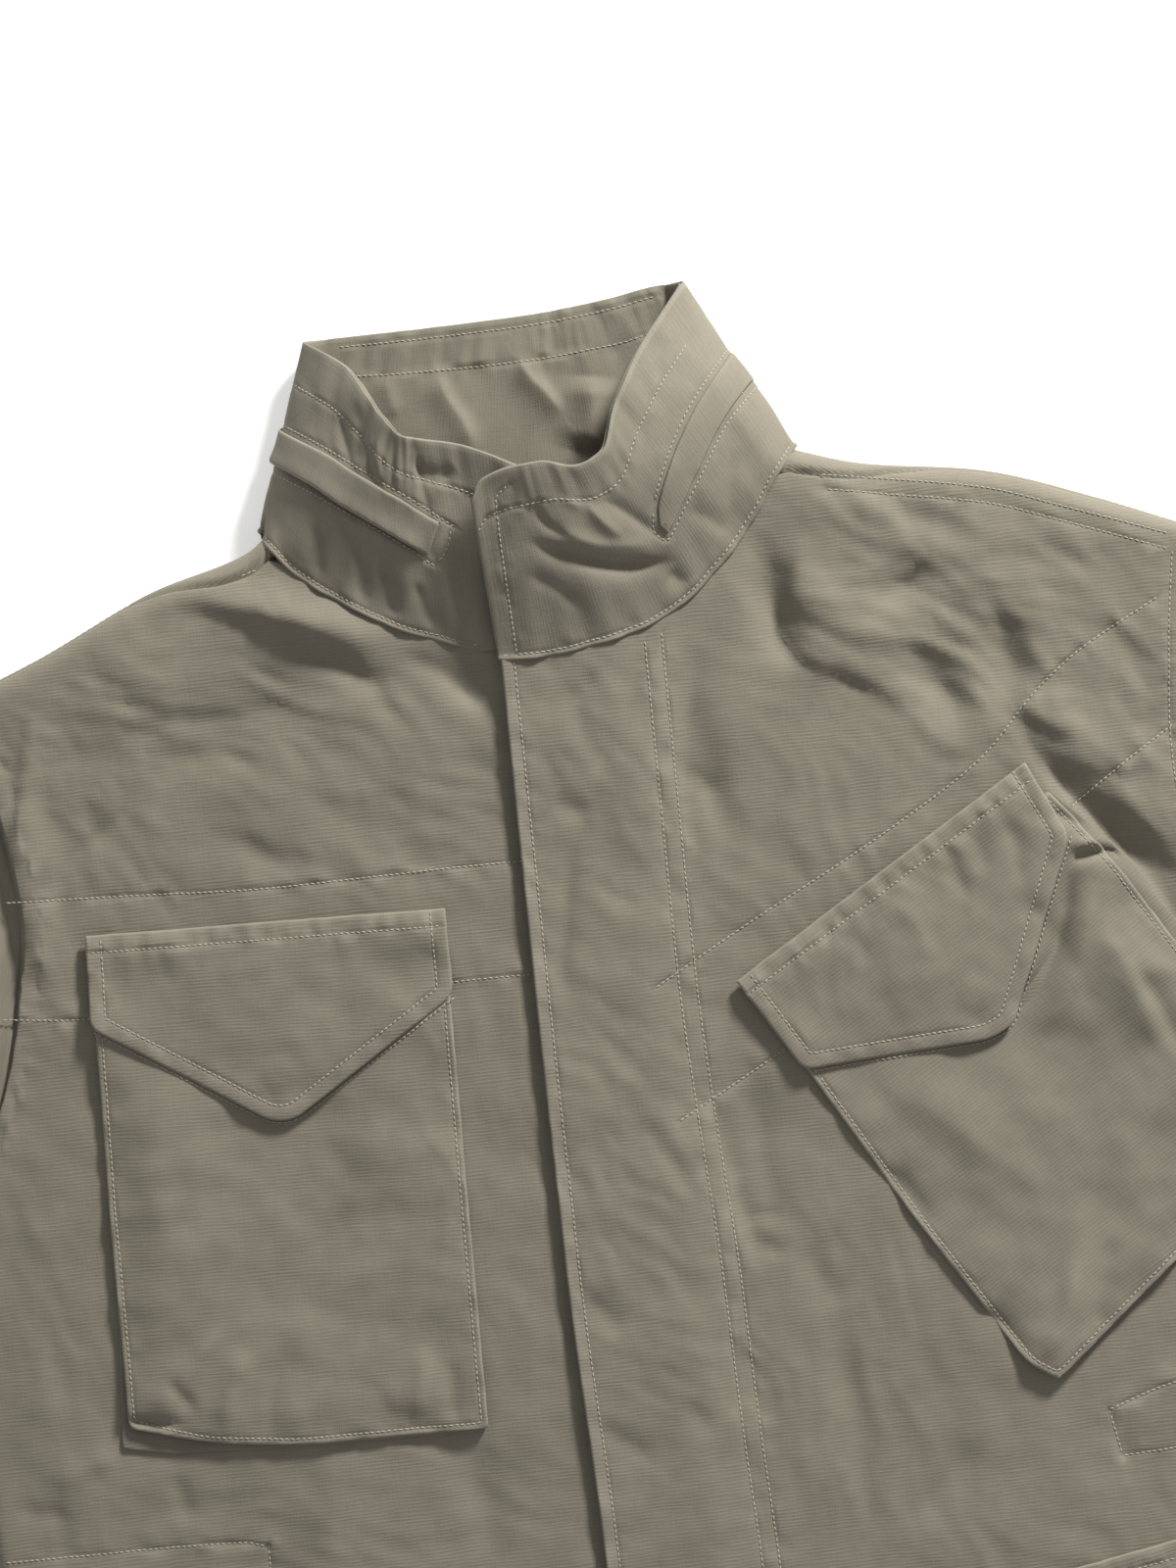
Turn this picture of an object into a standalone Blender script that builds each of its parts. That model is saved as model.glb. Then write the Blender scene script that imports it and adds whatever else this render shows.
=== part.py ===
"""Field jacket with a stand collar, laid flat on its back. Metres, +Z up, +Y towards the collar.

X runs across the jacket from its centre line (the wearer's left is +X), Y = 0 is the front neck seam at
the centre, and Z = 0 is the surface that the jacket lies on. The tables below are in millimetres. Each
panel is a wall of cloth worked out from its outline and from one height field, and whatever is sewn on a
panel follows that field, moved out.
"""

import math

import bpy
import numpy as np
from mathutils import Vector
from mathutils.geometry import delaunay_2d_cdt

MM = 0.001

# Driving dimensions, mm.
CLOTH = 1.6  # wall of a body or sleeve panel: the shell cloth and its turnings
DOUBLE_CLOTH = 2.2  # two layers sewn together, as in a flap
COLLAR_CLOTH = 2.6  # two layers and the interlining
GUSSET_CLOTH = 1.2
SEAM_GAP = 0.3
NECK_GAP = 1.5  # from the middle of the collar's foot to a panel's neck edge
RIGHT_UNDERARM = 316.0  # from the centre line to the side seam's top
LEFT_UNDERARM = 322.0
HEM_Y = -670.0
UNDERARM_Y = -236.0
FLY_EDGE_X = -36.0  # the fly's free edge, over the wearer's right front
FLY_LAP_X = 8.0  # the right front ends here, under the fly
FACING_CLOTH = 1.2
LAYER_GAP = 0.8  # between the layers of the fly
FLY_LIFT = CLOTH + FACING_CLOTH + 2 * LAYER_GAP  # the fly lies this far above the right front
FLY_STITCH_X = 40.0  # the double stitching that holds the fly's inner layer
BODY_HALF_WIDTH = 330.0
SLEEVE_LENGTH = 610.0
RIGHT_SLEEVE_ANGLE = 42.0  # degrees from -Y
LEFT_SLEEVE_ANGLE = 50.0
CUFF_WIDTH = 140.0
CUFF_HEIGHT = 9.0
CUFF_SHIFT = 40.0  # the sleeve's outer edge runs this far outside the shoulder point
POCKET_WIDTH = 165.0
GUSSET_LIFT = 1.1  # a folded gusset above the front
POCKET_LIFT = 4.6  # how far a bellows pocket's loose edges stand off the front
LOWER_FLAP_WIDTH = 192.0
COLLAR_BACK_REST = 3.0  # middle of the collar's back above the surface it lies over
OUTSIDE_NECK = 95.0  # the back turns over the shoulders only further out than this
SHOULDER_START = 104.0  # and the fronts' shoulder edges only further out than this
SIDES_START = UNDERARM_Y + 6.0  # the sides turn over below here
SHOULDER_NECK = {"left": 110.0, "right": 137.0}  # where the shoulder seams' drop is measured from
FOLDS_FADE_SIDE = 40.0  # folds of the fronts fade out this near a side seam
FOLDS_FADE_SHOULDER = 26.0
FLY_RAMP = (12.0, 40.0)  # the fly has risen from this far outside its stitching, over this width
FLY_CORNER_X = -28.0  # the left front's neck edge is straight past here
SLEEVE_GAP = 4.0 * SEAM_GAP  # from a panel's armhole edge to its sleeve
POCKET_GAP = SEAM_GAP + 0.7  # from a front to the pocket on it
FLAP_GAP = 2 * SEAM_GAP
BELLOWS_WIDTH = 70.0  # a bellows pocket comes down to the front over this width
BELLOWS_FOOT = (200.0, 34.0)  # it stands off again from this far down, over this height
FOOT_SHARE = 0.8  # of its height at the side
FLAP_RAMP = 10.0  # a chest flap comes up onto its pouch over this much below its seam
LOWER_FLAP_LIFT = (SEAM_GAP + 0.3, 0.8, 40.0)  # at its seam, how much more lower down, over this

# The shoulders' silhouette, from the neck out. Columns: x, y.
SHOULDER_LEFT = ((106.0, 83.0), (140.0, 72.0), (193.0, 63.0), (249.0, 43.0), (284.0, 28.0))
SHOULDER_RIGHT = ((-130.0, 73.0), (-146.0, 62.0), (-188.0, 50.5), (-245.0, 25.5), (-279.0, 12.5))
# The armholes, from the shoulder down to the underarm. Columns: x, y.
ARMHOLE_LEFT = (
    (284.0, 28.0), (277.0, -25.0), (273.0, -80.0), (278.0, -130.0), (293.0, -184.0),
    (LEFT_UNDERARM, UNDERARM_Y),
)
ARMHOLE_RIGHT = (
    (-279.0, 12.5), (-270.0, -45.0), (-265.0, -90.0), (-272.0, -135.0), (-288.0, -184.0),
    (-RIGHT_UNDERARM, UNDERARM_Y),
)
# Half the body's width below the underarm; the left front is pulled out, so it reaches further.
# Columns: y, wearer's right, wearer's left.
BODY_SIDES = (
    (UNDERARM_Y, RIGHT_UNDERARM, LEFT_UNDERARM),
    (-295.0, 315.0, 337.0),
    (-450.0, 309.0, 334.0),
    (HEM_Y, 304.0, 322.0),
)
# The fly's free edge, from the neck to the hem. Columns: x, y.
FLY_EDGE = (
    (-34.0, 0.0), (-35.0, -90.0), (FLY_EDGE_X, -215.0), (FLY_EDGE_X, -282.0), (-33.0, -417.0),
    (-33.0, HEM_Y),
)

# The collar, section by section along its length from the end under the fly, round the back to the end
# on top. Columns: foot x, foot y, foot z, top x, top y, top z, bow. A foot z of None lies on the fronts.
COLLAR_SECTIONS = (
    (-6.0, 5.0, None, -8.0, 81.0, 44.0, 0.0),
    (-41.0, 6.0, None, -43.0, 98.0, 46.0, 0.0),
    (-57.0, 11.0, None, -57.0, 101.0, 49.0, 1.5),
    (-81.0, 21.0, None, -67.0, 104.0, 50.0, 2.0),
    (-105.0, 36.0, None, -75.0, 115.0, 46.0, 3.0),
    (-124.0, 51.0, None, -87.0, 138.0, 32.0, 4.0),
    (-137.0, 71.0, 12.0, -107.0, 155.0, 13.0, 0.0),
    (-124.0, 76.0, COLLAR_BACK_REST, -97.0, 156.5, COLLAR_BACK_REST, 0.0),
    (-85.0, 68.0, COLLAR_BACK_REST, -62.0, 156.5, COLLAR_BACK_REST, 0.0),
    (-20.0, 63.0, COLLAR_BACK_REST, -10.0, 157.0, COLLAR_BACK_REST, 0.0),
    (50.0, 66.0, COLLAR_BACK_REST, 30.0, 160.0, COLLAR_BACK_REST, 0.0),
    (96.0, 79.0, COLLAR_BACK_REST, 60.0, 164.0, COLLAR_BACK_REST, 0.0),
    (110.0, 82.0, 13.0, 68.0, 163.0, 14.0, 0.0),
    (99.0, 68.0, None, 55.0, 146.0, 30.0, 4.0),
    (88.0, 52.0, None, 41.0, 127.0, 42.0, 4.0),
    (72.0, 34.0, None, 29.0, 105.0, 50.0, 3.0),
    (53.0, 18.0, None, 22.0, 87.0, 53.0, 1.0),
    (35.0, 9.0, None, 9.0, 81.5, 54.0, 1.0),
    (12.0, 3.0, None, -6.0, 85.0, 55.0, 1.5),
    (-14.0, 0.0, None, -20.0, 84.0, 54.0, 1.0),
    (-30.0, 0.0, None, -33.0, 80.0, 52.0, 0.5),
    (-35.0, 1.0, None, -39.0, 71.0, 50.0, 0.0),
)
FIRST_ON_LEFT_FRONT = 13  # the sections from this one on stand on the left front
# The hood-opening welt round the outside of the collar. Columns: share of the collar's length, lower
# edge and upper edge as shares of its height.
HOOD_WELT = (
    (0.085, 0.44, 0.63),
    (0.145, 0.46, 0.69),
    (0.203, 0.44, 0.65),
    (0.266, 0.36, 0.545),
    (0.30, 0.38, 0.56),
    (0.50, 0.42, 0.60),
    (0.70, 0.40, 0.58),
    (0.772, 0.41, 0.59),
    (0.81, 0.38, 0.53),
    (0.828, 0.39, 0.44),
)
HOOD_WELT_CLOTH = 1.1
HOOD_WELT_GAP = 0.5

# Height of the fronts' outer surface. Columns: y, height at the centre, height at the side.
BODY_HEIGHTS = (
    (HEM_Y, 10.0, 9.0),
    (-560.0, 11.0, 9.5),
    (-430.0, 12.0, 9.5),
    (-300.0, 13.5, 10.5),
    (-180.0, 15.0, 11.5),
    (-90.0, 18.0, 13.5),
    (-30.0, 21.0, 16.0),
    (30.0, 24.0, 17.5),
    (90.0, 24.0, 18.5),
)
# The largest folds of the fronts. Columns: x, y, direction in degrees, length, width, height, bend.
BODY_FOLDS = (
    (138.0, 52.0, -42.0, 78.0, 9.0, 6.5, 3.0),
    (97.0, 12.0, -82.0, 84.0, 9.0, -7.5, -4.0),
    (117.0, -4.0, -50.0, 70.0, 12.0, 6.0, 5.0),
    (152.0, 14.0, 20.0, 46.0, 8.0, -5.0, 0.0),
    (158.0, -34.0, -62.0, 62.0, 11.0, -4.5, 4.0),
    (194.0, -26.0, -84.0, 60.0, 10.0, -4.5, 0.0),
    (214.0, -62.0, -42.0, 76.0, 13.0, 4.5, 0.0),
    (240.0, -112.0, -40.0, 90.0, 11.0, -4.5, 0.0),
    (-124.0, 20.0, -22.0, 118.0, 12.0, 7.5, 8.0),
    (-104.0, 2.0, -30.0, 100.0, 11.0, -5.0, 6.0),
    (-48.0, -6.0, -66.0, 58.0, 9.0, -5.0, 0.0),
    (-186.0, -34.0, 22.0, 124.0, 16.0, -4.5, 4.0),
    (-256.0, -92.0, -83.0, 96.0, 8.0, 5.5, -3.0),
    (-205.0, 6.0, 30.0, 90.0, 18.0, 3.5, 0.0),
    (-6.0, -24.0, -50.0, 54.0, 12.0, -2.0, 0.0),
    (55.0, -66.0, -84.0, 92.0, 8.0, -3.0, 0.0),
    (58.0, -232.0, -86.0, 110.0, 9.0, -2.5, 0.0),
    (120.0, -480.0, -68.0, 190.0, 26.0, 3.0, 0.0),
    (-150.0, -450.0, -104.0, 210.0, 26.0, 3.0, 0.0),
    (222.0, -560.0, -80.0, 160.0, 20.0, -3.0, 0.0),
    (-232.0, -570.0, -98.0, 170.0, 20.0, -3.0, 0.0),
)
# The neck ends of the back where it turns over the shoulders, from the flat side round to the seam.
# Columns: x, angle turned in radians.
BACK_CORNER_RIGHT = ((-128.5, 0.0), (-136.5, 0.8), (-139.8, 1.6), (-137.5, 2.4), (-134.0, 3.14))
BACK_CORNER_LEFT = ((101.5, 0.0), (109.0, 0.8), (112.6, 1.6), (109.5, 2.4), (104.5, 3.14))
# Where the shoulder seam lies below the silhouette. Columns: distance from the neck, drop.
SHOULDER_SEAM_DROP = ((0.0, 12.0), (22.0, 9.0), (42.0, 4.0), (66.0, 1.0), (180.0, 1.0))

# The sleeve from armhole to cuff. Columns: share of its length, height.
SLEEVE_HEIGHTS = ((0.0, 15.0), (0.12, 19.0), (0.3, 18.0), (0.55, 15.0), (0.8, 12.0), (1.0, CUFF_HEIGHT))
# How a sleeve leaves the armhole, at the shoulder and at the underarm. Columns: degrees below the
# horizontal, pull.
SLEEVE_LEAVES = ((22.0, 450.0), (40.0, 230.0))
CUFF_PULL = 500.0
SLEEVE_BLEND = 0.14  # share of its length over which a sleeve takes up the body's height
SLEEVE_EDGE = 24.0  # folds fade out this near a sleeve's edges
# The sleeve's largest folds, in its own frame. Columns: distance down it, distance across it from the
# outer edge, direction in degrees from across, length, width, height, bend.
SLEEVE_FOLDS = (
    (70.0, 150.0, 24.0, 170.0, 13.0, -5.0, 6.0),
    (118.0, 120.0, 18.0, 190.0, 15.0, 5.0, 8.0),
    (165.0, 150.0, -14.0, 150.0, 14.0, -5.0, 0.0),
    (232.0, 90.0, 28.0, 150.0, 14.0, 4.5, 5.0),
    (285.0, 130.0, -20.0, 120.0, 13.0, -4.5, 0.0),
    (340.0, 80.0, 12.0, 150.0, 16.0, 4.0, 6.0),
    (395.0, 95.0, -24.0, 120.0, 12.0, -4.0, 0.0),
    (455.0, 70.0, 16.0, 120.0, 14.0, 3.5, 0.0),
    (520.0, 75.0, -12.0, 90.0, 12.0, -2.5, 0.0),
)

# Pocket pieces in the pocket's own frame, from the flap's top corner nearest the centre of the frame's
# left. Columns: across, down.
CHEST_FLAPS = {
    "right": ((0.0, 0.0), (POCKET_WIDTH, 0.0), (165.5, 40.0), (89.0, 91.0), (78.0, 91.0), (-0.6, 42.0)),
    "left": ((0.0, 0.0), (POCKET_WIDTH, 0.0), (161.5, 38.0), (89.0, 92.5), (76.5, 91.5), (0.0, 51.0)),
}
CHEST_POUCHES = {
    "right": (
        (1.5, 17.0), (164.0, 17.0), (164.5, 120.0), (166.0, 239.0), (80.0, 240.0), (38.0, 236.0),
        (2.0, 226.0), (0.5, 120.0),
    ),
    "left": (
        (2.0, 17.0), (166.0, 17.0), (171.0, 62.0), (171.5, 107.0), (170.0, 213.0), (82.5, 223.5),
        (44.0, 229.5), (7.5, 234.5), (0.7, 220.0), (-0.7, 140.0),
    ),
}
CHEST_GUSSETS = {
    "right": (
        (-2.5, 60.0), (-6.0, 150.0), (-8.0, 236.0), (20.0, 240.0), (90.0, 241.0), (165.0, 240.5),
        (164.0, 230.0), (90.0, 229.0), (14.0, 222.0), (10.0, 150.0), (8.0, 60.0),
    ),
    "left": (
        (161.0, 22.0), (167.5, 17.0), (174.0, 44.0), (178.0, 66.0), (178.5, 110.0), (175.0, 211.0),
        (82.0, 221.0), (44.0, 226.5), (14.0, 230.0), (14.0, 219.0), (82.0, 211.0), (160.0, 202.0),
        (163.0, 110.0), (163.0, 66.0),
    ),
}
# How a chest pocket stands off. Columns: across at its loose side, direction inwards from there, how
# far down it has risen, slant of its foot.
CHEST_STAND = {"right": (0.0, 1.0, 90.0, 0.0), "left": (171.0, -1.0, 40.0, 0.13)}
LOWER_FLAP = (
    (0.0, 0.0), (LOWER_FLAP_WIDTH, 0.0), (LOWER_FLAP_WIDTH, 58.0), (LOWER_FLAP_WIDTH / 2, 74.0),
    (0.0, 58.0),
)
# Where pockets are sewn. Columns: name, x and y of the corner, angle in degrees.
CHEST_PLACES = (
    ("right", -237.0, -103.0, -2.0),
    ("left", 56.0, -157.0, 30.7),
)
LOWER_PLACES = (
    ("right", -270.0, -440.0, 0.0),
    ("left", 80.0, -459.0, 9.5),
)

# Spacing of the mesh, mm.
FRONT_GRID = 22.0
BACK_GRID = 38.0
PATCH_GRID = 14.0
NECK_SPACING = 10.0
EDGE_SPACING = 24.0
FLY_SPACING = 18.0
BACK_SPACING = 32.0
SIDE_RINGS = (1.0, 3.0)  # distances in from a side seam
SEAM_RINGS = (1.5, 5.0)  # distances in from a shoulder seam
BACK_RINGS = (1.0, 3.0, 7.0)
TURN_RINGS = (0.0, 0.6, 1.2, 1.8, 2.5)  # radians of the back's turn over a shoulder
COLLAR_RINGS = 6  # rows of points from its foot to its top
SLEEVE_START = 0.1  # a sleeve's folds start over this share of its length
SHARP_ANGLE = math.radians(50)
FOLD_STEP = 1.7  # spacing of points along a fold, in widths
FOLD_SLOPE = 1.6  # and from its crest to the foot of its slopes
RING_APART, RING_MARGIN = 2.0, 0.7
# Shares of a grid's spacing: how near a fold's point may be to any other, a lattice point to the
# outline, and a lattice point to any other.
FOLD_NEAR, LATTICE_MARGIN, LATTICE_NEAR = 0.42, 0.45, 0.62

# Where the shoulder seams have points, across.
SEAM_X = {"right": np.linspace(-144.0, -279.0, 10), "left": np.linspace(118.0, 284.0, 11)}
SEAM_NECK_X = {"right": -134.0, "left": 104.5}
SLEEVE_ROWS = 23
SLEEVE_ACROSS = 0.5 - 0.5 * np.cos(np.linspace(0.0, np.pi, 11))  # shares, closer at both edges
COLLAR_SHARES = np.linspace(0.0, 1.0, 52)

OLIVE_GREY = (0.235, 0.205, 0.160, 1.0)
SHADED_OLIVE = (0.205, 0.180, 0.142, 1.0)


def clear_scene():
    for old in list(bpy.data.objects):
        bpy.data.objects.remove(old, do_unlink=True)


def cloth_material(name, colour):
    material = bpy.data.materials.new(name)
    material.use_nodes = True
    shader = material.node_tree.nodes["Principled BSDF"]
    shader.inputs["Base Color"].default_value = colour
    shader.inputs["Roughness"].default_value = 0.9
    shader.inputs["Metallic"].default_value = 0.0
    return material


def smooth_rows(rows, shares):
    """Rows of a table read as one smooth curve, at shares 0 to 1 of the way along it.

    It never overshoots a row, so cloth that lies flat between two rows stays flat."""
    rows = np.asarray(rows, float)
    steps = np.linalg.norm(np.diff(rows[:, :2], axis=0), axis=1)
    at = np.concatenate([[0.0], np.cumsum(np.maximum(steps, 1e-6))])
    at /= at[-1]
    secants = np.diff(rows, axis=0) / np.diff(at)[:, None]
    slopes = np.concatenate([secants[:1], np.zeros_like(secants[1:]), secants[-1:]])
    same = secants[:-1] * secants[1:] > 0
    mean = 2 * secants[:-1] * secants[1:] / np.where(same, secants[:-1] + secants[1:], 1.0)
    slopes[1:-1] = np.where(same, mean, 0.0)
    shares = np.clip(np.asarray(shares, float), 0.0, 1.0)
    first = np.clip(np.searchsorted(at, shares, side="right") - 1, 0, len(rows) - 2)
    span = (at[first + 1] - at[first])[:, None]
    t = (shares[:, None] - at[first][:, None]) / span
    return (
        (2 * t**3 - 3 * t**2 + 1) * rows[first]
        + (t**3 - 2 * t**2 + t) * span * slopes[first]
        + (3 * t**2 - 2 * t**3) * rows[first + 1]
        + (t**3 - t**2) * span * slopes[first + 1]
    )


def smooth_line(rows, spacing):
    """The smooth curve through the rows, with a point about every spacing mm."""
    rows = np.asarray(rows, float)
    length = np.linalg.norm(np.diff(rows, axis=0), axis=1).sum()
    return smooth_rows(rows, np.linspace(0.0, 1.0, max(2, int(round(length / spacing)) + 1)))


def straight_line(rows, spacing):
    """Straight runs between the rows, with a point about every spacing mm."""
    points = []
    for start, end in zip(np.asarray(rows[:-1], float), np.asarray(rows[1:], float)):
        count = max(1, int(round(np.linalg.norm(end - start) / spacing)))
        points.extend(start + (end - start) * k / count for k in range(count))
    points.append(np.asarray(rows[-1], float))
    return np.array(points)


def between(rows, where, column):
    """A table's column, read at a value of its first column."""
    rows = np.asarray(rows, float)
    order = np.argsort(rows[:, 0])
    return np.interp(where, rows[order, 0], rows[order, column])


def ease(value):
    value = np.clip(value, 0.0, 1.0)
    return value * value * (3.0 - 2.0 * value)


def fold_heights(x, y, folds):
    """Sum of soft ridges and troughs, each with its own place, direction, length, width and height."""
    total = np.zeros(np.shape(x))
    for fold_x, fold_y, degrees, length, width, height, bend in folds:
        along_x, along_y = math.cos(math.radians(degrees)), math.sin(math.radians(degrees))
        along = (x - fold_x) * along_x + (y - fold_y) * along_y
        across = (y - fold_y) * along_x - (x - fold_x) * along_y
        share = np.clip(along / (length / 2), -1.0, 1.0)
        across = across - bend * (1.0 - share**2)
        fade = np.cos(share * math.pi / 2) ** 2
        total = total + height * fade * np.exp(-((across / width) ** 2))
    return total


def silhouette_y(x):
    """The shoulders' silhouette above each x."""
    left = smooth_rows(SHOULDER_LEFT, np.linspace(0, 1, 60))
    right = smooth_rows(SHOULDER_RIGHT, np.linspace(0, 1, 60))
    line = np.concatenate([right[::-1], left])
    return np.interp(x, line[:, 0], line[:, 1])


def side_x(y, left):
    """Distance from the centre line to the side seam, at each y below the underarm."""
    return np.where(left, between(BODY_SIDES, y, 2), between(BODY_SIDES, y, 1))


def inside_side(x, y):
    """Distance in from the side seam."""
    return side_x(y, x > 0) - np.abs(x)


def rise(distance, radius):
    """Quarter-round profile: 0 at an edge, 1 from radius inwards."""
    t = np.clip(distance / radius, 0.0, 1.0)
    return np.sqrt(np.maximum(1.0 - (1.0 - t) ** 2, 0.0))


def base_height(x, y):
    centre = between(BODY_HEIGHTS, y, 1)
    side = between(BODY_HEIGHTS, y, 2)
    share = np.clip(np.abs(x) / BODY_HALF_WIDTH, 0.0, 1.0) ** 2
    return centre + (side - centre) * share


def edge_radius(x, y):
    """Half the body's thickness where the cloth turns over at the side or the shoulder."""
    return base_height(x, np.where(np.abs(x) > OUTSIDE_NECK, np.minimum(y, silhouette_y(x)), y)) / 2


def shoulder_drop(x):
    neck = np.where(x > 0, SHOULDER_NECK["left"], SHOULDER_NECK["right"])
    return between(SHOULDER_SEAM_DROP, np.abs(x) - neck, 1)


def body_edges(x, y):
    """(height share, radius) of the turn at the silhouette: 0 on it, 1 away from it."""
    radius = edge_radius(x, y)
    at_side = rise(np.where(y < SIDES_START, inside_side(x, y), 1e3), radius)
    at_shoulder = rise(np.where(np.abs(x) > SHOULDER_START, silhouette_y(x) - y, 1e3), radius)
    return at_side * at_shoulder, radius


def edge_direction(x, y, facing):
    """Outward directions where a panel turns over at the silhouette, as rows, zero away from it.

    facing is 1 on the fronts and -1 on the back."""
    radius = edge_radius(x, y)
    side_gap = np.where(y < SIDES_START, inside_side(x, y), 1e3) / radius
    top_gap = np.where(np.abs(x) > SHOULDER_START, silhouette_y(x) - y, 1e3) / radius
    out_x = np.sign(x) * np.clip(1.0 - side_gap, 0.0, 1.0)
    out_y = np.clip(1.0 - top_gap, 0.0, 1.0)
    flat_part = np.hypot(out_x, out_y)
    up = np.sqrt(np.clip(1.0 - flat_part**2, 0.0, 1.0)) * facing
    rows = np.stack([out_x, out_y, up], axis=1)
    return np.where(flat_part[:, None] > 0, rows, 0.0)


def front_height(x, y):
    """Outer surface of the fronts."""
    share, radius = body_edges(x, y)
    at_side = ease(inside_side(x, y) / FOLDS_FADE_SIDE)
    below_shoulder = ease((silhouette_y(x) - y) / FOLDS_FADE_SHOULDER)
    at_shoulder = np.where(np.abs(x) > SHOULDER_START, below_shoulder, 1.0)
    full = base_height(x, y) + fold_heights(x, y, BODY_FOLDS) * at_side * at_shoulder
    return radius + SEAM_GAP / 2 + (full - radius - SEAM_GAP / 2) * share


def back_height(x, y):
    """Outer, lower surface of the back: flat, and turning up to half height at the sides."""
    radius = edge_radius(x, y)
    share = rise(np.where(y < SIDES_START, inside_side(x, y), 1e3), radius)
    return (radius - SEAM_GAP / 2) * (1.0 - share)


def left_front_height(x, y):
    """The left front runs over the right one as the fly."""
    outside, width = FLY_RAMP
    return front_height(x, y) + FLY_LIFT * ease((FLY_STITCH_X + outside - x) / width)


def fold_points(folds):
    """Points along each fold and on its slopes, so that the mesh follows it."""
    points = []
    for fold_x, fold_y, degrees, length, width, height, bend in folds:
        along_x, along_y = math.cos(math.radians(degrees)), math.sin(math.radians(degrees))
        count = max(2, int(round(length / (FOLD_STEP * width))))
        for share in np.linspace(-0.8, 0.8, count + 1):
            middle = bend * (1.0 - share**2)
            for across in (middle - FOLD_SLOPE * width, middle, middle + FOLD_SLOPE * width):
                along = share * length / 2
                points.append((
                    fold_x + along * along_x - across * along_y,
                    fold_y + along * along_y + across * along_x,
                ))
    return points


def lattice(low, high, grid):
    """Points of one triangular lattice, the same for every piece, between two corners."""
    row_step = grid * math.sqrt(3) / 2
    points = []
    for row in range(int(low[1] // row_step), int(high[1] // row_step) + 2):
        for column in range(int(low[0] // grid) - 1, int(high[0] // grid) + 2):
            points.append((grid * (column + 0.5 * (row % 2)), row_step * row))
    return points


def inside_outline(outline, point, margin):
    """Whether a point is inside a closed outline by at least the margin."""
    nexts = np.roll(outline, -1, axis=0)
    gap = nexts - outline
    away = point - outline
    t = np.clip((away * gap).sum(axis=1) / (gap**2).sum(axis=1), 0.0, 1.0)
    nearest = np.linalg.norm(away - t[:, None] * gap, axis=1).min()
    crossing = (outline[:, 1] > point[1]) != (nexts[:, 1] > point[1])
    rise_y = np.where(gap[:, 1] == 0, 1e-9, gap[:, 1])
    at = outline[:, 0] + (point[1] - outline[:, 1]) * gap[:, 0] / rise_y
    return nearest > margin and (crossing & (point[0] < at)).sum() % 2 == 1


def fill_outline(outline, grid, rings=(), folds=()):
    """Triangles that fill a closed outline, as (points, faces): rings, then folds, then a lattice."""
    outline = np.asarray(outline, float)
    kept = [tuple(point) for point in outline]
    wanted = [(point, RING_MARGIN, RING_APART) for point in rings]
    near_fold = FOLD_NEAR * grid
    wanted += [(point, near_fold, near_fold) for point in fold_points(folds)]
    low, high = outline.min(axis=0), outline.max(axis=0)
    wanted += [(point, LATTICE_MARGIN * grid, LATTICE_NEAR * grid) for point in lattice(low, high, grid)]
    for point, margin, apart in wanted:
        inner = np.asarray(kept[len(outline):] or [(1e9, 1e9)])
        near = np.linalg.norm(inner - point, axis=1).min()
        if near > apart and inside_outline(outline, np.asarray(point), margin):
            kept.append(tuple(point))
    count = len(outline)
    edges = [(k, (k + 1) % count) for k in range(count)]
    flat = [Vector(point) for point in kept]
    points, _, faces, _, _, _ = delaunay_2d_cdt(flat, edges, [], 1, 1e-4)
    return np.array([tuple(point) for point in points]), [list(face) for face in faces]


def facing_up(points, faces):
    """The faces of a flat fill, each turned so that it faces +Z."""
    turned = []
    for face in faces:
        a, b, c = points[face[0]], points[face[1]], points[face[2]]
        area = (b[0] - a[0]) * (c[1] - a[1]) - (b[1] - a[1]) * (c[0] - a[0])
        turned.append(face if area > 0 else face[::-1])
    return turned


def point_normals(points, faces):
    normals = np.zeros_like(points)
    for face in faces:
        for k in range(1, len(face) - 1):
            a, b, c = face[0], face[k], face[k + 1]
            normal = np.cross(points[b] - points[a], points[c] - points[a])
            normals[[a, b, c]] += normal
    return normals / np.maximum(np.linalg.norm(normals, axis=1), 1e-9)[:, None]


def cloth_solid(name, points, faces, wall, material, centred=False, turned=None):
    """A closed wall of cloth: the given outer surface, the same surface moved in by the wall, and rims.

    turned gives the outward direction where the cloth turns over an edge, and zero rows elsewhere."""
    points = np.asarray(points, float)
    normals = point_normals(points, faces)
    if turned is not None:
        known = np.linalg.norm(turned, axis=1) > 0.5
        normals[known] = turned[known]
    outer = points + normals * wall / 2 if centred else points
    inner = outer - normals * wall
    count = len(points)
    every = [tuple(face) for face in faces]
    every += [tuple(index + count for index in reversed(face)) for face in faces]
    directed = {(face[k], face[(k + 1) % len(face)]) for face in faces for k in range(len(face))}
    for a, b in sorted(directed):
        if (b, a) not in directed:
            every.append((b, a, a + count, b + count))
    mesh = bpy.data.meshes.new(name)
    mesh.from_pydata((np.concatenate([outer, inner]) * MM).tolist(), [], every)
    mesh.validate()
    mesh.materials.append(material)
    mesh.shade_smooth()
    mesh.set_sharp_from_angle(angle=SHARP_ANGLE)
    obj = bpy.data.objects.new(name, mesh)
    bpy.context.scene.collection.objects.link(obj)
    return obj


def grid_faces(rows, columns, closed=False):
    """Quads of a grid of points, numbered row by row. A closed grid joins its last column to its first."""
    faces = []
    for row in range(rows - 1):
        for column in range(columns if closed else columns - 1):
            right = (column + 1) % columns
            faces.append((
                row * columns + column,
                (row + 1) * columns + column,
                (row + 1) * columns + right,
                row * columns + right,
            ))
    return faces


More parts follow.
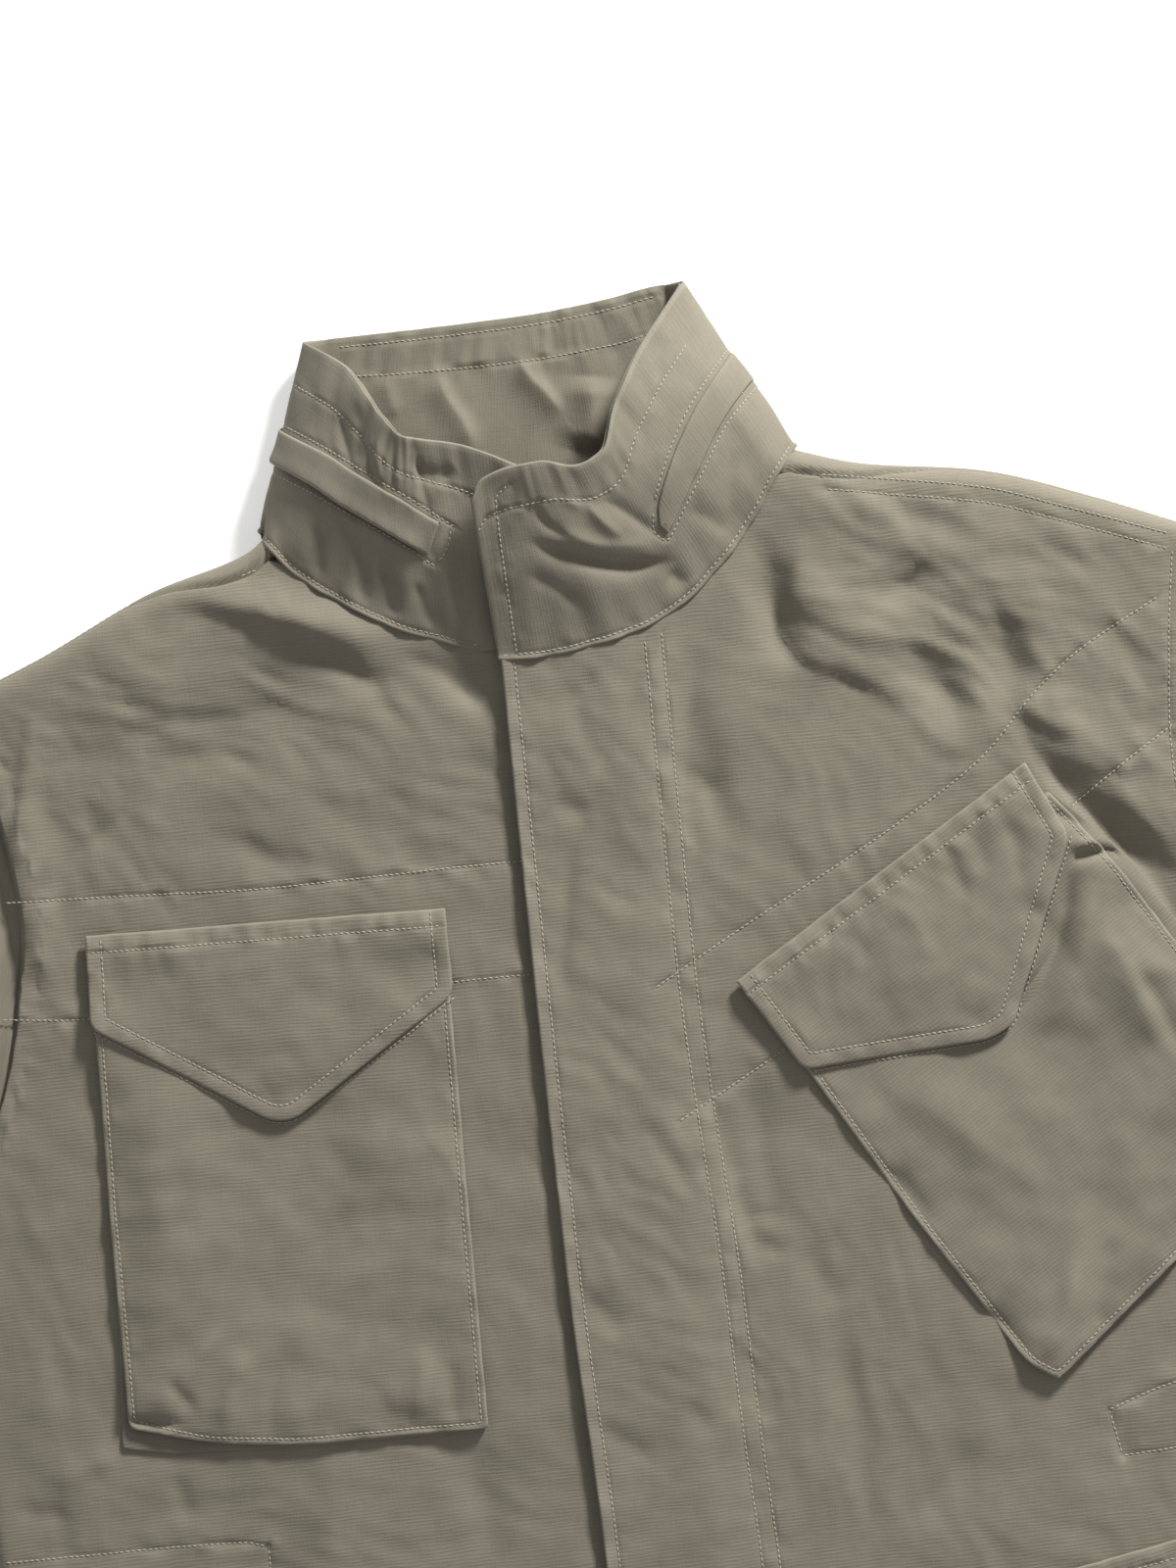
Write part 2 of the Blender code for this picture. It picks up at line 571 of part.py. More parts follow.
def neck_rows(first, last):
    """The collar's foot between two of its sections, as rows x, y."""
    return np.array([row[:2] for row in COLLAR_SECTIONS[first:last + 1]])


def moved_out(line, gap):
    """A line moved sideways by gap, to the right of its direction."""
    line = np.asarray(line, float)
    along = np.gradient(line, axis=0)
    along /= np.linalg.norm(along, axis=1)[:, None]
    return line + gap * np.stack([along[:, 1], -along[:, 0]], axis=1)


def shoulder_seam(side, past):
    """The shoulder seam in plan, from the neck to the armhole, moved down by past mm."""
    x = np.concatenate([[SEAM_NECK_X[side]], SEAM_X[side]])
    return np.stack([x, silhouette_y(x) - shoulder_drop(x) - past], axis=1)


def armhole(side):
    """The armhole's edge, at the same points as the sleeve's first ring."""
    return smooth_rows(ARMHOLE_RIGHT if side == "right" else ARMHOLE_LEFT, SLEEVE_ACROSS)


def body_side(sign, spacing):
    y = np.linspace(UNDERARM_Y, HEM_Y, int((UNDERARM_Y - HEM_Y) / spacing))[1:]
    return np.stack([sign * side_x(y, sign > 0), y], axis=1)


def edge_rings(outline, distances):
    """Points inside an outline's stretch, at set distances from it, where the cloth turns over."""
    rings = []
    for distance in distances:
        rings.extend(moved_out(outline, distance)[1:-1])
    return rings


def build_front_right(material):
    neck = smooth_line(neck_rows(1, 5), NECK_SPACING)
    neck = moved_out(neck, -NECK_GAP)
    seam = shoulder_seam("right", SEAM_GAP)
    seam = seam[seam[:, 0] < neck[-1, 0] - 3.0]
    arm = armhole("right")
    side = body_side(-1.0, EDGE_SPACING)
    lap = ((FLY_LAP_X, HEM_Y), (FLY_LAP_X, 3.0))
    outline = np.concatenate([
        straight_line([(FLY_LAP_X, 3.0), tuple(neck[0])], FRONT_GRID)[:-1],
        neck,
        seam,
        arm[1:],
        side,
        straight_line([tuple(side[-1]), (FLY_LAP_X, HEM_Y)], EDGE_SPACING)[1:-1],
        straight_line(lap, EDGE_SPACING)[:-1],
    ])
    rings = edge_rings(side[::-1], SIDE_RINGS) + edge_rings(seam[::-1], SEAM_RINGS)
    flat, faces = fill_outline(outline, FRONT_GRID, rings, BODY_FOLDS)
    x, y = flat[:, 0], flat[:, 1]
    points = np.stack([x, y, front_height(x, y)], axis=1)
    turned = edge_direction(x, y, 1.0)
    cloth_solid("front_right", points, facing_up(points, faces), CLOTH, material, turned=turned)


def build_front_left(material):
    neck = smooth_line(neck_rows(13, 21), NECK_SPACING)
    neck = moved_out(neck, -NECK_GAP)
    neck[neck[:, 0] < FLY_CORNER_X, 1] = -NECK_GAP
    seam = shoulder_seam("left", SEAM_GAP)
    seam = seam[seam[:, 0] > neck[0, 0] + 3.0]
    arm = armhole("left")
    side = body_side(1.0, EDGE_SPACING)
    fly = smooth_line(FLY_EDGE, FLY_SPACING)
    fly[0, 1] = -NECK_GAP
    outline = np.concatenate([
        fly,
        straight_line([tuple(fly[-1]), tuple(side[-1])], EDGE_SPACING)[1:-1],
        side[::-1],
        arm[::-1][:-1],
        seam[::-1],
        neck[:-1],
    ])
    rings = edge_rings(side, SIDE_RINGS) + edge_rings(seam, SEAM_RINGS)
    flat, faces = fill_outline(outline, FRONT_GRID, rings, BODY_FOLDS)
    x, y = flat[:, 0], flat[:, 1]
    points = np.stack([x, y, left_front_height(x, y)], axis=1)
    turned = edge_direction(x, y, 1.0)
    cloth_solid("front_left", points, facing_up(points, faces), CLOTH, material, turned=turned)


def build_fly_facing(material):
    """The fly's inner layer, under the left front from its free edge to the double stitching."""
    edge = smooth_line(FLY_EDGE, EDGE_SPACING)
    edge[:, 0] += 1.0
    edge[0, 1] = -3.0
    far = FLY_STITCH_X + 2.0
    corners = [tuple(edge[-1]), (far, HEM_Y), (far, edge[0, 1]), tuple(edge[0])]
    outline = np.concatenate([edge, straight_line(corners, FRONT_GRID)[1:-1]])
    flat, faces = fill_outline(outline, FRONT_GRID, (), BODY_FOLDS)
    x, y = flat[:, 0], flat[:, 1]
    points = np.stack([x, y, left_front_height(x, y) - CLOTH - LAYER_GAP], axis=1)
    cloth_solid("fly_facing", points, facing_up(points, faces), FACING_CLOTH, material)


def roll_over_shoulder(x, pattern_y):
    """(y, z, outward directions) of the back's flat pattern once its cloth turns over the shoulder."""
    silhouette = silhouette_y(x)
    radius = edge_radius(x, silhouette)
    past = pattern_y - (silhouette - radius)
    angle = np.clip(past / radius, 0.0, math.pi)
    over = np.maximum(past - math.pi * radius, 0.0)
    turning = (past > 0) & (np.abs(x) > OUTSIDE_NECK)
    y = np.where(turning, silhouette - radius + radius * np.sin(angle) - over, pattern_y)
    z = np.where(turning, radius * (1.0 - np.cos(angle)), 0.0)
    outward = np.stack([np.zeros_like(x), np.sin(angle), -np.cos(angle)], axis=1)
    return y, z, np.where(turning[:, None], outward, 0.0)


def seam_in_pattern(x):
    """The back's shoulder edge in its flat pattern: past the turn by the seam's drop."""
    silhouette = silhouette_y(x)
    radius = edge_radius(x, silhouette)
    drop = shoulder_drop(x)
    angle = np.where(drop < radius, math.pi - np.arcsin(np.clip(1 - drop / radius, 0, 1)), math.pi)
    return silhouette - radius + radius * angle + np.maximum(drop - radius, 0.0)


def corner_in_pattern(rows):
    """The neck end of the turn over a shoulder, in the back's flat pattern."""
    x, angle = np.asarray(rows, float).T
    silhouette = silhouette_y(x)
    return np.stack([x, silhouette + edge_radius(x, silhouette) * (angle - 1.0)], axis=1)


def laid_out(line):
    """Points of the back's lower side, given in plan, in its flat pattern."""
    silhouette = silhouette_y(line[:, 0])
    radius = edge_radius(line[:, 0], silhouette)
    share = np.clip((line[:, 1] - silhouette + radius) / radius, 0.0, 1.0)
    turned_y = silhouette - radius + radius * np.arcsin(share)
    return np.stack([line[:, 0], np.where(share > 0, turned_y, line[:, 1])], axis=1)


def build_back(material):
    right_x, left_x = SEAM_X["right"], SEAM_X["left"]
    right_seam = np.stack([right_x, seam_in_pattern(right_x)], axis=1)
    left_seam = np.stack([left_x, seam_in_pattern(left_x)], axis=1)
    right_corner = corner_in_pattern(BACK_CORNER_RIGHT)
    left_corner = corner_in_pattern(BACK_CORNER_LEFT)
    neck = moved_out(smooth_line(neck_rows(7, 11), FLY_SPACING), NECK_GAP)
    right_arm = laid_out(armhole("right"))
    left_arm = laid_out(armhole("left"))
    right_side = body_side(-1.0, BACK_SPACING)
    left_side = body_side(1.0, BACK_SPACING)
    outline = np.concatenate([
        right_corner,
        right_seam,
        right_arm,
        right_side,
        straight_line([tuple(right_side[-1]), tuple(left_side[-1])], BACK_SPACING)[1:-1],
        left_side[::-1],
        left_arm[::-1],
        left_seam[::-1],
        left_corner[::-1],
        neck[::-1],
    ])
    rings = edge_rings(right_side[::-1], BACK_RINGS) + edge_rings(left_side, BACK_RINGS)
    for seam_x in (right_x, left_x):
        radius = edge_radius(seam_x, silhouette_y(seam_x))
        for angle in TURN_RINGS:
            line = silhouette_y(seam_x) - radius + radius * angle
            rings.extend(p for p in zip(seam_x[1:-1], line[1:-1]))
    flat, faces = fill_outline(outline, BACK_GRID, rings)
    faces = facing_up(flat, faces)
    x = flat[:, 0]
    y, z, turned = roll_over_shoulder(x, flat[:, 1])
    z = z + back_height(x, flat[:, 1])
    points = np.stack([x, y, z], axis=1)
    turning = np.linalg.norm(turned, axis=1)[:, None] > 0
    turned = np.where(turning, turned, edge_direction(x, y, -1.0))
    cloth_solid("back", points, [face[::-1] for face in faces], CLOTH, material, turned=turned)


def collar_surface(shares, heights):
    """Middle of the collar's wall, for shares of its length by shares of its height, foot to top."""
    rows = []
    for number, section in enumerate(COLLAR_SECTIONS):
        foot_x, foot_y, foot_z, top_x, top_y, top_z, bow = section
        if foot_z is None:
            field = left_front_height if number >= FIRST_ON_LEFT_FRONT else front_height
            foot_z = float(field(np.array(foot_x), np.array(foot_y - NECK_GAP))) - CLOTH / 2
        rows.append((foot_x, foot_y, foot_z, top_x, top_y, top_z, bow))
    rows = np.array(rows)
    along = smooth_rows(rows, shares)
    foot, top, bow = along[:, None, 0:3], along[:, None, 3:6], along[:, None, 6:7]
    v = np.asarray(heights)[None, :, None]
    points = foot + (top - foot) * v
    points[:, :, 2:3] += bow * np.sin(np.pi * v)
    return points


def build_collar(material):
    heights = np.linspace(0.0, 1.0, COLLAR_RINGS)
    points = collar_surface(COLLAR_SHARES, heights).reshape(-1, 3)
    faces = [face[::-1] for face in grid_faces(len(COLLAR_SHARES), len(heights))]
    cloth_solid("collar", points, faces, COLLAR_CLOTH, material, centred=True)


def build_hood_welt(material):
    """The welt of the hood opening, just outside the collar's outer face."""
    table = np.array(HOOD_WELT)
    shares = COLLAR_SHARES[(COLLAR_SHARES > table[0, 0]) & (COLLAR_SHARES < table[-1, 0])]
    low = np.interp(shares, table[:, 0], table[:, 1])
    high = np.interp(shares, table[:, 0], table[:, 2])
    steps = np.linspace(0.0, 1.0, 3)
    points = np.stack([
        collar_surface(np.array([share]), low_v + (high_v - low_v) * steps)[0]
        for share, low_v, high_v in zip(shares, low, high)
    ]).reshape(-1, 3)
    faces = [face[::-1] for face in grid_faces(len(shares), len(steps))]
    normals = point_normals(points, faces)
    outer = points + normals * (COLLAR_CLOTH / 2 + HOOD_WELT_GAP + HOOD_WELT_CLOTH)
    cloth_solid("hood_welt", outer, faces, HOOD_WELT_CLOTH, material)


def sleeve_points(sign, along, across):
    """Plan points of a sleeve: along from 0 at the armhole to 1 at the cuff, across from 0 at its outer
    edge to 1 at its inner edge. Each line along it leaves the armhole outwards and bends to the cuff."""
    arm = ARMHOLE_RIGHT if sign < 0 else ARMHOLE_LEFT
    turn = math.radians(RIGHT_SLEEVE_ANGLE if sign < 0 else LEFT_SLEEVE_ANGLE)
    start = smooth_rows(arm, across) * (sign, 1.0)
    start[:, 0] += SLEEVE_GAP + SEAM_GAP * across
    down = np.array([math.sin(turn), -math.cos(turn)])
    inwards = np.array([-math.cos(turn), -math.sin(turn)])
    outer_cuff = np.array([abs(arm[0][0]), arm[0][1]]) + SLEEVE_LENGTH * down - CUFF_SHIFT * inwards
    end = outer_cuff + CUFF_WIDTH * inwards * across[:, None]
    leave = []
    for degrees, pull in SLEEVE_LEAVES:
        leave.append((pull * math.cos(math.radians(degrees)), -pull * math.sin(math.radians(degrees))))
    leave = np.array(leave[0]) * (1.0 - across[:, None]) + np.array(leave[1]) * across[:, None]
    s = along[:, None]
    points = (
        (2 * s**3 - 3 * s**2 + 1) * start
        + (s**3 - 2 * s**2 + s) * leave
        + (3 * s**2 - 2 * s**3) * end
        + (s**3 - s**2) * down * CUFF_PULL
    )
    return points * (sign, 1.0)


def sleeve_edges(plan, outer_edge, inner_edge, radius, facing):
    """(height share, outward directions) of a sleeve piece's turn at its two edges, for one of its rows."""
    from_outer = np.linalg.norm(plan - outer_edge, axis=1)
    from_inner = np.linalg.norm(plan - inner_edge, axis=1)
    outwards = (outer_edge - inner_edge) / np.linalg.norm(outer_edge - inner_edge)
    flat_part = np.clip(1.0 - from_outer / radius, 0.0, 1.0)
    flat_part = flat_part - np.clip(1.0 - from_inner / radius, 0.0, 1.0)
    up = np.sqrt(1.0 - flat_part**2) * facing
    rows = np.column_stack([flat_part[:, None] * outwards, up])
    turned = np.where(flat_part[:, None] != 0.0, rows, 0.0)
    return rise(from_outer, radius) * rise(from_inner, radius), turned


def build_sleeve_piece(name, sign, facing, material):
    """The top sleeve (facing 1) or the under sleeve (facing -1), from the armhole to the cuff."""
    grid, turned = [], []
    for s in np.linspace(0.0, 1.0, SLEEVE_ROWS):
        plan = sleeve_points(sign, np.full(len(SLEEVE_ACROSS), s), SLEEVE_ACROSS)
        outer_edge, inner_edge = plan[0], plan[-1]
        height = between(SLEEVE_HEIGHTS, s, 1)
        radius = height / 2
        share, directions = sleeve_edges(plan, outer_edge, inner_edge, radius, facing)
        body_share, _ = body_edges(plan[:, 0], plan[:, 1])
        near_body = 1.0 - ease(s / SLEEVE_BLEND)
        if facing > 0:
            from_edge = np.linalg.norm(plan - outer_edge, axis=1)
            folds = fold_heights(np.full(len(plan), s * SLEEVE_LENGTH), from_edge, SLEEVE_FOLDS)
            from_edge = np.minimum(from_edge, np.linalg.norm(plan - inner_edge, axis=1))
            edge = ease(from_edge / SLEEVE_EDGE) * ease(s / SLEEVE_START)
            z = radius + (height - radius + folds * edge) * share
            body_z = front_height(plan[:, 0], plan[:, 1])
        else:
            z = radius * (1.0 - share)
            body_z = edge_radius(plan[:, 0], plan[:, 1]) * (1.0 - body_share)
        z = z + (body_z - z) * near_body + facing * SEAM_GAP / 2 * (1.0 - share)
        grid.append(np.column_stack([plan, z]))
        turned.append(directions)
    faces = grid_faces(SLEEVE_ROWS, len(SLEEVE_ACROSS))
    if sign * facing > 0:
        faces = [face[::-1] for face in faces]
    cloth_solid(name, np.concatenate(grid), faces, CLOTH, material, turned=np.concatenate(turned))


def in_frame(rows, place_x, place_y, degrees):
    """Points of a pocket's own frame (across, down) in the jacket's frame."""
    rows = np.asarray(rows, float)
    turn = math.radians(degrees)
    x = place_x + rows[:, 0] * math.cos(turn) + rows[:, 1] * math.sin(turn)
    y = place_y + rows[:, 0] * math.sin(turn) - rows[:, 1] * math.cos(turn)
    return np.stack([x, y], axis=1)


def to_frame(x, y, place_x, place_y, degrees):
    """(across, down) in a pocket's own frame."""
    turn = math.radians(degrees)
    away_x, away_y = x - place_x, y - place_y
    across = away_x * math.cos(turn) + away_y * math.sin(turn)
    return across, away_x * math.sin(turn) - away_y * math.cos(turn)


def patch(name, side, rows, place, lift, wall, material):
    """A piece that lies on a front: its outline in the pocket's frame, over the front's height field.

    lift(side, across, down) is the height of its lower face above the front."""
    outline = in_frame(straight_line(list(rows) + [rows[0]], PATCH_GRID)[:-1], *place)
    flat, faces = fill_outline(outline, FRONT_GRID, (), BODY_FOLDS)
    x, y = flat[:, 0], flat[:, 1]
    field = front_height if side == "right" else left_front_height
    height = field(x, y) + lift(side, *to_frame(x, y, *place)) + wall
    points = np.stack([x, y, height], axis=1)
    cloth_solid(f"{name}_{side}", points, facing_up(points, faces), wall, material)


def pouch_lift(side, across, down):
    """A bellows pocket stands off at its outer side and foot, and is sewn flat at its inner side."""
    loose, inwards, risen, slant = CHEST_STAND[side]
    beside = 1.0 - ease((across - loose) * inwards / BELLOWS_WIDTH)
    foot_down, foot_height = BELLOWS_FOOT
    foot = ease((down + slant * across - foot_down) / foot_height)
    return POCKET_GAP + POCKET_LIFT * np.maximum(beside * ease(down / risen), FOOT_SHARE * foot)


def flap_lift(side, across, down):
    """It lies on the front along its top seam, and on the pouch below that."""
    return pouch_lift(side, across, down) * ease(down / FLAP_RAMP) + CLOTH + FLAP_GAP


def gusset_lift(_side, across, _down):
    return np.full(np.shape(across), GUSSET_LIFT)


def lower_flap_lift(_side, _across, down):
    at_top, more, width = LOWER_FLAP_LIFT
    return at_top + more * ease(down / width)


def build_pockets(material, under_material):
    for side, *place in CHEST_PLACES:
        gusset = CHEST_GUSSETS[side]
        patch("chest_gusset", side, gusset, place, gusset_lift, GUSSET_CLOTH, under_material)
        patch("chest_pocket", side, CHEST_POUCHES[side], place, pouch_lift, CLOTH, material)
        patch("chest_flap", side, CHEST_FLAPS[side], place, flap_lift, DOUBLE_CLOTH, material)
    for side, *place in LOWER_PLACES:
        patch("lower_flap", side, LOWER_FLAP, place, lower_flap_lift, DOUBLE_CLOTH, material)


def main():
    clear_scene()
    shell = cloth_material("shell cloth", OLIVE_GREY)
    inner = cloth_material("inner cloth", SHADED_OLIVE)
    build_back(shell)
    build_front_right(shell)
    build_front_left(shell)
    build_fly_facing(inner)
    build_collar(shell)
    build_hood_welt(shell)
    for side, sign in (("right", -1.0), ("left", 1.0)):
        build_sleeve_piece(f"sleeve_{side}_top", sign, 1.0, shell)
        build_sleeve_piece(f"sleeve_{side}_under", sign, -1.0, shell)
    build_pockets(shell, inner)


main()
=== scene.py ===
"""Field jacket with a stand collar, laid flat on its back: its cloth, folds, seams and stitching.

The first tables and functions repeat those of the CAD source, in millimetres, so that every piece lies on
the same forms. The rest adds what only looks need: fine meshes with rounded edges, creases, puckers along
the seams, stitches and the weave.
"""

import math

import bpy
import numpy as np
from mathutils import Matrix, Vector
from mathutils.geometry import delaunay_2d_cdt
from mathutils.kdtree import KDTree


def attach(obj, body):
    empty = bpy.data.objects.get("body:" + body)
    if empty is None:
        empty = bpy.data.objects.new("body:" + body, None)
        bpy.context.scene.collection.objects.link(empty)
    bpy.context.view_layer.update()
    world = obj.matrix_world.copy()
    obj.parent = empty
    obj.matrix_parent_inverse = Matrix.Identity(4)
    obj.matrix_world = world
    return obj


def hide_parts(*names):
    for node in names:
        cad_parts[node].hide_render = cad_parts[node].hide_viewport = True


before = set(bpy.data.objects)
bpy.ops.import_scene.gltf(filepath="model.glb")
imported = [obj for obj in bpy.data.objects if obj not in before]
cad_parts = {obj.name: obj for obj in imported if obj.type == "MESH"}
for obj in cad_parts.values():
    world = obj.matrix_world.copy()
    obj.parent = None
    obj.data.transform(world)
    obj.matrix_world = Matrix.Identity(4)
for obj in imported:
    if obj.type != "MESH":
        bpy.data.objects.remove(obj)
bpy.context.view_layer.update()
MM = 0.001


# Driving dimensions, mm.
CLOTH = 1.6  # wall of a body or sleeve panel: the shell cloth and its turnings
DOUBLE_CLOTH = 2.2  # two layers sewn together, as in a flap
COLLAR_CLOTH = 2.6  # two layers and the interlining
GUSSET_CLOTH = 1.2
SEAM_GAP = 0.3
NECK_GAP = 1.5  # from the middle of the collar's foot to a panel's neck edge
RIGHT_UNDERARM = 316.0  # from the centre line to the side seam's top
LEFT_UNDERARM = 322.0
HEM_Y = -670.0
UNDERARM_Y = -236.0
FLY_EDGE_X = -36.0  # the fly's free edge, over the wearer's right front
FLY_LAP_X = 8.0  # the right front ends here, under the fly
FACING_CLOTH = 1.2
LAYER_GAP = 0.8  # between the layers of the fly
FLY_LIFT = CLOTH + FACING_CLOTH + 2 * LAYER_GAP  # the fly lies this far above the right front
FLY_STITCH_X = 40.0  # the double stitching that holds the fly's inner layer
BODY_HALF_WIDTH = 330.0
SLEEVE_LENGTH = 610.0
RIGHT_SLEEVE_ANGLE = 42.0  # degrees from -Y
LEFT_SLEEVE_ANGLE = 50.0
CUFF_WIDTH = 140.0
CUFF_HEIGHT = 9.0
CUFF_SHIFT = 40.0  # the sleeve's outer edge runs this far outside the shoulder point
POCKET_WIDTH = 165.0
POCKET_LIFT = 4.6  # how far a bellows pocket's loose edges stand off the front
LOWER_FLAP_WIDTH = 192.0
COLLAR_BACK_REST = 3.0  # middle of the collar's back above the surface it lies over
OUTSIDE_NECK = 95.0  # the back turns over the shoulders only further out than this
SHOULDER_START = 104.0  # and the fronts' shoulder edges only further out than this
SIDES_START = UNDERARM_Y + 6.0  # the sides turn over below here
SHOULDER_NECK = {"left": 110.0, "right": 137.0}  # where the shoulder seams' drop is measured from
NO_EDGE = 1e3  # stands for the distance to an edge where there is none
FOLDS_FADE_SIDE = 40.0  # folds of the fronts fade out this near a side seam
FOLDS_FADE_SHOULDER = 26.0
FLY_RAMP = (12.0, 40.0)  # the fly has risen from this far outside its stitching, over this width
FLY_CORNER_X = -28.0  # the left front's neck edge is straight past here
SLEEVE_GAP = 4.0 * SEAM_GAP  # from a panel's armhole edge to its sleeve
POCKET_GAP = SEAM_GAP + 0.7  # from a front to the pocket on it
FLAP_GAP = 2 * SEAM_GAP
BELLOWS_WIDTH = 70.0  # a bellows pocket comes down to the front over this width
BELLOWS_FOOT = (200.0, 34.0)  # it stands off again from this far down, over this height
FOOT_SHARE = 0.8  # of its height at the side
FLAP_RAMP = 10.0  # a chest flap comes up onto its pouch over this much below its seam
LOWER_FLAP_LIFT = (SEAM_GAP + 0.3, 0.8, 40.0)  # at its seam, how much more lower down, over this

# The shoulders' silhouette, from the neck out. Columns: x, y.
SHOULDER_LEFT = ((106.0, 83.0), (140.0, 72.0), (193.0, 63.0), (249.0, 43.0), (284.0, 28.0))
SHOULDER_RIGHT = ((-130.0, 73.0), (-146.0, 62.0), (-188.0, 50.5), (-245.0, 25.5), (-279.0, 12.5))
# The armholes, from the shoulder down to the underarm. Columns: x, y.
ARMHOLE_LEFT = (
    (284.0, 28.0), (277.0, -25.0), (273.0, -80.0), (278.0, -130.0), (293.0, -184.0),
    (LEFT_UNDERARM, UNDERARM_Y),
)
ARMHOLE_RIGHT = (
    (-279.0, 12.5), (-270.0, -45.0), (-265.0, -90.0), (-272.0, -135.0), (-288.0, -184.0),
    (-RIGHT_UNDERARM, UNDERARM_Y),
)
# Half the body's width below the underarm; the left front is pulled out, so it reaches further.
# Columns: y, wearer's right, wearer's left.
BODY_SIDES = (
    (UNDERARM_Y, RIGHT_UNDERARM, LEFT_UNDERARM),
    (-295.0, 315.0, 337.0),
    (-450.0, 309.0, 334.0),
    (HEM_Y, 304.0, 322.0),
)
# The fly's free edge, from the neck to the hem. Columns: x, y.
FLY_EDGE = (
    (-34.0, 0.0), (-35.0, -90.0), (FLY_EDGE_X, -215.0), (FLY_EDGE_X, -282.0), (-33.0, -417.0),
    (-33.0, HEM_Y),
)

# The collar, section by section along its length from the end under the fly, round the back to the end
# on top. Columns: foot x, foot y, foot z, top x, top y, top z, bow. A foot z of None lies on the fronts.
COLLAR_SECTIONS = (
    (-6.0, 5.0, None, -8.0, 81.0, 44.0, 0.0),
    (-41.0, 6.0, None, -43.0, 98.0, 46.0, 0.0),
    (-57.0, 11.0, None, -57.0, 101.0, 49.0, 1.5),
    (-81.0, 21.0, None, -67.0, 104.0, 50.0, 2.0),
    (-105.0, 36.0, None, -75.0, 115.0, 46.0, 3.0),
    (-124.0, 51.0, None, -87.0, 138.0, 32.0, 4.0),
    (-137.0, 71.0, 12.0, -107.0, 155.0, 13.0, 0.0),
    (-124.0, 76.0, COLLAR_BACK_REST, -97.0, 156.5, COLLAR_BACK_REST, 0.0),
    (-85.0, 68.0, COLLAR_BACK_REST, -62.0, 156.5, COLLAR_BACK_REST, 0.0),
    (-20.0, 63.0, COLLAR_BACK_REST, -10.0, 157.0, COLLAR_BACK_REST, 0.0),
    (50.0, 66.0, COLLAR_BACK_REST, 30.0, 160.0, COLLAR_BACK_REST, 0.0),
    (96.0, 79.0, COLLAR_BACK_REST, 60.0, 164.0, COLLAR_BACK_REST, 0.0),
    (110.0, 82.0, 13.0, 68.0, 163.0, 14.0, 0.0),
    (99.0, 68.0, None, 55.0, 146.0, 30.0, 4.0),
    (88.0, 52.0, None, 41.0, 127.0, 42.0, 4.0),
    (72.0, 34.0, None, 29.0, 105.0, 50.0, 3.0),
    (53.0, 18.0, None, 22.0, 87.0, 53.0, 1.0),
    (35.0, 9.0, None, 9.0, 81.5, 54.0, 1.0),
    (12.0, 3.0, None, -6.0, 85.0, 55.0, 1.5),
    (-14.0, 0.0, None, -20.0, 84.0, 54.0, 1.0),
    (-30.0, 0.0, None, -33.0, 80.0, 52.0, 0.5),
    (-35.0, 1.0, None, -39.0, 71.0, 50.0, 0.0),
)
FIRST_ON_LEFT_FRONT = 13  # the sections from this one on stand on the left front
HOOD_WELT_CLOTH = 1.1
HOOD_WELT_GAP = 0.5

# Height of the fronts' outer surface. Columns: y, height at the centre, height at the side.
BODY_HEIGHTS = (
    (HEM_Y, 10.0, 9.0),
    (-560.0, 11.0, 9.5),
    (-430.0, 12.0, 9.5),
    (-300.0, 13.5, 10.5),
    (-180.0, 15.0, 11.5),
    (-90.0, 18.0, 13.5),
    (-30.0, 21.0, 16.0),
    (30.0, 24.0, 17.5),
    (90.0, 24.0, 18.5),
)
# The largest folds of the fronts. Columns: x, y, direction in degrees, length, width, height, bend.
BODY_FOLDS = (
    (138.0, 52.0, -42.0, 78.0, 9.0, 6.5, 3.0),
    (97.0, 12.0, -82.0, 84.0, 9.0, -7.5, -4.0),
    (117.0, -4.0, -50.0, 70.0, 12.0, 6.0, 5.0),
    (152.0, 14.0, 20.0, 46.0, 8.0, -5.0, 0.0),
    (158.0, -34.0, -62.0, 62.0, 11.0, -4.5, 4.0),
    (194.0, -26.0, -84.0, 60.0, 10.0, -4.5, 0.0),
    (214.0, -62.0, -42.0, 76.0, 13.0, 4.5, 0.0),
    (240.0, -112.0, -40.0, 90.0, 11.0, -4.5, 0.0),
    (-124.0, 20.0, -22.0, 118.0, 12.0, 7.5, 8.0),
    (-104.0, 2.0, -30.0, 100.0, 11.0, -5.0, 6.0),
    (-48.0, -6.0, -66.0, 58.0, 9.0, -5.0, 0.0),
    (-186.0, -34.0, 22.0, 124.0, 16.0, -4.5, 4.0),
    (-256.0, -92.0, -83.0, 96.0, 8.0, 5.5, -3.0),
    (-205.0, 6.0, 30.0, 90.0, 18.0, 3.5, 0.0),
    (-6.0, -24.0, -50.0, 54.0, 12.0, -2.0, 0.0),
    (55.0, -66.0, -84.0, 92.0, 8.0, -3.0, 0.0),
    (58.0, -232.0, -86.0, 110.0, 9.0, -2.5, 0.0),
    (120.0, -480.0, -68.0, 190.0, 26.0, 3.0, 0.0),
    (-150.0, -450.0, -104.0, 210.0, 26.0, 3.0, 0.0),
    (222.0, -560.0, -80.0, 160.0, 20.0, -3.0, 0.0),
    (-232.0, -570.0, -98.0, 170.0, 20.0, -3.0, 0.0),
)
# The neck ends of the back where it turns over the shoulders, from the flat side round to the seam.
# Columns: x, angle turned in radians.
BACK_CORNER_RIGHT = ((-128.5, 0.0), (-136.5, 0.8), (-139.8, 1.6), (-137.5, 2.4), (-134.0, 3.14))
BACK_CORNER_LEFT = ((101.5, 0.0), (109.0, 0.8), (112.6, 1.6), (109.5, 2.4), (104.5, 3.14))
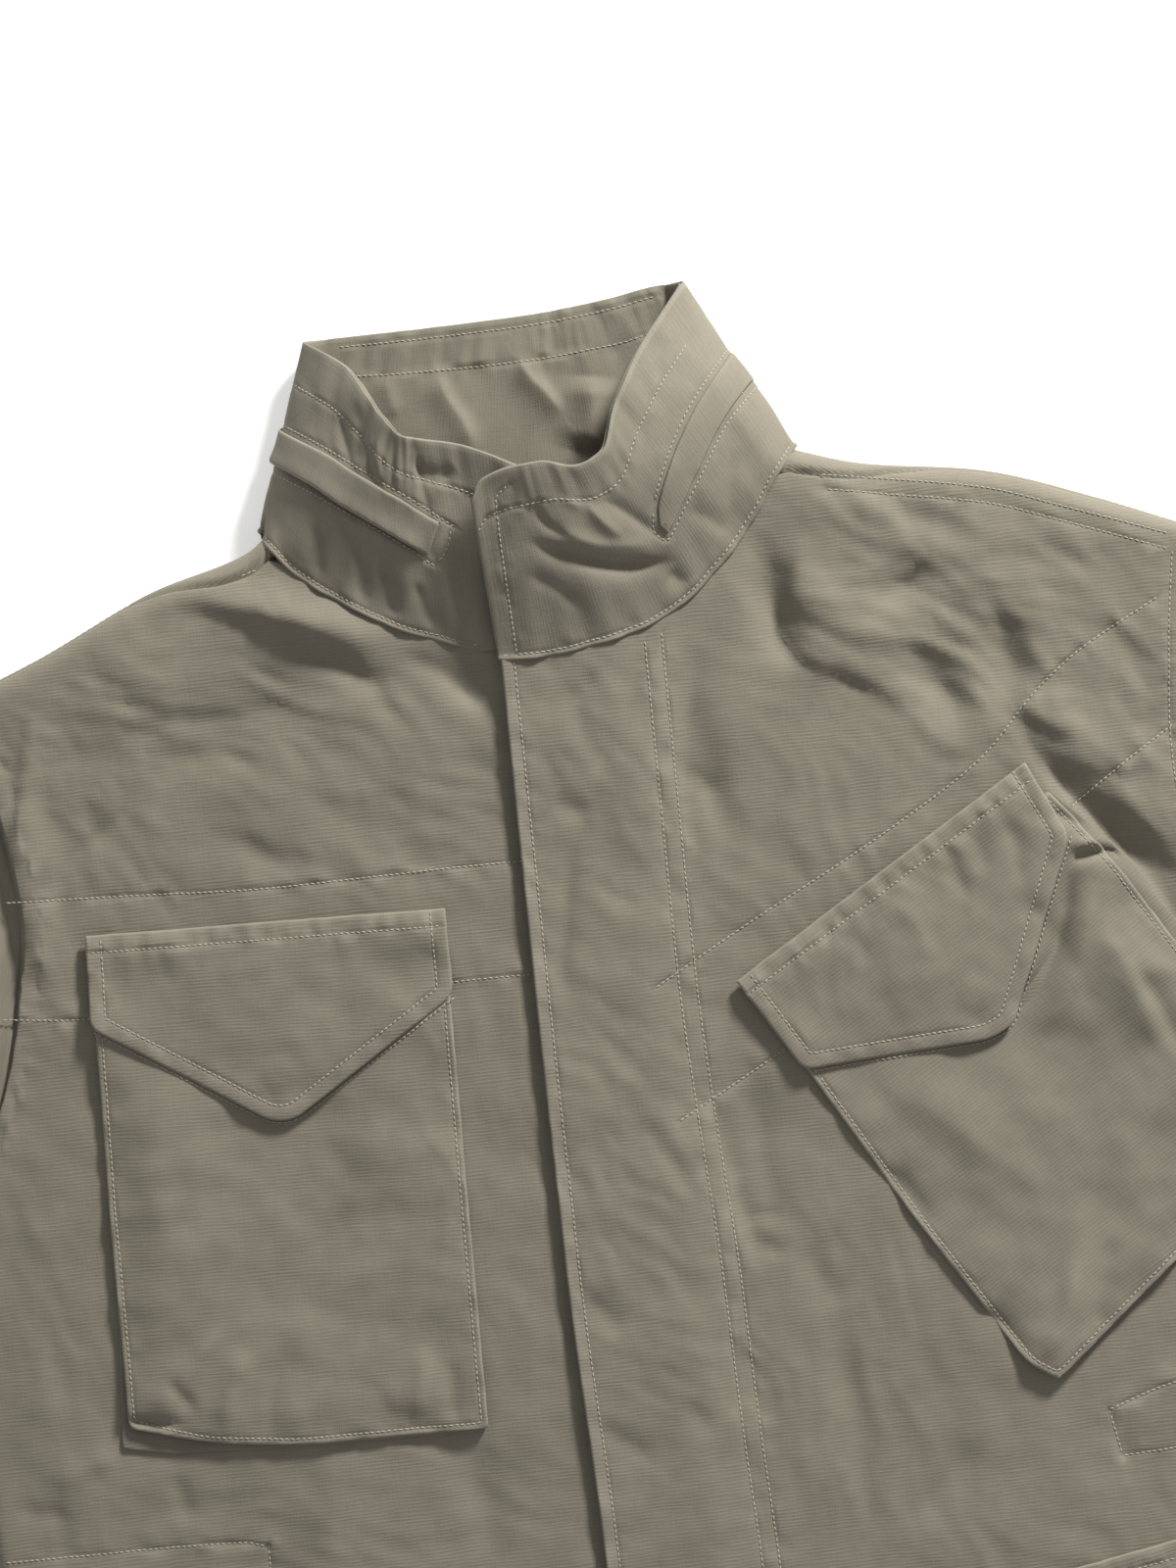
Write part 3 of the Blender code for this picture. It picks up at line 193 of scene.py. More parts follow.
# Where the shoulder seam lies below the silhouette. Columns: distance from the neck, drop.
SHOULDER_SEAM_DROP = ((0.0, 12.0), (22.0, 9.0), (42.0, 4.0), (66.0, 1.0), (180.0, 1.0))

# The sleeve from armhole to cuff. Columns: share of its length, height.
SLEEVE_HEIGHTS = ((0.0, 15.0), (0.12, 19.0), (0.3, 18.0), (0.55, 15.0), (0.8, 12.0), (1.0, CUFF_HEIGHT))
# How a sleeve leaves the armhole, at the shoulder and at the underarm. Columns: degrees below the
# horizontal, pull.
SLEEVE_LEAVES = ((22.0, 450.0), (40.0, 230.0))
CUFF_PULL = 500.0
SLEEVE_BLEND = 0.14  # share of its length over which a sleeve takes up the body's height
SLEEVE_EDGE = 24.0  # folds fade out this near a sleeve's edges
# The sleeve's largest folds, in its own frame. Columns: distance down it, distance across it from the
# outer edge, direction in degrees from across, length, width, height, bend.
SLEEVE_FOLDS = (
    (70.0, 150.0, 24.0, 170.0, 13.0, -5.0, 6.0),
    (118.0, 120.0, 18.0, 190.0, 15.0, 5.0, 8.0),
    (165.0, 150.0, -14.0, 150.0, 14.0, -5.0, 0.0),
    (232.0, 90.0, 28.0, 150.0, 14.0, 4.5, 5.0),
    (285.0, 130.0, -20.0, 120.0, 13.0, -4.5, 0.0),
    (340.0, 80.0, 12.0, 150.0, 16.0, 4.0, 6.0),
    (395.0, 95.0, -24.0, 120.0, 12.0, -4.0, 0.0),
    (455.0, 70.0, 16.0, 120.0, 14.0, 3.5, 0.0),
    (520.0, 75.0, -12.0, 90.0, 12.0, -2.5, 0.0),
)

# Pocket pieces in the pocket's own frame, from the flap's top corner nearest the centre of the frame's
# left. Columns: across, down.
CHEST_FLAPS = {
    "right": ((0.0, 0.0), (POCKET_WIDTH, 0.0), (165.5, 40.0), (89.0, 91.0), (78.0, 91.0), (-0.6, 42.0)),
    "left": ((0.0, 0.0), (POCKET_WIDTH, 0.0), (161.5, 38.0), (89.0, 92.5), (76.5, 91.5), (0.0, 51.0)),
}
CHEST_POUCHES = {
    "right": (
        (1.5, 17.0), (164.0, 17.0), (164.5, 120.0), (166.0, 239.0), (80.0, 240.0), (38.0, 236.0),
        (2.0, 226.0), (0.5, 120.0),
    ),
    "left": (
        (2.0, 17.0), (166.0, 17.0), (171.0, 62.0), (171.5, 107.0), (170.0, 213.0), (82.5, 223.5),
        (44.0, 229.5), (7.5, 234.5), (0.7, 220.0), (-0.7, 140.0),
    ),
}
CHEST_GUSSETS = {
    "right": (
        (-2.5, 60.0), (-6.0, 150.0), (-8.0, 236.0), (20.0, 240.0), (90.0, 241.0), (165.0, 240.5),
        (164.0, 230.0), (90.0, 229.0), (14.0, 222.0), (10.0, 150.0), (8.0, 60.0),
    ),
    "left": (
        (161.0, 22.0), (167.5, 17.0), (174.0, 44.0), (178.0, 66.0), (178.5, 110.0), (175.0, 211.0),
        (82.0, 221.0), (44.0, 226.5), (14.0, 230.0), (14.0, 219.0), (82.0, 211.0), (160.0, 202.0),
        (163.0, 110.0), (163.0, 66.0),
    ),
}
# How a chest pocket stands off. Columns: across at its loose side, direction inwards from there, how
# far down it has risen, slant of its foot.
CHEST_STAND = {"right": (0.0, 1.0, 90.0, 0.0), "left": (171.0, -1.0, 40.0, 0.13)}
LOWER_FLAP = (
    (0.0, 0.0), (LOWER_FLAP_WIDTH, 0.0), (LOWER_FLAP_WIDTH, 58.0), (LOWER_FLAP_WIDTH / 2, 74.0),
    (0.0, 58.0),
)
# Where pockets are sewn. Columns: name, x and y of the corner, angle in degrees.
CHEST_PLACES = (
    ("right", -237.0, -103.0, -2.0),
    ("left", 56.0, -157.0, 30.7),
)
LOWER_PLACES = (
    ("right", -270.0, -440.0, 0.0),
    ("left", 80.0, -459.0, 9.5),
)


# Creases and folds of the fronts, finer than the CAD's. Columns: height, width to the left of its
# direction, width to the right, then its points as x, y.
FRONT_CREASES = (
    (
        2.8, 12.0, 3.4, (108, 43), (104, 24), (98, 2), (98, -5), (108, -14), (130, -27), (139, -32),
        (150, -46),
    ),
    (-1.6, 7.0, 9.0, (158, -24), (166, -36), (172, -52)),
    (-1.9, 2.4, 4.5, (166, 31), (150, 21), (133, 16)),
    (1.8, 6.0, 2.6, (128, 17), (142, 18), (156, 22), (166, 30), (172, 44)),
    (1.6, 3.0, 7.0, (109, 66), (122, 54), (134, 40), (150, 32)),
    (-1.8, 8.0, 6.0, (150, 50), (164, 42), (182, 37)),
    (-1.6, 6.0, 9.0, (184, -4), (198, -14), (199, -44)),
    (-1.3, 3.0, 5.0, (214, 28), (226, 19), (238, 11)),
    (-2.0, 3.5, 7.0, (194, -50), (206, -58), (221, -69)),
    (-1.4, 4.0, 7.0, (240, -12), (250, -25), (262, -38)),
    (-1.5, 4.0, 5.0, (254, -56), (258, -70)),
    (1.4, 5.0, 8.0, (170, 12), (186, 12), (206, 4), (222, -10)),
    (-4.6, 12.0, 3.5, (199, -60), (214, -84), (228, -101), (244, -123), (258, -146), (266, -170)),
    (2.0, 5.0, 7.0, (212, -66), (232, -82), (250, -104), (264, -128)),
    (-1.8, 3.0, 7.0, (222, -78), (238, -84), (256, -84)),
    (-1.6, 4.0, 3.0, (94, -4), (99, -15)),
    (-1.3, 4.0, 5.0, (112, -19), (122, -26), (134, -33)),
    (1.4, 5.0, 4.0, (206, -18), (214, -34), (216, -52)),
    (-1.1, 4.0, 4.0, (150, -92), (160, -78), (168, -62)),
    (-1.2, 5.0, 6.0, (-164, -66), (-150, -76), (-132, -84)),
    (1.6, 6.0, 5.0, (120, 2), (135, -6), (152, -10), (170, -12)),
    (3.2, 11.0, 4.5, (-192, 53), (-160, 42), (-137, 33), (-118, 23), (-99, 10), (-86, -8), (-79, -21)),
    (-1.0, 3.0, 6.0, (-182, 42), (-150, 29), (-126, 20), (-104, 6)),
    (-1.2, 3.0, 5.0, (-93, 4), (-88, -12), (-78, -28)),
    (-2.4, 4.0, 6.0, (-78, 9), (-60, -2), (-51, -12), (-45, -20)),
    (-1.0, 6.0, 7.0, (-56, -39), (-46, -47), (-36, -53)),
    (-1.2, 4.0, 8.0, (-221, -22), (-202, -13), (-183, -10), (-162, -11), (-138, -9), (-120, -5)),
    (-0.9, 6.0, 8.0, (-195, -26), (-171, -27), (-148, -37)),
    (-1.4, 5.0, 3.0, (-196, -27), (-214, -50), (-239, -68), (-255, -106)),
    (-0.9, 7.0, 8.0, (-127, -52), (-108, -65), (-86, -77), (-75, -88)),
    (-1.2, 3.0, 4.0, (-210, 1), (-190, -3)),
    (2.4, 10.0, 3.0, (-248, 4), (-256, -26), (-262, -56), (-264, -80)),
    (-2.0, 4.0, 5.0, (33, 1), (19, -30), (8, -46), (-1, -60)),
    (-1.8, 4.0, 6.0, (-5, -78), (-11, -91), (-16, -105), (-19, -125), (-23, -144), (-19, -157)),
    (-1.2, 2.5, 4.0, (9, -10), (-4, -23)),
    (-1.2, 3.0, 5.0, (-3, -103), (5, -112), (18, -118)),
    (-1.3, 4.0, 6.0, (-19, -65), (-10, -70), (-2, -73)),
    (-2.3, 6.0, 4.0, (64, 3), (55, -11), (48, -30), (43, -54), (44, -70), (43, -91), (43, -110)),
    (-1.3, 4.0, 4.0, (45, -58), (57, -72)),
    (-2.1, 6.0, 4.0, (41, -211), (44, -243), (48, -266), (53, -279), (73, -284)),
    (-1.1, 3.0, 3.0, (48, -265), (65, -266)),
    (-1.9, 8.0, 8.0, (70, -283), (80, -297), (90, -311)),
    (-1.3, 5.0, 6.0, (6, -213), (15, -232), (25, -252)),
    (-1.3, 4.0, 5.0, (-29, -290), (-21, -301), (-13, -312)),
    (-1.3, 4.0, 5.0, (-29, -353), (-18, -361), (-8, -370)),
    (-1.0, 5.0, 5.0, (12, -346), (22, -362)),
    (-1.6, 7.0, 8.0, (87, -322), (88, -366), (89, -421)),
    (-1.5, 7.0, 8.0, (142, -381), (126, -398), (110, -416)),
    (1.6, 5.0, 5.0, (-280, -351), (-266, -346), (-251, -341)),
    (-1.8, 4.0, 5.0, (-300, -361), (-288, -365), (-276, -367)),
    (-1.5, 4.0, 5.0, (-225, -352), (-221, -376)),
    (1.3, 10.0, 8.0, (-150, -352), (-158, -392), (-150, -440)),
    (-1.6, 9.0, 10.0, (-92, -352), (-84, -400), (-92, -450)),
    (1.6, 12.0, 9.0, (160, -430), (172, -500), (168, -570)),
    (-2.0, 10.0, 12.0, (92, -450), (104, -520), (96, -600)),
    (-1.8, 9.0, 12.0, (250, -430), (262, -500), (252, -560)),
    (-2.0, 12.0, 10.0, (-180, -470), (-172, -540), (-182, -620)),
    (1.8, 12.0, 9.0, (-110, -480), (-118, -560), (-108, -640)),
    (-1.8, 9.0, 12.0, (-268, -420), (-274, -500), (-264, -580)),
    (-1.4, 5.0, 6.0, (-24, -470), (-8, -486), (10, -494)),
    (-1.4, 5.0, 6.0, (-26, -575), (-10, -590), (8, -598)),
)
CREASE_GAIN = 1.05  # the creases' heights are multiplied by this
POCKET_GAIN = 1.6  # and those on the pockets by this too
WRINKLE_GAIN = 0.8
RIGHT_SOFTER = 0.5  # share by which the largest folds of the wearer's right shoulder are filled
# Fields of small creases on the fronts. Columns: x, y, reach across, reach down, direction in degrees,
# length, spacing, height.
FRONT_WRINKLES = (
    (-170.0, -10.0, 110.0, 60.0, -24.0, 60.0, 15.0, 1.5),
    (-90.0, -60.0, 70.0, 50.0, -38.0, 44.0, 12.0, 1.2),
    (-240.0, -60.0, 60.0, 90.0, -70.0, 50.0, 13.0, 1.4),
    (0.0, -60.0, 34.0, 70.0, -62.0, 38.0, 11.0, 1.3),
    (0.0, -250.0, 34.0, 130.0, -52.0, 40.0, 12.0, 1.3),
    (0.0, -480.0, 34.0, 150.0, 30.0, 44.0, 13.0, 1.0),
    (150.0, 10.0, 80.0, 60.0, -30.0, 46.0, 12.0, 1.7),
    (215.0, -30.0, 80.0, 60.0, -50.0, 46.0, 12.0, 1.7),
    (90.0, -110.0, 70.0, 70.0, -72.0, 50.0, 14.0, 1.1),
    (280.0, -110.0, 60.0, 80.0, -40.0, 46.0, 12.0, 1.5),
    (80.0, -330.0, 60.0, 110.0, -78.0, 60.0, 16.0, 1.3),
    (-60.0, -220.0, 40.0, 120.0, -84.0, 60.0, 15.0, 1.0),
    (-150.0, -390.0, 150.0, 50.0, -20.0, 60.0, 16.0, 1.1),
    (-180.0, -540.0, 140.0, 110.0, -74.0, 70.0, 20.0, 1.5),
    (180.0, -520.0, 150.0, 130.0, -66.0, 70.0, 19.0, 1.5),
    (-280.0, -300.0, 40.0, 120.0, -80.0, 60.0, 15.0, 1.2),
    (310.0, -330.0, 50.0, 120.0, -76.0, 60.0, 15.0, 1.3),
)
# Creases of the collar. Columns as above; points as share of its length, share of its height.
COLLAR_CREASES = (
    (-3.4, 4.5, 3.4, (0.955, 0.60), (0.93, 0.52), (0.905, 0.445), (0.8733, 0.355), (0.839, 0.245)),
    (1.2, 5.0, 4.0, (0.925, 0.66), (0.90, 0.56), (0.87, 0.49), (0.845, 0.38)),
    (-1.5, 3.5, 4.5, (0.870, 0.80), (0.859, 0.70), (0.848, 0.565), (0.836, 0.395)),
    (1.5, 4.5, 4.0, (0.886, 0.80), (0.876, 0.66), (0.866, 0.52)),
    (-1.2, 3.5, 3.5, (0.945, 0.78), (0.935, 0.68), (0.915, 0.60)),
    (-1.1, 4.0, 4.0, (0.965, 0.44), (0.945, 0.36), (0.925, 0.20)),
    (-1.2, 4.0, 5.0, (0.80, 0.34), (0.79, 0.20), (0.785, 0.06)),
    (-1.2, 4.0, 4.0, (0.845, 0.20), (0.84, 0.12), (0.835, 0.05)),
    (-2.4, 4.5, 4.5, (0.1075, 0.875), (0.0892, 0.835), (0.0758, 0.84), (0.062, 0.885)),
    (-1.0, 3.5, 3.5, (0.195, 0.86), (0.183, 0.75), (0.168, 0.68)),
    (0.7, 4.0, 4.0, (0.178, 0.90), (0.168, 0.80), (0.155, 0.73)),
    (-1.5, 3.5, 4.0, (0.219, 0.80), (0.208, 0.70), (0.197, 0.65)),
    (-1.7, 3.5, 4.5, (0.212, 0.30), (0.205, 0.16), (0.20, 0.04)),
    (-1.6, 3.5, 4.5, (0.176, 0.34), (0.165, 0.18), (0.16, 0.04)),
    (-1.6, 4.0, 4.5, (0.146, 0.30), (0.138, 0.16), (0.132, 0.04)),
    (-1.4, 3.5, 4.0, (0.112, 0.28), (0.106, 0.14), (0.10, 0.04)),
    (-2.4, 3.5, 8.0, (0.392, 0.79), (0.402, 0.66), (0.422, 0.50), (0.432, 0.36)),
    (-2.8, 3.5, 8.0, (0.470, 0.80), (0.484, 0.70), (0.502, 0.60), (0.514, 0.50)),
    (-1.4, 4.0, 6.0, (0.345, 0.78), (0.352, 0.68), (0.362, 0.56)),
    (-6.0, 13.0, 12.0, (0.550, 0.66), (0.545, 0.46), (0.535, 0.28)),
    (-1.2, 5.0, 5.0, (0.10, 0.92), (0.096, 0.76), (0.09, 0.62)),
    (-1.1, 4.0, 4.0, (0.205, 0.94), (0.20, 0.80), (0.195, 0.68)),
    (-1.2, 6.0, 6.0, (0.74, 0.30), (0.765, 0.18), (0.785, 0.06)),
)
# The hood-opening welt as it shows. Columns: share of the collar's length and of its height on the
# welt's upper edge, and on its lower edge.
WELT_ROWS = (
    (0.0825, 0.610, 0.0985, 0.435), (0.1075, 0.655, 0.124, 0.472), (0.140, 0.690, 0.150, 0.490),
    (0.175, 0.672, 0.178, 0.475), (0.2017, 0.630, 0.2025, 0.450), (0.225, 0.590, 0.2245, 0.423),
    (0.245, 0.562, 0.245, 0.395), (0.2675, 0.545, 0.2685, 0.368), (0.31, 0.56, 0.31, 0.38),
    (0.40, 0.59, 0.40, 0.41), (0.50, 0.60, 0.50, 0.42), (0.60, 0.59, 0.60, 0.41),
    (0.690, 0.575, 0.690, 0.395), (0.7217, 0.580, 0.720, 0.410), (0.745, 0.586, 0.742, 0.418),
    (0.775, 0.575, 0.772, 0.405), (0.8025, 0.545, 0.798, 0.388), (0.8208, 0.510, 0.816, 0.372),
    (0.8305, 0.440, 0.8275, 0.368),
)
# Creases of the sleeves. Points as distance down the sleeve, distance across it from its outer edge.
SLEEVE_CREASES = (
    (2.4, 9.0, 4.0, (18, 40), (48, 78), (62, 130), (58, 178)),
    (-2.4, 4.0, 8.0, (30, 36), (66, 84), (80, 140)),
    (1.8, 8.0, 5.0, (96, 60), (120, 104), (128, 150)),
    (-2.2, 5.0, 8.0, (140, 176), (152, 130), (176, 84), (196, 60)),
    (2.0, 8.0, 4.0, (206, 168), (214, 124), (236, 80)),
    (-2.2, 4.0, 7.0, (262, 150), (274, 110), (300, 66)),
    (1.8, 7.0, 4.0, (318, 140), (322, 100), (346, 56)),
    (-1.8, 5.0, 7.0, (372, 44), (384, 84), (380, 122)),
    (1.6, 6.0, 4.0, (430, 36), (440, 72), (436, 112)),
    (-1.8, 4.0, 6.0, (486, 110), (496, 72), (516, 40)),
    (1.3, 5.0, 4.0, (556, 30), (562, 66), (558, 100)),
)
# Creases on the pockets and flaps, in the jacket's frame.
POCKET_CREASES = {
    "right": (
        (-1.7, 2.0, 2.2, (-245, -325), (-232, -328), (-219, -329)),
        (-1.0, 3.0, 3.5, (-222, -309), (-217, -317), (-212, -324)),
        (1.5, 5.0, 4.0, (-229, -331), (-212, -306), (-196, -288)),
        (1.2, 5.0, 5.0, (-200, -336), (-194, -316), (-184, -300)),
        (-0.6, 4.0, 5.0, (-180, -340), (-176, -322), (-170, -308)),
        (-0.7, 4.0, 4.0, (-93, -314), (-94, -329), (-93, -344)),
        (-0.5, 5.0, 5.0, (-131, -318), (-126, -330), (-120, -342)),
        (1.0, 5.0, 5.0, (-112, -342), (-108, -324), (-104, -306)),
        (0.5, 9.0, 9.0, (-214, -196), (-218, -236), (-212, -280)),
        (-1.0, 12.0, 12.0, (-120, -210), (-140, -240), (-150, -280)),
        (-0.5, 5.0, 5.0, (-205, -108), (-203, -118), (-200, -132)),
        (-0.5, 5.0, 5.0, (-120, -108), (-124, -122), (-128, -134)),
    ),
    "left": (
        (-2.2, 4.0, 3.0, (214, -124), (209, -142), (203, -158), (194, -172), (181, -185)),
        (1.3, 5.0, 6.0, (224, -130), (217, -150), (212, -168), (203, -184), (193, -199)),
        (1.7, 3.0, 2.6, (213, -113), (222, -112), (232, -113), (240, -119)),
        (-2.0, 1.8, 2.4, (214, -119), (224, -117), (233, -118), (239, -124)),
        (-1.0, 2.0, 3.0, (208, -96), (216, -101), (222, -106)),
        (-1.2, 4.0, 5.0, (150, -100), (160, -114), (164, -134)),
        (0.8, 6.0, 6.0, (128, -122), (140, -142), (146, -160)),
        (-0.9, 5.0, 4.0, (184, -96), (190, -112), (190, -130)),
        (-0.7, 12.0, 10.0, (96, -204), (128, -232), (158, -268)),
        (0.9, 10.0, 9.0, (118, -212), (152, -238), (186, -270)),
        (-0.7, 6.0, 7.0, (186, -128), (206, -158), (220, -196)),
        (-1.4, 5.0, 5.0, (150, -318), (162, -330), (172, -345)),
        (1.4, 5.0, 4.0, (176, -346), (188, -326), (196, -300)),
        (-1.2, 5.0, 6.0, (198, -340), (206, -318), (214, -292)),
        (-1.2, 5.0, 5.0, (112, -248), (124, -262), (134, -280)),
        (-1.4, 5.0, 5.0, (236, -170), (248, -190), (256, -216)),
        (1.2, 6.0, 6.0, (222, -150), (236, -176), (244, -208)),
        (-0.9, 5.0, 5.0, (104, -134), (112, -144), (118, -158)),
        (-0.9, 5.0, 5.0, (166, -98), (172, -108), (174, -122)),
    ),
}

# Stitched lines of the fronts. Columns: kind, then points as x, y.
LEFT_LINES = (
    (
        "double", (32, 2), (31, -64), (30, -154), (32, -222), (35, -290), (36, -358), (38, -426), (39, -520),
        (39, -668),
    ),
    (
        "double", (40, 5), (39, -65), (38, -155), (40, -223), (43, -291), (44, -359), (46, -426), (47, -520),
        (47, -668),
    ),
    ("band", (19, -156), (62, -133), (130, -98), (178, -69), (209, -39), (228, -25), (268, -4)),
    ("band", (23, -218), (67, -195), (146, -148), (223, -92), (245, -77), (270, -62)),
    ("band", (204, -372), (235, -363), (328, -352)),
    ("band", (208, -394), (231, -393), (330, -384)),
    ("band", (204, -372), (208, -394)),
    ("double", (120, 68), (148, 63), (175, 58), (197, 53), (227, 42), (277, 23)),
    ("double", (122, 61), (148, 56), (175, 51), (197, 46), (227, 35), (276, 16)),
    ("double", (276, 16), (270, -25), (266, -80), (271, -130), (286, -182), (314, -232)),
)
RIGHT_LINES = (
    ("band", (-272, -84), (-217, -87), (-140, -91), (-73, -91), (6, -93)),
    ("band", (-280, -137), (-242, -141), (-150, -143), (-70, -143), (6, -145)),
    ("band", (-307, -385), (-251, -386), (-197, -388), (-186, -391)),
    ("band", (-307, -408), (-251, -408), (-188, -410)),
    ("band", (-186, -390), (-187, -410)),
    ("double", (-140, 54), (-150, 51)),
    ("sewn", (-271, 2), (-262, -45), (-257, -90), (-264, -135), (-281, -182), (-308, -231)),
)
# Bar tacks at the openings of the waist's drawcord tunnel: x, y, degrees, length.
FRONT_TACKS = {"right": (-186.5, -400.0, 90.0, 20.0), "left": (206.0, -383.0, 80.0, 22.0)}
HEM_STITCH = 22.0  # the hem's stitching above its edge
# How a seam shows. Columns: kind, groove's depth, pucker's height, pucker's length, reach to each side.
SEAM_KINDS = {
    "double": (0.45, 0.60, 8.0, 6.0),
    "band": (0.45, 0.70, 10.0, 8.0),
    "edge": (0.40, 0.50, 7.0, 5.0),
    "top": (0.55, 0.80, 8.0, 7.0),
    "sewn": (0.0, 0.55, 9.0, 9.0),
    "neck": (0.0, 0.25, 14.0, 8.0),
}

# Where the shoulder seams have points, across.
SEAM_X = {"right": np.linspace(-135.5, -279.0, 50), "left": np.linspace(106.5, 284.0, 60)}
SEAM_NECK_X = {"right": -134.0, "left": 104.5}


def smooth_rows(rows, shares):
    """Rows of a table read as one smooth curve, at shares 0 to 1 of the way along it.

    It never overshoots a row, so cloth that lies flat between two rows stays flat."""
    rows = np.asarray(rows, float)
    steps = np.linalg.norm(np.diff(rows[:, :2], axis=0), axis=1)
    at = np.concatenate([[0.0], np.cumsum(np.maximum(steps, 1e-6))])
    at /= at[-1]
    secants = np.diff(rows, axis=0) / np.diff(at)[:, None]
    slopes = np.concatenate([secants[:1], np.zeros_like(secants[1:]), secants[-1:]])
    same = secants[:-1] * secants[1:] > 0
    mean = 2 * secants[:-1] * secants[1:] / np.where(same, secants[:-1] + secants[1:], 1.0)
    slopes[1:-1] = np.where(same, mean, 0.0)
    shares = np.clip(np.asarray(shares, float), 0.0, 1.0)
    first = np.clip(np.searchsorted(at, shares, side="right") - 1, 0, len(rows) - 2)
    span = (at[first + 1] - at[first])[:, None]
    t = (shares[:, None] - at[first][:, None]) / span
    return (
        (2 * t**3 - 3 * t**2 + 1) * rows[first]
        + (t**3 - 2 * t**2 + t) * span * slopes[first]
        + (3 * t**2 - 2 * t**3) * rows[first + 1]
        + (t**3 - t**2) * span * slopes[first + 1]
    )


def smooth_line(rows, spacing):
    """The smooth curve through the rows, with a point about every spacing mm."""
    rows = np.asarray(rows, float)
    length = np.linalg.norm(np.diff(rows, axis=0), axis=1).sum()
    return smooth_rows(rows, np.linspace(0.0, 1.0, max(2, int(round(length / spacing)) + 1)))


def straight_line(rows, spacing):
    """Straight runs between the rows, with a point about every spacing mm."""
    points = []
    for start, end in zip(np.asarray(rows[:-1], float), np.asarray(rows[1:], float)):
        count = max(1, int(round(np.linalg.norm(end - start) / spacing)))
        points.extend(start + (end - start) * k / count for k in range(count))
    points.append(np.asarray(rows[-1], float))
    return np.array(points)


def between(rows, where, column):
    """A table's column, read at a value of its first column."""
    rows = np.asarray(rows, float)
    order = np.argsort(rows[:, 0])
    return np.interp(where, rows[order, 0], rows[order, column])


def ease(value):
    """A smooth step from 0 to 1."""
    value = np.clip(value, 0.0, 1.0)
    return value * value * (3.0 - 2.0 * value)


def bell(value, power=2):
    """A bell curve, 1 at 0 and falling to both sides, more squarely the larger the power."""
    return np.exp(-(value**power))


def heading(degrees):
    """(x, y) of a unit step in a direction."""
    return math.cos(math.radians(degrees)), math.sin(math.radians(degrees))


def unit(rows):
    """Rows of directions, each made 1 long."""
    return rows / np.linalg.norm(rows, axis=1)[:, None]


def fold_heights(x, y, folds):
    """Sum of soft ridges and troughs, each with its own place, direction, length, width and height."""
    total = np.zeros(np.shape(x))
    for fold_x, fold_y, degrees, length, width, height, bend in folds:
        along_x, along_y = heading(degrees)
        along = (x - fold_x) * along_x + (y - fold_y) * along_y
        across = (y - fold_y) * along_x - (x - fold_x) * along_y
        share = np.clip(along / (length / 2), -1.0, 1.0)
        across = across - bend * (1.0 - share**2)
        fade = np.cos(share * math.pi / 2) ** 2
        total = total + height * fade * bell(across / width)
    return total


def silhouette_y(x):
    """The shoulders' silhouette above each x."""
    left = smooth_rows(SHOULDER_LEFT, np.linspace(0, 1, 60))
    right = smooth_rows(SHOULDER_RIGHT, np.linspace(0, 1, 60))
    line = np.concatenate([right[::-1], left])
    return np.interp(x, line[:, 0], line[:, 1])


def side_x(y, left):
    """Distance from the centre line to the side seam, at each y below the underarm."""
    return np.where(left, between(BODY_SIDES, y, 2), between(BODY_SIDES, y, 1))


def inside_side(x, y):
    """Distance in from the side seam."""
    return side_x(y, x > 0) - np.abs(x)


def side_gap(x, y):
    """Distance in from the side seam where the cloth turns over there, and far elsewhere."""
    return np.where(y < SIDES_START, inside_side(x, y), NO_EDGE)


def shoulder_gap(x, y):
    """Distance down from the shoulder's silhouette where the cloth turns over there, and far elsewhere."""
    return np.where(np.abs(x) > SHOULDER_START, silhouette_y(x) - y, NO_EDGE)


def rise(distance, radius):
    """Quarter-round profile: 0 at an edge, 1 from radius inwards."""
    t = np.clip(distance / radius, 0.0, 1.0)
    return np.sqrt(np.maximum(1.0 - (1.0 - t) ** 2, 0.0))


def base_height(x, y):
    """Outer surface of the fronts without folds and without the turn at their edges."""
    centre = between(BODY_HEIGHTS, y, 1)
    side = between(BODY_HEIGHTS, y, 2)
    share = np.clip(np.abs(x) / BODY_HALF_WIDTH, 0.0, 1.0) ** 2
    return centre + (side - centre) * share


def edge_radius(x, y):
    """Half the body's thickness where the cloth turns over at the side or the shoulder."""
    return base_height(x, np.where(np.abs(x) > OUTSIDE_NECK, np.minimum(y, silhouette_y(x)), y)) / 2


def shoulder_drop(x):
    """How far the shoulder seam lies below the silhouette."""
    neck = np.where(x > 0, SHOULDER_NECK["left"], SHOULDER_NECK["right"])
    return between(SHOULDER_SEAM_DROP, np.abs(x) - neck, 1)


def body_edges(x, y):
    """(height share, radius) of the turn at the silhouette: 0 on it, 1 away from it."""
    radius = edge_radius(x, y)
    return rise(side_gap(x, y), radius) * rise(shoulder_gap(x, y), radius), radius


def edge_direction(x, y, facing):
    """Outward directions where a panel turns over at the silhouette, as rows, zero away from it.

    facing is 1 on the fronts and -1 on the back."""
    radius = edge_radius(x, y)
    out_x = np.sign(x) * np.clip(1.0 - side_gap(x, y) / radius, 0.0, 1.0)
    out_y = np.clip(1.0 - shoulder_gap(x, y) / radius, 0.0, 1.0)
    flat_part = np.hypot(out_x, out_y)
    up = np.sqrt(np.clip(1.0 - flat_part**2, 0.0, 1.0)) * facing
    rows = np.stack([out_x, out_y, up], axis=1)
    return np.where(flat_part[:, None] > 0, rows, 0.0)


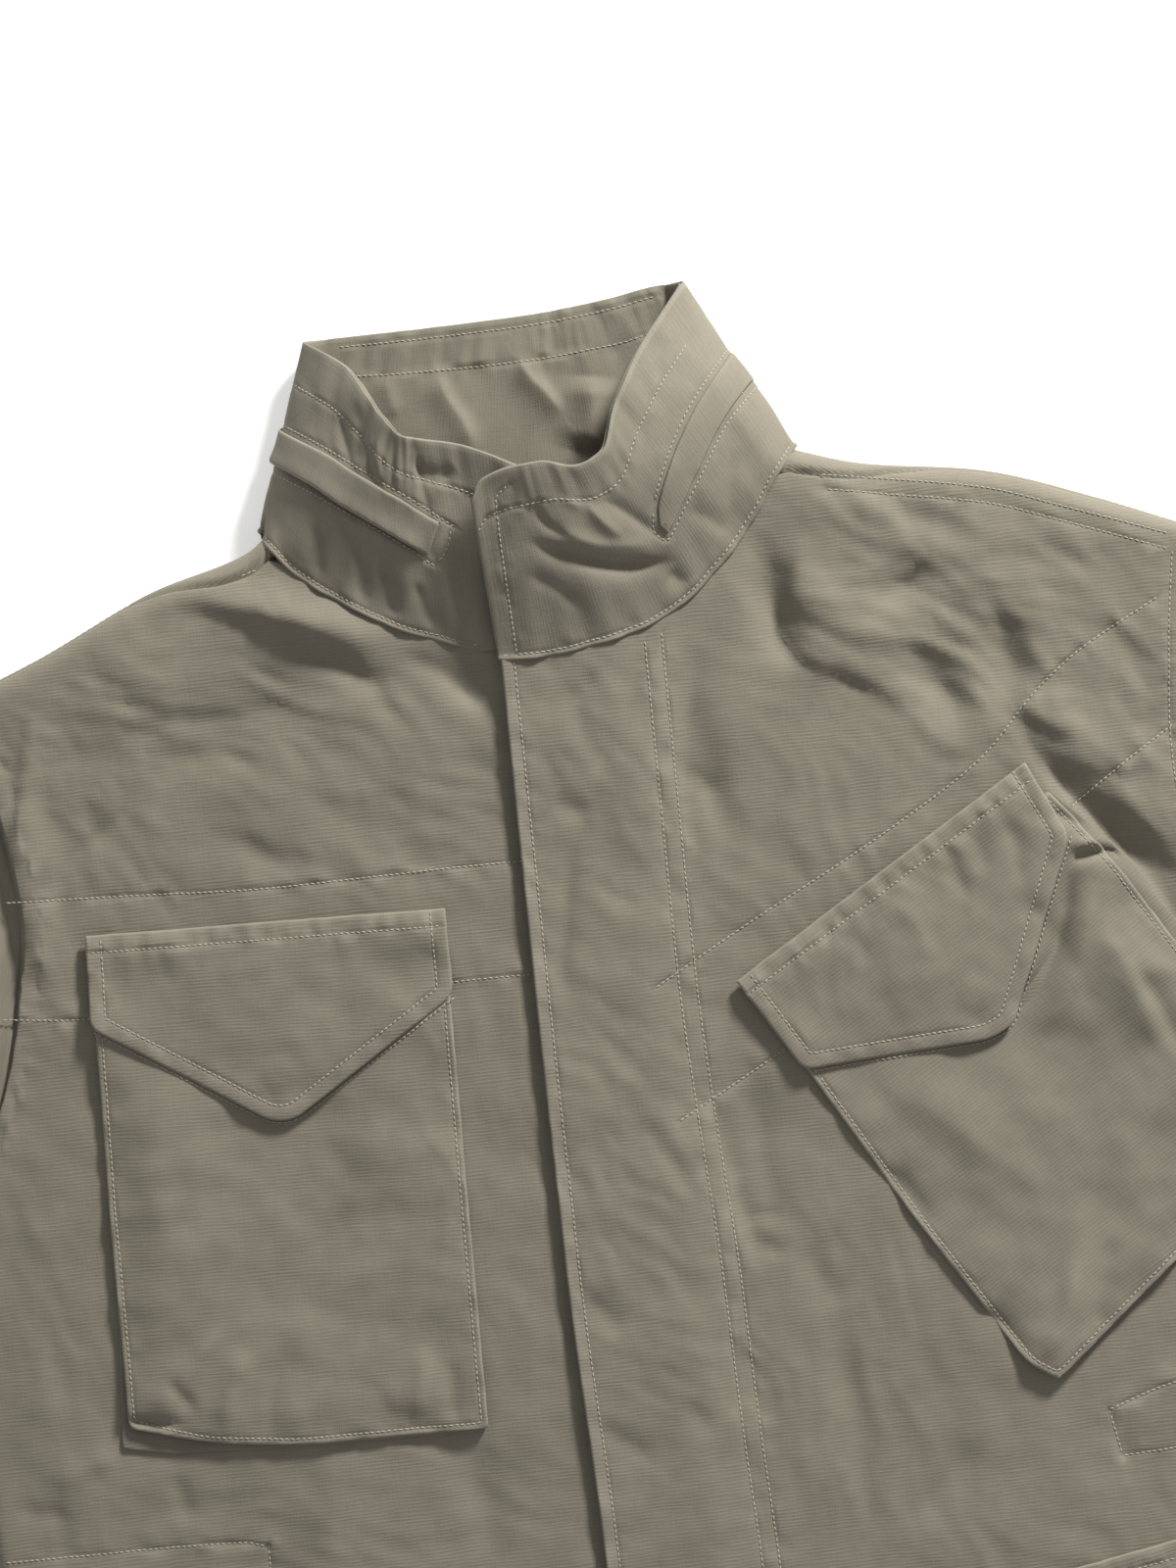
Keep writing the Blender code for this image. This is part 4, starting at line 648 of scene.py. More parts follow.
def front_height(x, y):
    """Outer surface of the fronts."""
    share, radius = body_edges(x, y)
    at_side = ease(inside_side(x, y) / FOLDS_FADE_SIDE)
    at_shoulder = ease(shoulder_gap(x, y) / FOLDS_FADE_SHOULDER)
    full = base_height(x, y) + fold_heights(x, y, BODY_FOLDS) * at_side * at_shoulder
    return radius + SEAM_GAP / 2 + (full - radius - SEAM_GAP / 2) * share


def back_height(x, y):
    """Outer, lower surface of the back: flat, and turning up to half height at the sides."""
    radius = edge_radius(x, y)
    return (radius - SEAM_GAP / 2) * (1.0 - rise(side_gap(x, y), radius))


def fly_lift(x):
    """How far the left front is raised where it runs over the right one as the fly."""
    outside, width = FLY_RAMP
    return FLY_LIFT * ease((FLY_STITCH_X + outside - np.asarray(x, float)) / width)


def left_front_height(x, y):
    """Outer surface of the left front, which runs over the right one as the fly."""
    return front_height(x, y) + fly_lift(x)


def lattice(low, high, grid):
    """Points of one triangular lattice, the same for every piece, between two corners."""
    row_step = grid * math.sqrt(3) / 2
    points = []
    for row in range(int(low[1] // row_step), int(high[1] // row_step) + 2):
        for column in range(int(low[0] // grid) - 1, int(high[0] // grid) + 2):
            points.append((grid * (column + 0.5 * (row % 2)), row_step * row))
    return points


def neck_rows(first, last):
    """The collar's foot between two of its sections, as rows x, y."""
    return np.array([row[:2] for row in COLLAR_SECTIONS[first:last + 1]])


def moved_out(line, gap):
    """A line moved sideways by gap, to the right of its direction."""
    line = np.asarray(line, float)
    along = unit(np.gradient(line, axis=0))
    return line + gap * np.stack([along[:, 1], -along[:, 0]], axis=1)


def shoulder_seam(side, past):
    """The shoulder seam in plan, from the neck to the armhole, moved down by past mm."""
    x = np.concatenate([[SEAM_NECK_X[side]], SEAM_X[side]])
    return np.stack([x, silhouette_y(x) - shoulder_drop(x) - past], axis=1)


def body_side(sign, spacing):
    """A side seam from the underarm to the hem, in plan."""
    y = np.linspace(UNDERARM_Y, HEM_Y, int((UNDERARM_Y - HEM_Y) / spacing))[1:]
    return np.stack([sign * side_x(y, sign > 0), y], axis=1)


def roll_over_shoulder(x, pattern_y):
    """(y, z, outward directions) of the back's flat pattern once its cloth turns over the shoulder."""
    silhouette = silhouette_y(x)
    radius = edge_radius(x, silhouette)
    past = pattern_y - (silhouette - radius)
    angle = np.clip(past / radius, 0.0, math.pi)
    over = np.maximum(past - math.pi * radius, 0.0)
    turning = (past > 0) & (np.abs(x) > OUTSIDE_NECK)
    y = np.where(turning, silhouette - radius + radius * np.sin(angle) - over, pattern_y)
    z = np.where(turning, radius * (1.0 - np.cos(angle)), 0.0)
    outward = np.stack([np.zeros_like(x), np.sin(angle), -np.cos(angle)], axis=1)
    return y, z, np.where(turning[:, None], outward, 0.0)


def seam_in_pattern(x):
    """The back's shoulder edge in its flat pattern: past the turn by the seam's drop."""
    silhouette = silhouette_y(x)
    radius = edge_radius(x, silhouette)
    drop = shoulder_drop(x)
    angle = np.where(drop < radius, math.pi - np.arcsin(np.clip(1 - drop / radius, 0, 1)), math.pi)
    return silhouette - radius + radius * angle + np.maximum(drop - radius, 0.0)


def corner_in_pattern(rows):
    """The neck end of the turn over a shoulder, in the back's flat pattern."""
    x, angle = np.asarray(rows, float).T
    silhouette = silhouette_y(x)
    return np.stack([x, silhouette + edge_radius(x, silhouette) * (angle - 1.0)], axis=1)


def laid_out(line):
    """Points of the back's lower side, given in plan, in its flat pattern."""
    silhouette = silhouette_y(line[:, 0])
    radius = edge_radius(line[:, 0], silhouette)
    share = np.clip((line[:, 1] - silhouette + radius) / radius, 0.0, 1.0)
    turned_y = silhouette - radius + radius * np.arcsin(share)
    return np.stack([line[:, 0], np.where(share > 0, turned_y, line[:, 1])], axis=1)


def sleeve_points(sign, along, across):
    """Plan points of a sleeve: along from 0 at the armhole to 1 at the cuff, across from 0 at its outer
    edge to 1 at its inner edge. Each line along it leaves the armhole outwards and bends to the cuff."""
    arm = ARMHOLE_RIGHT if sign < 0 else ARMHOLE_LEFT
    cos, sin = heading(RIGHT_SLEEVE_ANGLE if sign < 0 else LEFT_SLEEVE_ANGLE)
    start = smooth_rows(arm, across) * (sign, 1.0)
    start[:, 0] += SLEEVE_GAP + SEAM_GAP * across
    down, inwards = np.array([sin, -cos]), np.array([-cos, -sin])
    outer_cuff = np.array([abs(arm[0][0]), arm[0][1]]) + SLEEVE_LENGTH * down - CUFF_SHIFT * inwards
    end = outer_cuff + CUFF_WIDTH * inwards * across[:, None]
    leave = [(pull * heading(degrees)[0], -pull * heading(degrees)[1]) for degrees, pull in SLEEVE_LEAVES]
    leave = np.array(leave[0]) * (1.0 - across[:, None]) + np.array(leave[1]) * across[:, None]
    s = along[:, None]
    points = (
        (2 * s**3 - 3 * s**2 + 1) * start
        + (s**3 - 2 * s**2 + s) * leave
        + (3 * s**2 - 2 * s**3) * end
        + (s**3 - s**2) * down * CUFF_PULL
    )
    return points * (sign, 1.0)


def in_frame(rows, place_x, place_y, degrees):
    """Points of a pocket's own frame (across, down) in the jacket's frame."""
    rows = np.asarray(rows, float)
    cos, sin = heading(degrees)
    x = place_x + rows[:, 0] * cos + rows[:, 1] * sin
    y = place_y + rows[:, 0] * sin - rows[:, 1] * cos
    return np.stack([x, y], axis=1)


def to_frame(x, y, place_x, place_y, degrees):
    """(across, down) in a pocket's own frame."""
    cos, sin = heading(degrees)
    away_x, away_y = x - place_x, y - place_y
    return away_x * cos + away_y * sin, away_x * sin - away_y * cos


def pouch_lift(side, across, down):
    """A bellows pocket stands off at its outer side and foot, and is sewn flat at its inner side."""
    loose, inwards, risen, slant = CHEST_STAND[side]
    beside = 1.0 - ease((across - loose) * inwards / BELLOWS_WIDTH)
    foot_down, foot_height = BELLOWS_FOOT
    foot = ease((down + slant * across - foot_down) / foot_height)
    return POCKET_GAP + POCKET_LIFT * np.maximum(beside * ease(down / risen), FOOT_SHARE * foot)


def flap_lift(side, across, down):
    """It lies on the front along its top seam, and on the pouch below that."""
    return pouch_lift(side, across, down) * ease(down / FLAP_RAMP) + CLOTH + FLAP_GAP


def lower_flap_lift(_side, _across, down):
    """The same lift as the other pocket pieces have, though it depends on the distance down alone."""
    at_top, more, width = LOWER_FLAP_LIFT
    return at_top + more * ease(down / width)


# ---------------------------------------------------------------- relief

NOISE_CELLS = 64  # the noises repeat after this many cells
NOISE_GAIN = 1.5  # brings gradient noise to about -1 to 1
CHUNK = 2000  # points worked on at a time
# The three layers of a wrinkle field. Columns: first seed, its length and spacing as shares of the field's,
# shift along and across.
WRINKLE_LAYERS = ((950, 1.0, 1.0, 0.0, 0.0), (970, 1.0, 1.0, 9.5, 4.5), (990, 1.3, 0.8, 3.5, 7.5))
WRINKLE_END = 4.0  # a field is left out past this, in squares of its reach
WRINKLE_SHARES = (0.6, 0.6, 0.3)  # of the sharp, the broad and the crisp creases
WRINKLE_BEND = (0.35, 3.0, 55.0, 900)  # share of the spacing, times, size in mm, first seed
SHARP_SLOPE, SHARP_DEPTH = 1.6, 0.3  # how narrow the sharp creases are, and how far they are lowered
CRISP_SLOPE = 5.0
CREASE_STEP = 3.0  # between a crease line's points
CREASE_REACH = 2.6  # how far it is worked out, in its widths
CREASE_ENDS = (0.08, 0.35)  # shares of its length: how far past its ends it starts, and is full after
CREASE_POWER = 1.6  # of a crease's profile
SEAM_REACH = 2.4  # how far a seam's puckers are worked out, in their reaches
SEAM_SIDES_APART = 30.0
# The two layers of a seam's puckers. Columns: share, lean, shift, length as a share, more to the seed.
PUCKERS = ((1.0, 0.4, 90.0, 1.0, 0), (0.5, -0.3, 40.0, 0.55, 50))
PUCKERS_START = 2.6  # they are full this far from a groove
GROOVE_WIDTH = 0.85
# Slight unevenness of loose cloth. Columns: height, size, lean.
SWELLS = ((1.2, 62.0, 0.0), (0.7, 31.0, 0.5), (0.22, 13.0, 0.0))
FRONT_SWELLS_SEED = 7
FREE_FROM_SIDE = 34.0  # folds have their full height this far in from a side seam
FREE_FROM_SHOULDER = 20.0
RIGHT_SHOULDER_FOLDS = BODY_FOLDS[8:14]
RIGHT_SOFTENS = (-112.0, 38.0)  # outside this x, over this width
LEFT_SHOULDER_FOLDS = BODY_FOLDS[0:3:2]
LEFT_SOFTER = 0.45  # share by which these are filled

def soft_noise(x, y, size, seed):
    """Smooth random heights from about -1 to 1, with swells about size across."""
    cells = np.random.default_rng(seed).uniform(-1.0, 1.0, (NOISE_CELLS, NOISE_CELLS))
    u, v = np.asarray(x, float) / size, np.asarray(y, float) / size
    cell_u, cell_v = np.floor(u).astype(int), np.floor(v).astype(int)
    part_u, part_v = ease(u - cell_u), ease(v - cell_v)

    def row(step):
        here, beside = (cells[(cell_u + k) % NOISE_CELLS, (cell_v + step) % NOISE_CELLS] for k in (0, 1))
        return here * (1 - part_u) + beside * part_u

    return row(0) * (1 - part_v) + row(1) * part_v


def gradient_noise(x, y, seed):
    """Smooth random heights from about -1 to 1, with swells about 1 across."""
    angles = np.random.default_rng(seed).uniform(0.0, 2.0 * math.pi, (NOISE_CELLS, NOISE_CELLS))
    cell_x, cell_y = np.floor(x).astype(int), np.floor(y).astype(int)
    part_x, part_y = x - cell_x, y - cell_y

    def corner(step_x, step_y):
        angle = angles[(cell_x + step_x) % NOISE_CELLS, (cell_y + step_y) % NOISE_CELLS]
        return np.cos(angle) * (part_x - step_x) + np.sin(angle) * (part_y - step_y)

    fade_x = part_x**3 * (part_x * (6 * part_x - 15) + 10)
    fade_y = part_y**3 * (part_y * (6 * part_y - 15) + 10)
    low = corner(0, 0) * (1 - fade_x) + corner(1, 0) * fade_x
    high = corner(0, 1) * (1 - fade_x) + corner(1, 1) * fade_x
    return NOISE_GAIN * (low * (1 - fade_y) + high * fade_y)


def narrow_ridges(noise, slope):
    """Ridges up to 1 high where the noise passes zero, narrower the larger the slope."""
    return (1.0 - np.minimum(np.abs(noise) * slope, 1.0)) ** 2


def wrinkles(x, y, rows):
    """Fields of small creases. Each has its place, reach, direction, length, spacing and height."""
    total = np.zeros(len(x))
    bend_share, bend_times, bend_size, bend_seed = WRINKLE_BEND
    for number, (place_x, place_y, reach_x, reach_y, degrees, length, spacing, height) in enumerate(rows):
        away = ((x - place_x) / reach_x) ** 2 + ((y - place_y) / reach_y) ** 2
        near = away < WRINKLE_END
        if not near.any():
            continue
        some_x, some_y = x[near], y[near]
        along_x, along_y = heading(degrees)
        bend = gradient_noise(some_x / bend_size, some_y / bend_size, bend_seed + number)
        bent = bend_share * spacing * bend
        along = some_x * along_x + some_y * along_y
        across = some_y * along_x - some_x * along_y + bend_times * bent
        sharp, broad, thin = (
            gradient_noise(
                along / (longer * length) + ahead, across / (wider * spacing) + beside, seed + number
            )
            for seed, longer, wider, ahead, beside in WRINKLE_LAYERS
        )
        sharp = narrow_ridges(sharp, SHARP_SLOPE) - SHARP_DEPTH
        crisp = narrow_ridges(thin, CRISP_SLOPE)
        of_sharp, of_broad, of_crisp = WRINKLE_SHARES
        creases = of_sharp * sharp + of_broad * broad + of_crisp * crisp
        total[near] += WRINKLE_GAIN * height * creases * bell(away[near], 1.5)
    return total


def near_line(x, y, line, reach):
    """Where points lie near a line: (their numbers, distance, distance along it, side: 1 left, -1 right)."""
    low, high = line.min(axis=0) - reach, line.max(axis=0) + reach
    index = np.nonzero((x > low[0]) & (x < high[0]) & (y > low[1]) & (y < high[1]))[0]
    if len(index) == 0:
        return index, index, index, index
    along = np.concatenate([[0.0], np.cumsum(np.linalg.norm(np.diff(line, axis=0), axis=1))])
    start, step = line[:-1], np.diff(line, axis=0)
    length = np.maximum((step**2).sum(axis=1), 1e-9)
    found = []
    for part in np.array_split(index, max(1, len(index) // CHUNK)):
        away = np.stack([x[part], y[part]], axis=1)[:, None, :] - start
        share = np.clip((away * step).sum(axis=2) / length, 0.0, 1.0)
        gap = np.linalg.norm(away - share[:, :, None] * step, axis=2)
        k = gap.argmin(axis=1)
        rows = np.arange(len(part))
        turn = step[k, 0] * away[rows, k, 1] - step[k, 1] * away[rows, k, 0]
        at = along[k] + share[rows, k] * (along[k + 1] - along[k])
        found.append(np.stack([gap[rows, k], at, np.where(turn > 0, 1.0, -1.0)]))
    distance, at, side = np.concatenate(found, axis=1)
    near = distance < reach
    return index[near], distance[near], at[near], side[near]


def crease_heights(x, y, rows):
    """Sum of creases, each along its own line, steeper on one side than on the other."""
    x, y = np.asarray(x, float), np.asarray(y, float)
    total = np.zeros(len(x))
    past, grows = CREASE_ENDS
    for height, left, right, *points in rows:
        line = smooth_line(points, CREASE_STEP)
        index, distance, at, side = near_line(x, y, line, CREASE_REACH * max(left, right))
        if len(index) == 0:
            continue
        width = np.where(side > 0, left, right)
        share = at / max(np.linalg.norm(np.diff(line, axis=0), axis=1).sum(), 1e-6)
        fade = ease((share + past) / grows) * ease((1.0 + past - share) / grows)
        total[index] += CREASE_GAIN * height * fade * bell(distance / width, CREASE_POWER)
    return total


def seam_relief(x, y, seams, seed):
    """Grooves and puckers along seams, which are rows of kind and line."""
    x, y = np.asarray(x, float), np.asarray(y, float)
    total = np.zeros(len(x))
    for number, (kind, line) in enumerate(seams):
        groove, pucker, length, reach = SEAM_KINDS[kind]
        index, distance, at, side = near_line(x, y, line, SEAM_REACH * reach)
        if len(index) == 0:
            continue
        wave = sum(
            share * soft_noise(
                at + lean * distance, side * SEAM_SIDES_APART + shift, part * length, seed + more + number
            )
            for share, lean, shift, part, more in PUCKERS
        )
        swell = ease(distance / PUCKERS_START) if groove else 1.0
        total[index] += pucker * wave * swell * bell(distance / reach, 1.5)
        total[index] -= groove * bell(distance / GROOVE_WIDTH)
    return total


def swells(x, y, seed):
    """Slight unevenness of cloth that lies loose."""
    return sum(
        height * gradient_noise((x + lean * y) / size, y / size, seed + number)
        for number, (height, size, lean) in enumerate(SWELLS)
    )


def free_part(x, y):
    """0 at the silhouette and 1 well inside it, where folds have their full height."""
    return ease(side_gap(x, y) / FREE_FROM_SIDE) * ease(shoulder_gap(x, y) / FREE_FROM_SHOULDER)


def front_surface(x, y):
    """Outer surface of the fronts with their folds and creases, before the seams."""
    x, y = np.asarray(x, float), np.asarray(y, float)
    extra = crease_heights(x, y, FRONT_CREASES) + wrinkles(x, y, FRONT_WRINKLES)
    extra = extra + swells(x, y, FRONT_SWELLS_SEED)
    start, width = RIGHT_SOFTENS
    softer = -RIGHT_SOFTER * fold_heights(x, y, RIGHT_SHOULDER_FOLDS) * ease((start - x) / width)
    softer = softer - LEFT_SOFTER * fold_heights(x, y, LEFT_SHOULDER_FOLDS)
    return front_height(x, y) + (extra + softer) * free_part(x, y)


def left_front_surface(x, y):
    """The same of the left front, which runs over the right one as the fly."""
    return front_surface(x, y) + fly_lift(x)


def front_field(side):
    """The outer surface of one front, as a function of x and y."""
    return front_surface if side == "right" else left_front_surface


# ---------------------------------------------------------------- meshes

OUTLINE_STEP = 3.0  # the widest step between the points of a mesh's outline
EDGE_STEP = 0.4  # between the points from which the distance to an outline is measured
# How far points of a mesh keep from its outline, and from each other: on its rings beside the outline (the
# first as a share of the ring's distance), beside its seams, and on its grid (as shares of the grid).
RING_MARGIN, RING_APART = 0.8, 0.6
SEAM_MARGIN, SEAM_APART = 0.5, 0.8
GRID_MARGIN, GRID_APART = 0.45, 0.62
SEAM_OFFSETS = (0.0, 1.0, -1.0, 2.3, -2.3)  # points are laid this far beside a seam
RINGS = (0.35, 1.2)  # rings of points run this far inside an outline
SAME_POINT, NO_AREA = 1e-4, 1e-6  # mm and square mm
EDGE_ROUND = 0.55  # a wall's edge is rounded over this share of the wall
CORNER_SHARE, CORNER_POINTS = 0.4, 5  # of a side, that a rounded corner takes at most, and its points


def inside_many(outline, points):
    """Which of the points lie inside a closed outline."""
    nexts = np.roll(outline, -1, axis=0)
    rise_y = nexts[:, 1] - outline[:, 1]
    rise_y = np.where(rise_y == 0, 1e-9, rise_y)
    result = []
    for part in np.array_split(points, max(1, len(points) // CHUNK)):
        y = part[:, 1:2]
        crossing = (outline[:, 1] > y) != (nexts[:, 1] > y)
        at = outline[:, 0] + (y - outline[:, 1]) * (nexts[:, 0] - outline[:, 0]) / rise_y
        result.append((crossing & (part[:, 0:1] < at)).sum(axis=1) % 2 == 1)
    return np.concatenate(result)


class Spread:
    """Points of a plane, kept at least a given distance apart."""

    def __init__(self, cell):
        self.cell, self.cells = cell, {}

    def add(self, point):
        key = (int(point[0] // self.cell), int(point[1] // self.cell))
        self.cells.setdefault(key, []).append(point)

    def near(self, point, apart):
        key_x, key_y = int(point[0] // self.cell), int(point[1] // self.cell)
        for i in (key_x - 1, key_x, key_x + 1):
            for j in (key_y - 1, key_y, key_y + 1):
                for other in self.cells.get((i, j), ()):
                    if (other[0] - point[0]) ** 2 + (other[1] - point[1]) ** 2 < apart * apart:
                        return True
        return False


def closed_line(outline, spacing):
    """A closed outline with a point about every spacing mm."""
    return straight_line(list(outline) + [outline[0]], spacing)[:-1]


def facing(outline):
    """1 if a closed outline runs anticlockwise, else -1."""
    nexts = np.roll(outline, -1, axis=0)
    return np.sign((outline[:, 0] * nexts[:, 1] - nexts[:, 0] * outline[:, 1]).sum())


def edge_distance(outline, points):
    """Distance from each point to a closed outline."""
    dense = closed_line(outline, EDGE_STEP)
    tree = KDTree(len(dense))
    for number, point in enumerate(dense):
        tree.insert((point[0], point[1], 0.0), number)
    tree.balance()
    return np.array([tree.find((x, y, 0.0))[2] for x, y in points])


def fill_panel(outline, grid, rings=RINGS, lines=()):
    """Triangles that fill an outline: (points, faces, distance in from the outline)."""
    outline = closed_line(outline, min(grid, OUTLINE_STEP))
    wanted = []
    sign = facing(outline)
    for ring in rings:
        moved = moved_out(np.concatenate([outline, outline[:1]]), -sign * ring)[:-1]
        wanted += [(point, RING_MARGIN * ring, RING_APART) for point in moved]
    for line in lines:
        for offset in SEAM_OFFSETS:
            moved = moved_out(line, offset) if offset else line
            wanted += [(point, SEAM_MARGIN, SEAM_APART) for point in moved]
    wanted += [
        (np.array(point), GRID_MARGIN * grid, GRID_APART * grid)
        for point in lattice(outline.min(0), outline.max(0), grid)
    ]
    every = np.array([point for point, _, _ in wanted])
    inside = inside_many(outline, every)
    gaps = np.zeros(len(every))
    gaps[inside] = edge_distance(outline, every[inside])
    kept, spread = [tuple(point) for point in outline], Spread(max(3.0, grid))
    for number in np.nonzero(inside)[0]:
        point, margin, apart = wanted[number]
        if gaps[number] > margin and not spread.near(point, apart):
            spread.add((float(point[0]), float(point[1])))
            kept.append((float(point[0]), float(point[1])))
    count = len(outline)
    edges = [(k, (k + 1) % count) for k in range(count)]
    points, _, faces, _, _, _ = delaunay_2d_cdt([Vector(point) for point in kept], edges, [], 1, SAME_POINT)
    points = np.array([tuple(point) for point in points])
    faces = np.array([face[:3] for face in faces])
    a, b, c = (points[faces[:, k]] for k in range(3))
    area = (b[:, 0] - a[:, 0]) * (c[:, 1] - a[:, 1]) - (b[:, 1] - a[:, 1]) * (c[:, 0] - a[:, 0])
    faces[area < 0] = faces[area < 0][:, ::-1]
    faces = faces[np.abs(area) > NO_AREA]
    distance = edge_distance(outline, points)
    distance[:count] = 0.0
    return points, faces, distance


def grid_corners(rows, across, closed=False):
    """A grid's squares: numbers of a point, the next one across, and both in the next row."""
    row, k = (part.ravel() for part in np.mgrid[0:rows - 1, 0:across - (0 if closed else 1)])
    here, beside = row * across + k, row * across + (k + 1) % across
    return here, beside, here + across, beside + across


def triangles(*corners):
    """Triangles in turn, square by square, from their corners in threes."""
    return np.stack(corners, axis=1).reshape(-1, 3)


def surface_normals(points, faces):
    """Each point's direction outwards, from the faces round it."""
    normal = np.cross(points[faces[:, 1]] - points[faces[:, 0]], points[faces[:, 2]] - points[faces[:, 0]])
    total = np.zeros_like(points)
    for column in range(faces.shape[1]):
        np.add.at(total, faces[:, column], normal)
    return total / np.maximum(np.linalg.norm(total, axis=1), 1e-12)[:, None]


def add_piece(name, points, faces, nodes, material, grain=None, wear_and_highlight=None):
    """A mesh piece on the root body, in place of its CAD nodes, with its grain as a UV map in mm."""
    mesh = bpy.data.meshes.new(name)
    corners = [tuple(face) for face in np.asarray(faces).tolist()]
    mesh.from_pydata((np.asarray(points) * MM).tolist(), [], corners)
    corner = np.empty(len(mesh.loops), np.int32)
    mesh.loops.foreach_get("vertex_index", corner)
    if grain is not None:
        layer = mesh.uv_layers.new(name="grain")
        layer.data.foreach_set("uv", np.asarray(grain, np.float32)[corner].ravel())
    # This attribute lightens the colour: wear at edges and rims, and a painted highlight on raised relief.
    if wear_and_highlight is not None:
        attribute = mesh.attributes.new("wear_and_highlight", "FLOAT", "POINT")
        attribute.data.foreach_set("value", np.asarray(wear_and_highlight, np.float32))
    mesh.materials.append(material)
    mesh.shade_smooth()
    obj = bpy.data.objects.new(name, mesh)
    bpy.context.scene.collection.objects.link(obj)
    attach(obj, "root")
    if nodes:
        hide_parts(*nodes)
    return obj


def cloth_piece(
    node, outer, faces, distance, wall, material, grain, wear_and_highlight, turned=None,
):
    """A node's closed wall of cloth below its outer surface, with a rounded edge all round.

    turned gives the outward direction where the cloth turns over at the silhouette, and zero rows
    elsewhere."""
    normals = surface_normals(outer, faces)
    if turned is not None:
        known = np.linalg.norm(turned, axis=1) > 0.5
        normals[known] = turned[known]
    half = (wall / 2 * rise(distance, EDGE_ROUND * wall))[:, None]
    middle = outer - normals * wall / 2
    rim = distance <= 0.0
    inner_number = np.where(rim, np.arange(len(outer)), len(outer) + np.cumsum(~rim) - 1)
    points = np.concatenate([middle + normals * half, (middle - normals * half)[~rim]])
    every = np.concatenate([faces, inner_number[faces][:, ::-1]])
    return add_piece(
        f"{node}_cloth", points, every, [node], material,
        np.concatenate([grain, grain[~rim]]), np.concatenate([wear_and_highlight, wear_and_highlight[~rim]]),
    )


def rounded(rows, radii):
    """An outline with its corners rounded, to the radii in turn."""
    rows = np.asarray(rows, float)
    points = []
    for k in range(len(rows)):
        radius = radii[k % len(radii)]
        before, here, after = rows[k - 1], rows[k], rows[(k + 1) % len(rows)]
        to_before, to_after = before - here, after - here
        before_long, after_long = np.linalg.norm(to_before), np.linalg.norm(to_after)
        reach = min(radius, CORNER_SHARE * before_long, CORNER_SHARE * after_long)
        start = here + to_before / before_long * reach
        end = here + to_after / after_long * reach
        for t in np.linspace(0.0, 1.0, CORNER_POINTS):
            points.append((1 - t) ** 2 * start + 2 * t * (1 - t) * here + t * t * end)
    return np.array(points)


# ---------------------------------------------------------------- stitches

STITCH_PITCH = 2.6
STITCH_LENGTH = 2.0
STITCH_START = 0.5  # from a line's start to its first stitch
STITCH_SHIFT = 0.15  # stitches move along their line at random by up to this
STITCH_SLANT = (0.10, 4.0)  # and turn by up to this, times this
THREAD_RADIUS = 0.31
THREAD_SIDES = 6
TACK_WIDTH = 1.6
TACK_STEP = 0.75
TACK_PAST = 0.5  # a tack's stitches reach this far past its width on both sides
# One stitch, along its length. Columns: share of its length, lift above the cloth, share of the radius.
STITCH_PROFILE = ((0.0, -0.15, 0.6), (0.2, 0.22, 1.0), (0.8, 0.22, 1.0), (1.0, -0.15, 0.6))


def interpolated(at, along, rows):
    """Rows of three columns, read at distances along their line."""
    return np.stack([np.interp(at, along, rows[:, k]) for k in range(3)], axis=1)


def stitch_rows(line, normals, rng):
    """(points, faces) of the stitches along a line of 3-D points in mm."""
    along = np.concatenate([[0.0], np.cumsum(np.linalg.norm(np.diff(line, axis=0), axis=1))])
    count = int((along[-1] - 2.0 * STITCH_START) / STITCH_PITCH)
    if count < 1:
        return np.zeros((0, 3)), np.zeros((0, 4), int)
    starts = STITCH_START + STITCH_PITCH * np.arange(count) + rng.uniform(-STITCH_SHIFT, STITCH_SHIFT, count)
    angles = np.linspace(0.0, 2.0 * math.pi, THREAD_SIDES, endpoint=False)
    rings = []
    turn, times = STITCH_SLANT
    slant = rng.uniform(-turn, turn, count)
    for share, lift, size in STITCH_PROFILE:
        at = starts + share * STITCH_LENGTH
        centre = interpolated(at, along, line)
        normal = unit(interpolated(at, along, normals))
        beside = np.cross(normal, interpolated(at + 0.5, along, line) - centre)
        beside /= np.maximum(np.linalg.norm(beside, axis=1), 1e-9)[:, None]
        centre = centre + normal * lift + beside * (slant * (share - 0.5) * times)[:, None]
        radius = THREAD_RADIUS * size
        for angle in angles:
            rings.append(centre + radius * (math.cos(angle) * beside + math.sin(angle) * normal))
    ring_count = len(STITCH_PROFILE)
    points = np.array(rings).reshape(ring_count, THREAD_SIDES, count, 3).transpose(2, 0, 1, 3).reshape(-1, 3)
    faces = []
    for low in range(0, THREAD_SIDES * (ring_count - 1), THREAD_SIDES):
        high = low + THREAD_SIDES
        for k in range(THREAD_SIDES):
            nexts = (k + 1) % THREAD_SIDES
            faces.append((low + k, low + nexts, high + nexts, high + k))
    last = THREAD_SIDES * (ring_count - 1)
    faces += [(0, 3, 2, 1), (0, 5, 4, 3)]
    faces += [(last, last + 1, last + 2, last + 3), (last, last + 3, last + 4, last + 5)]
    shifts = np.arange(count) * THREAD_SIDES * ring_count
    return points, (np.array(faces)[None] + shifts[:, None, None]).reshape(-1, 4)


def sew(name, runs, material, seed):
    """One piece of all the stitches along the runs, each a line of 3-D points with its normals."""
    rng = np.random.default_rng(seed)
    points, faces, start = [], [], 0
    for line, normals in runs:
        some, some_faces = stitch_rows(line, normals, rng)
        points.append(some)
        faces.append(some_faces + start)
        start += len(some)
    return add_piece(name, np.concatenate(points), np.concatenate(faces), (), material)


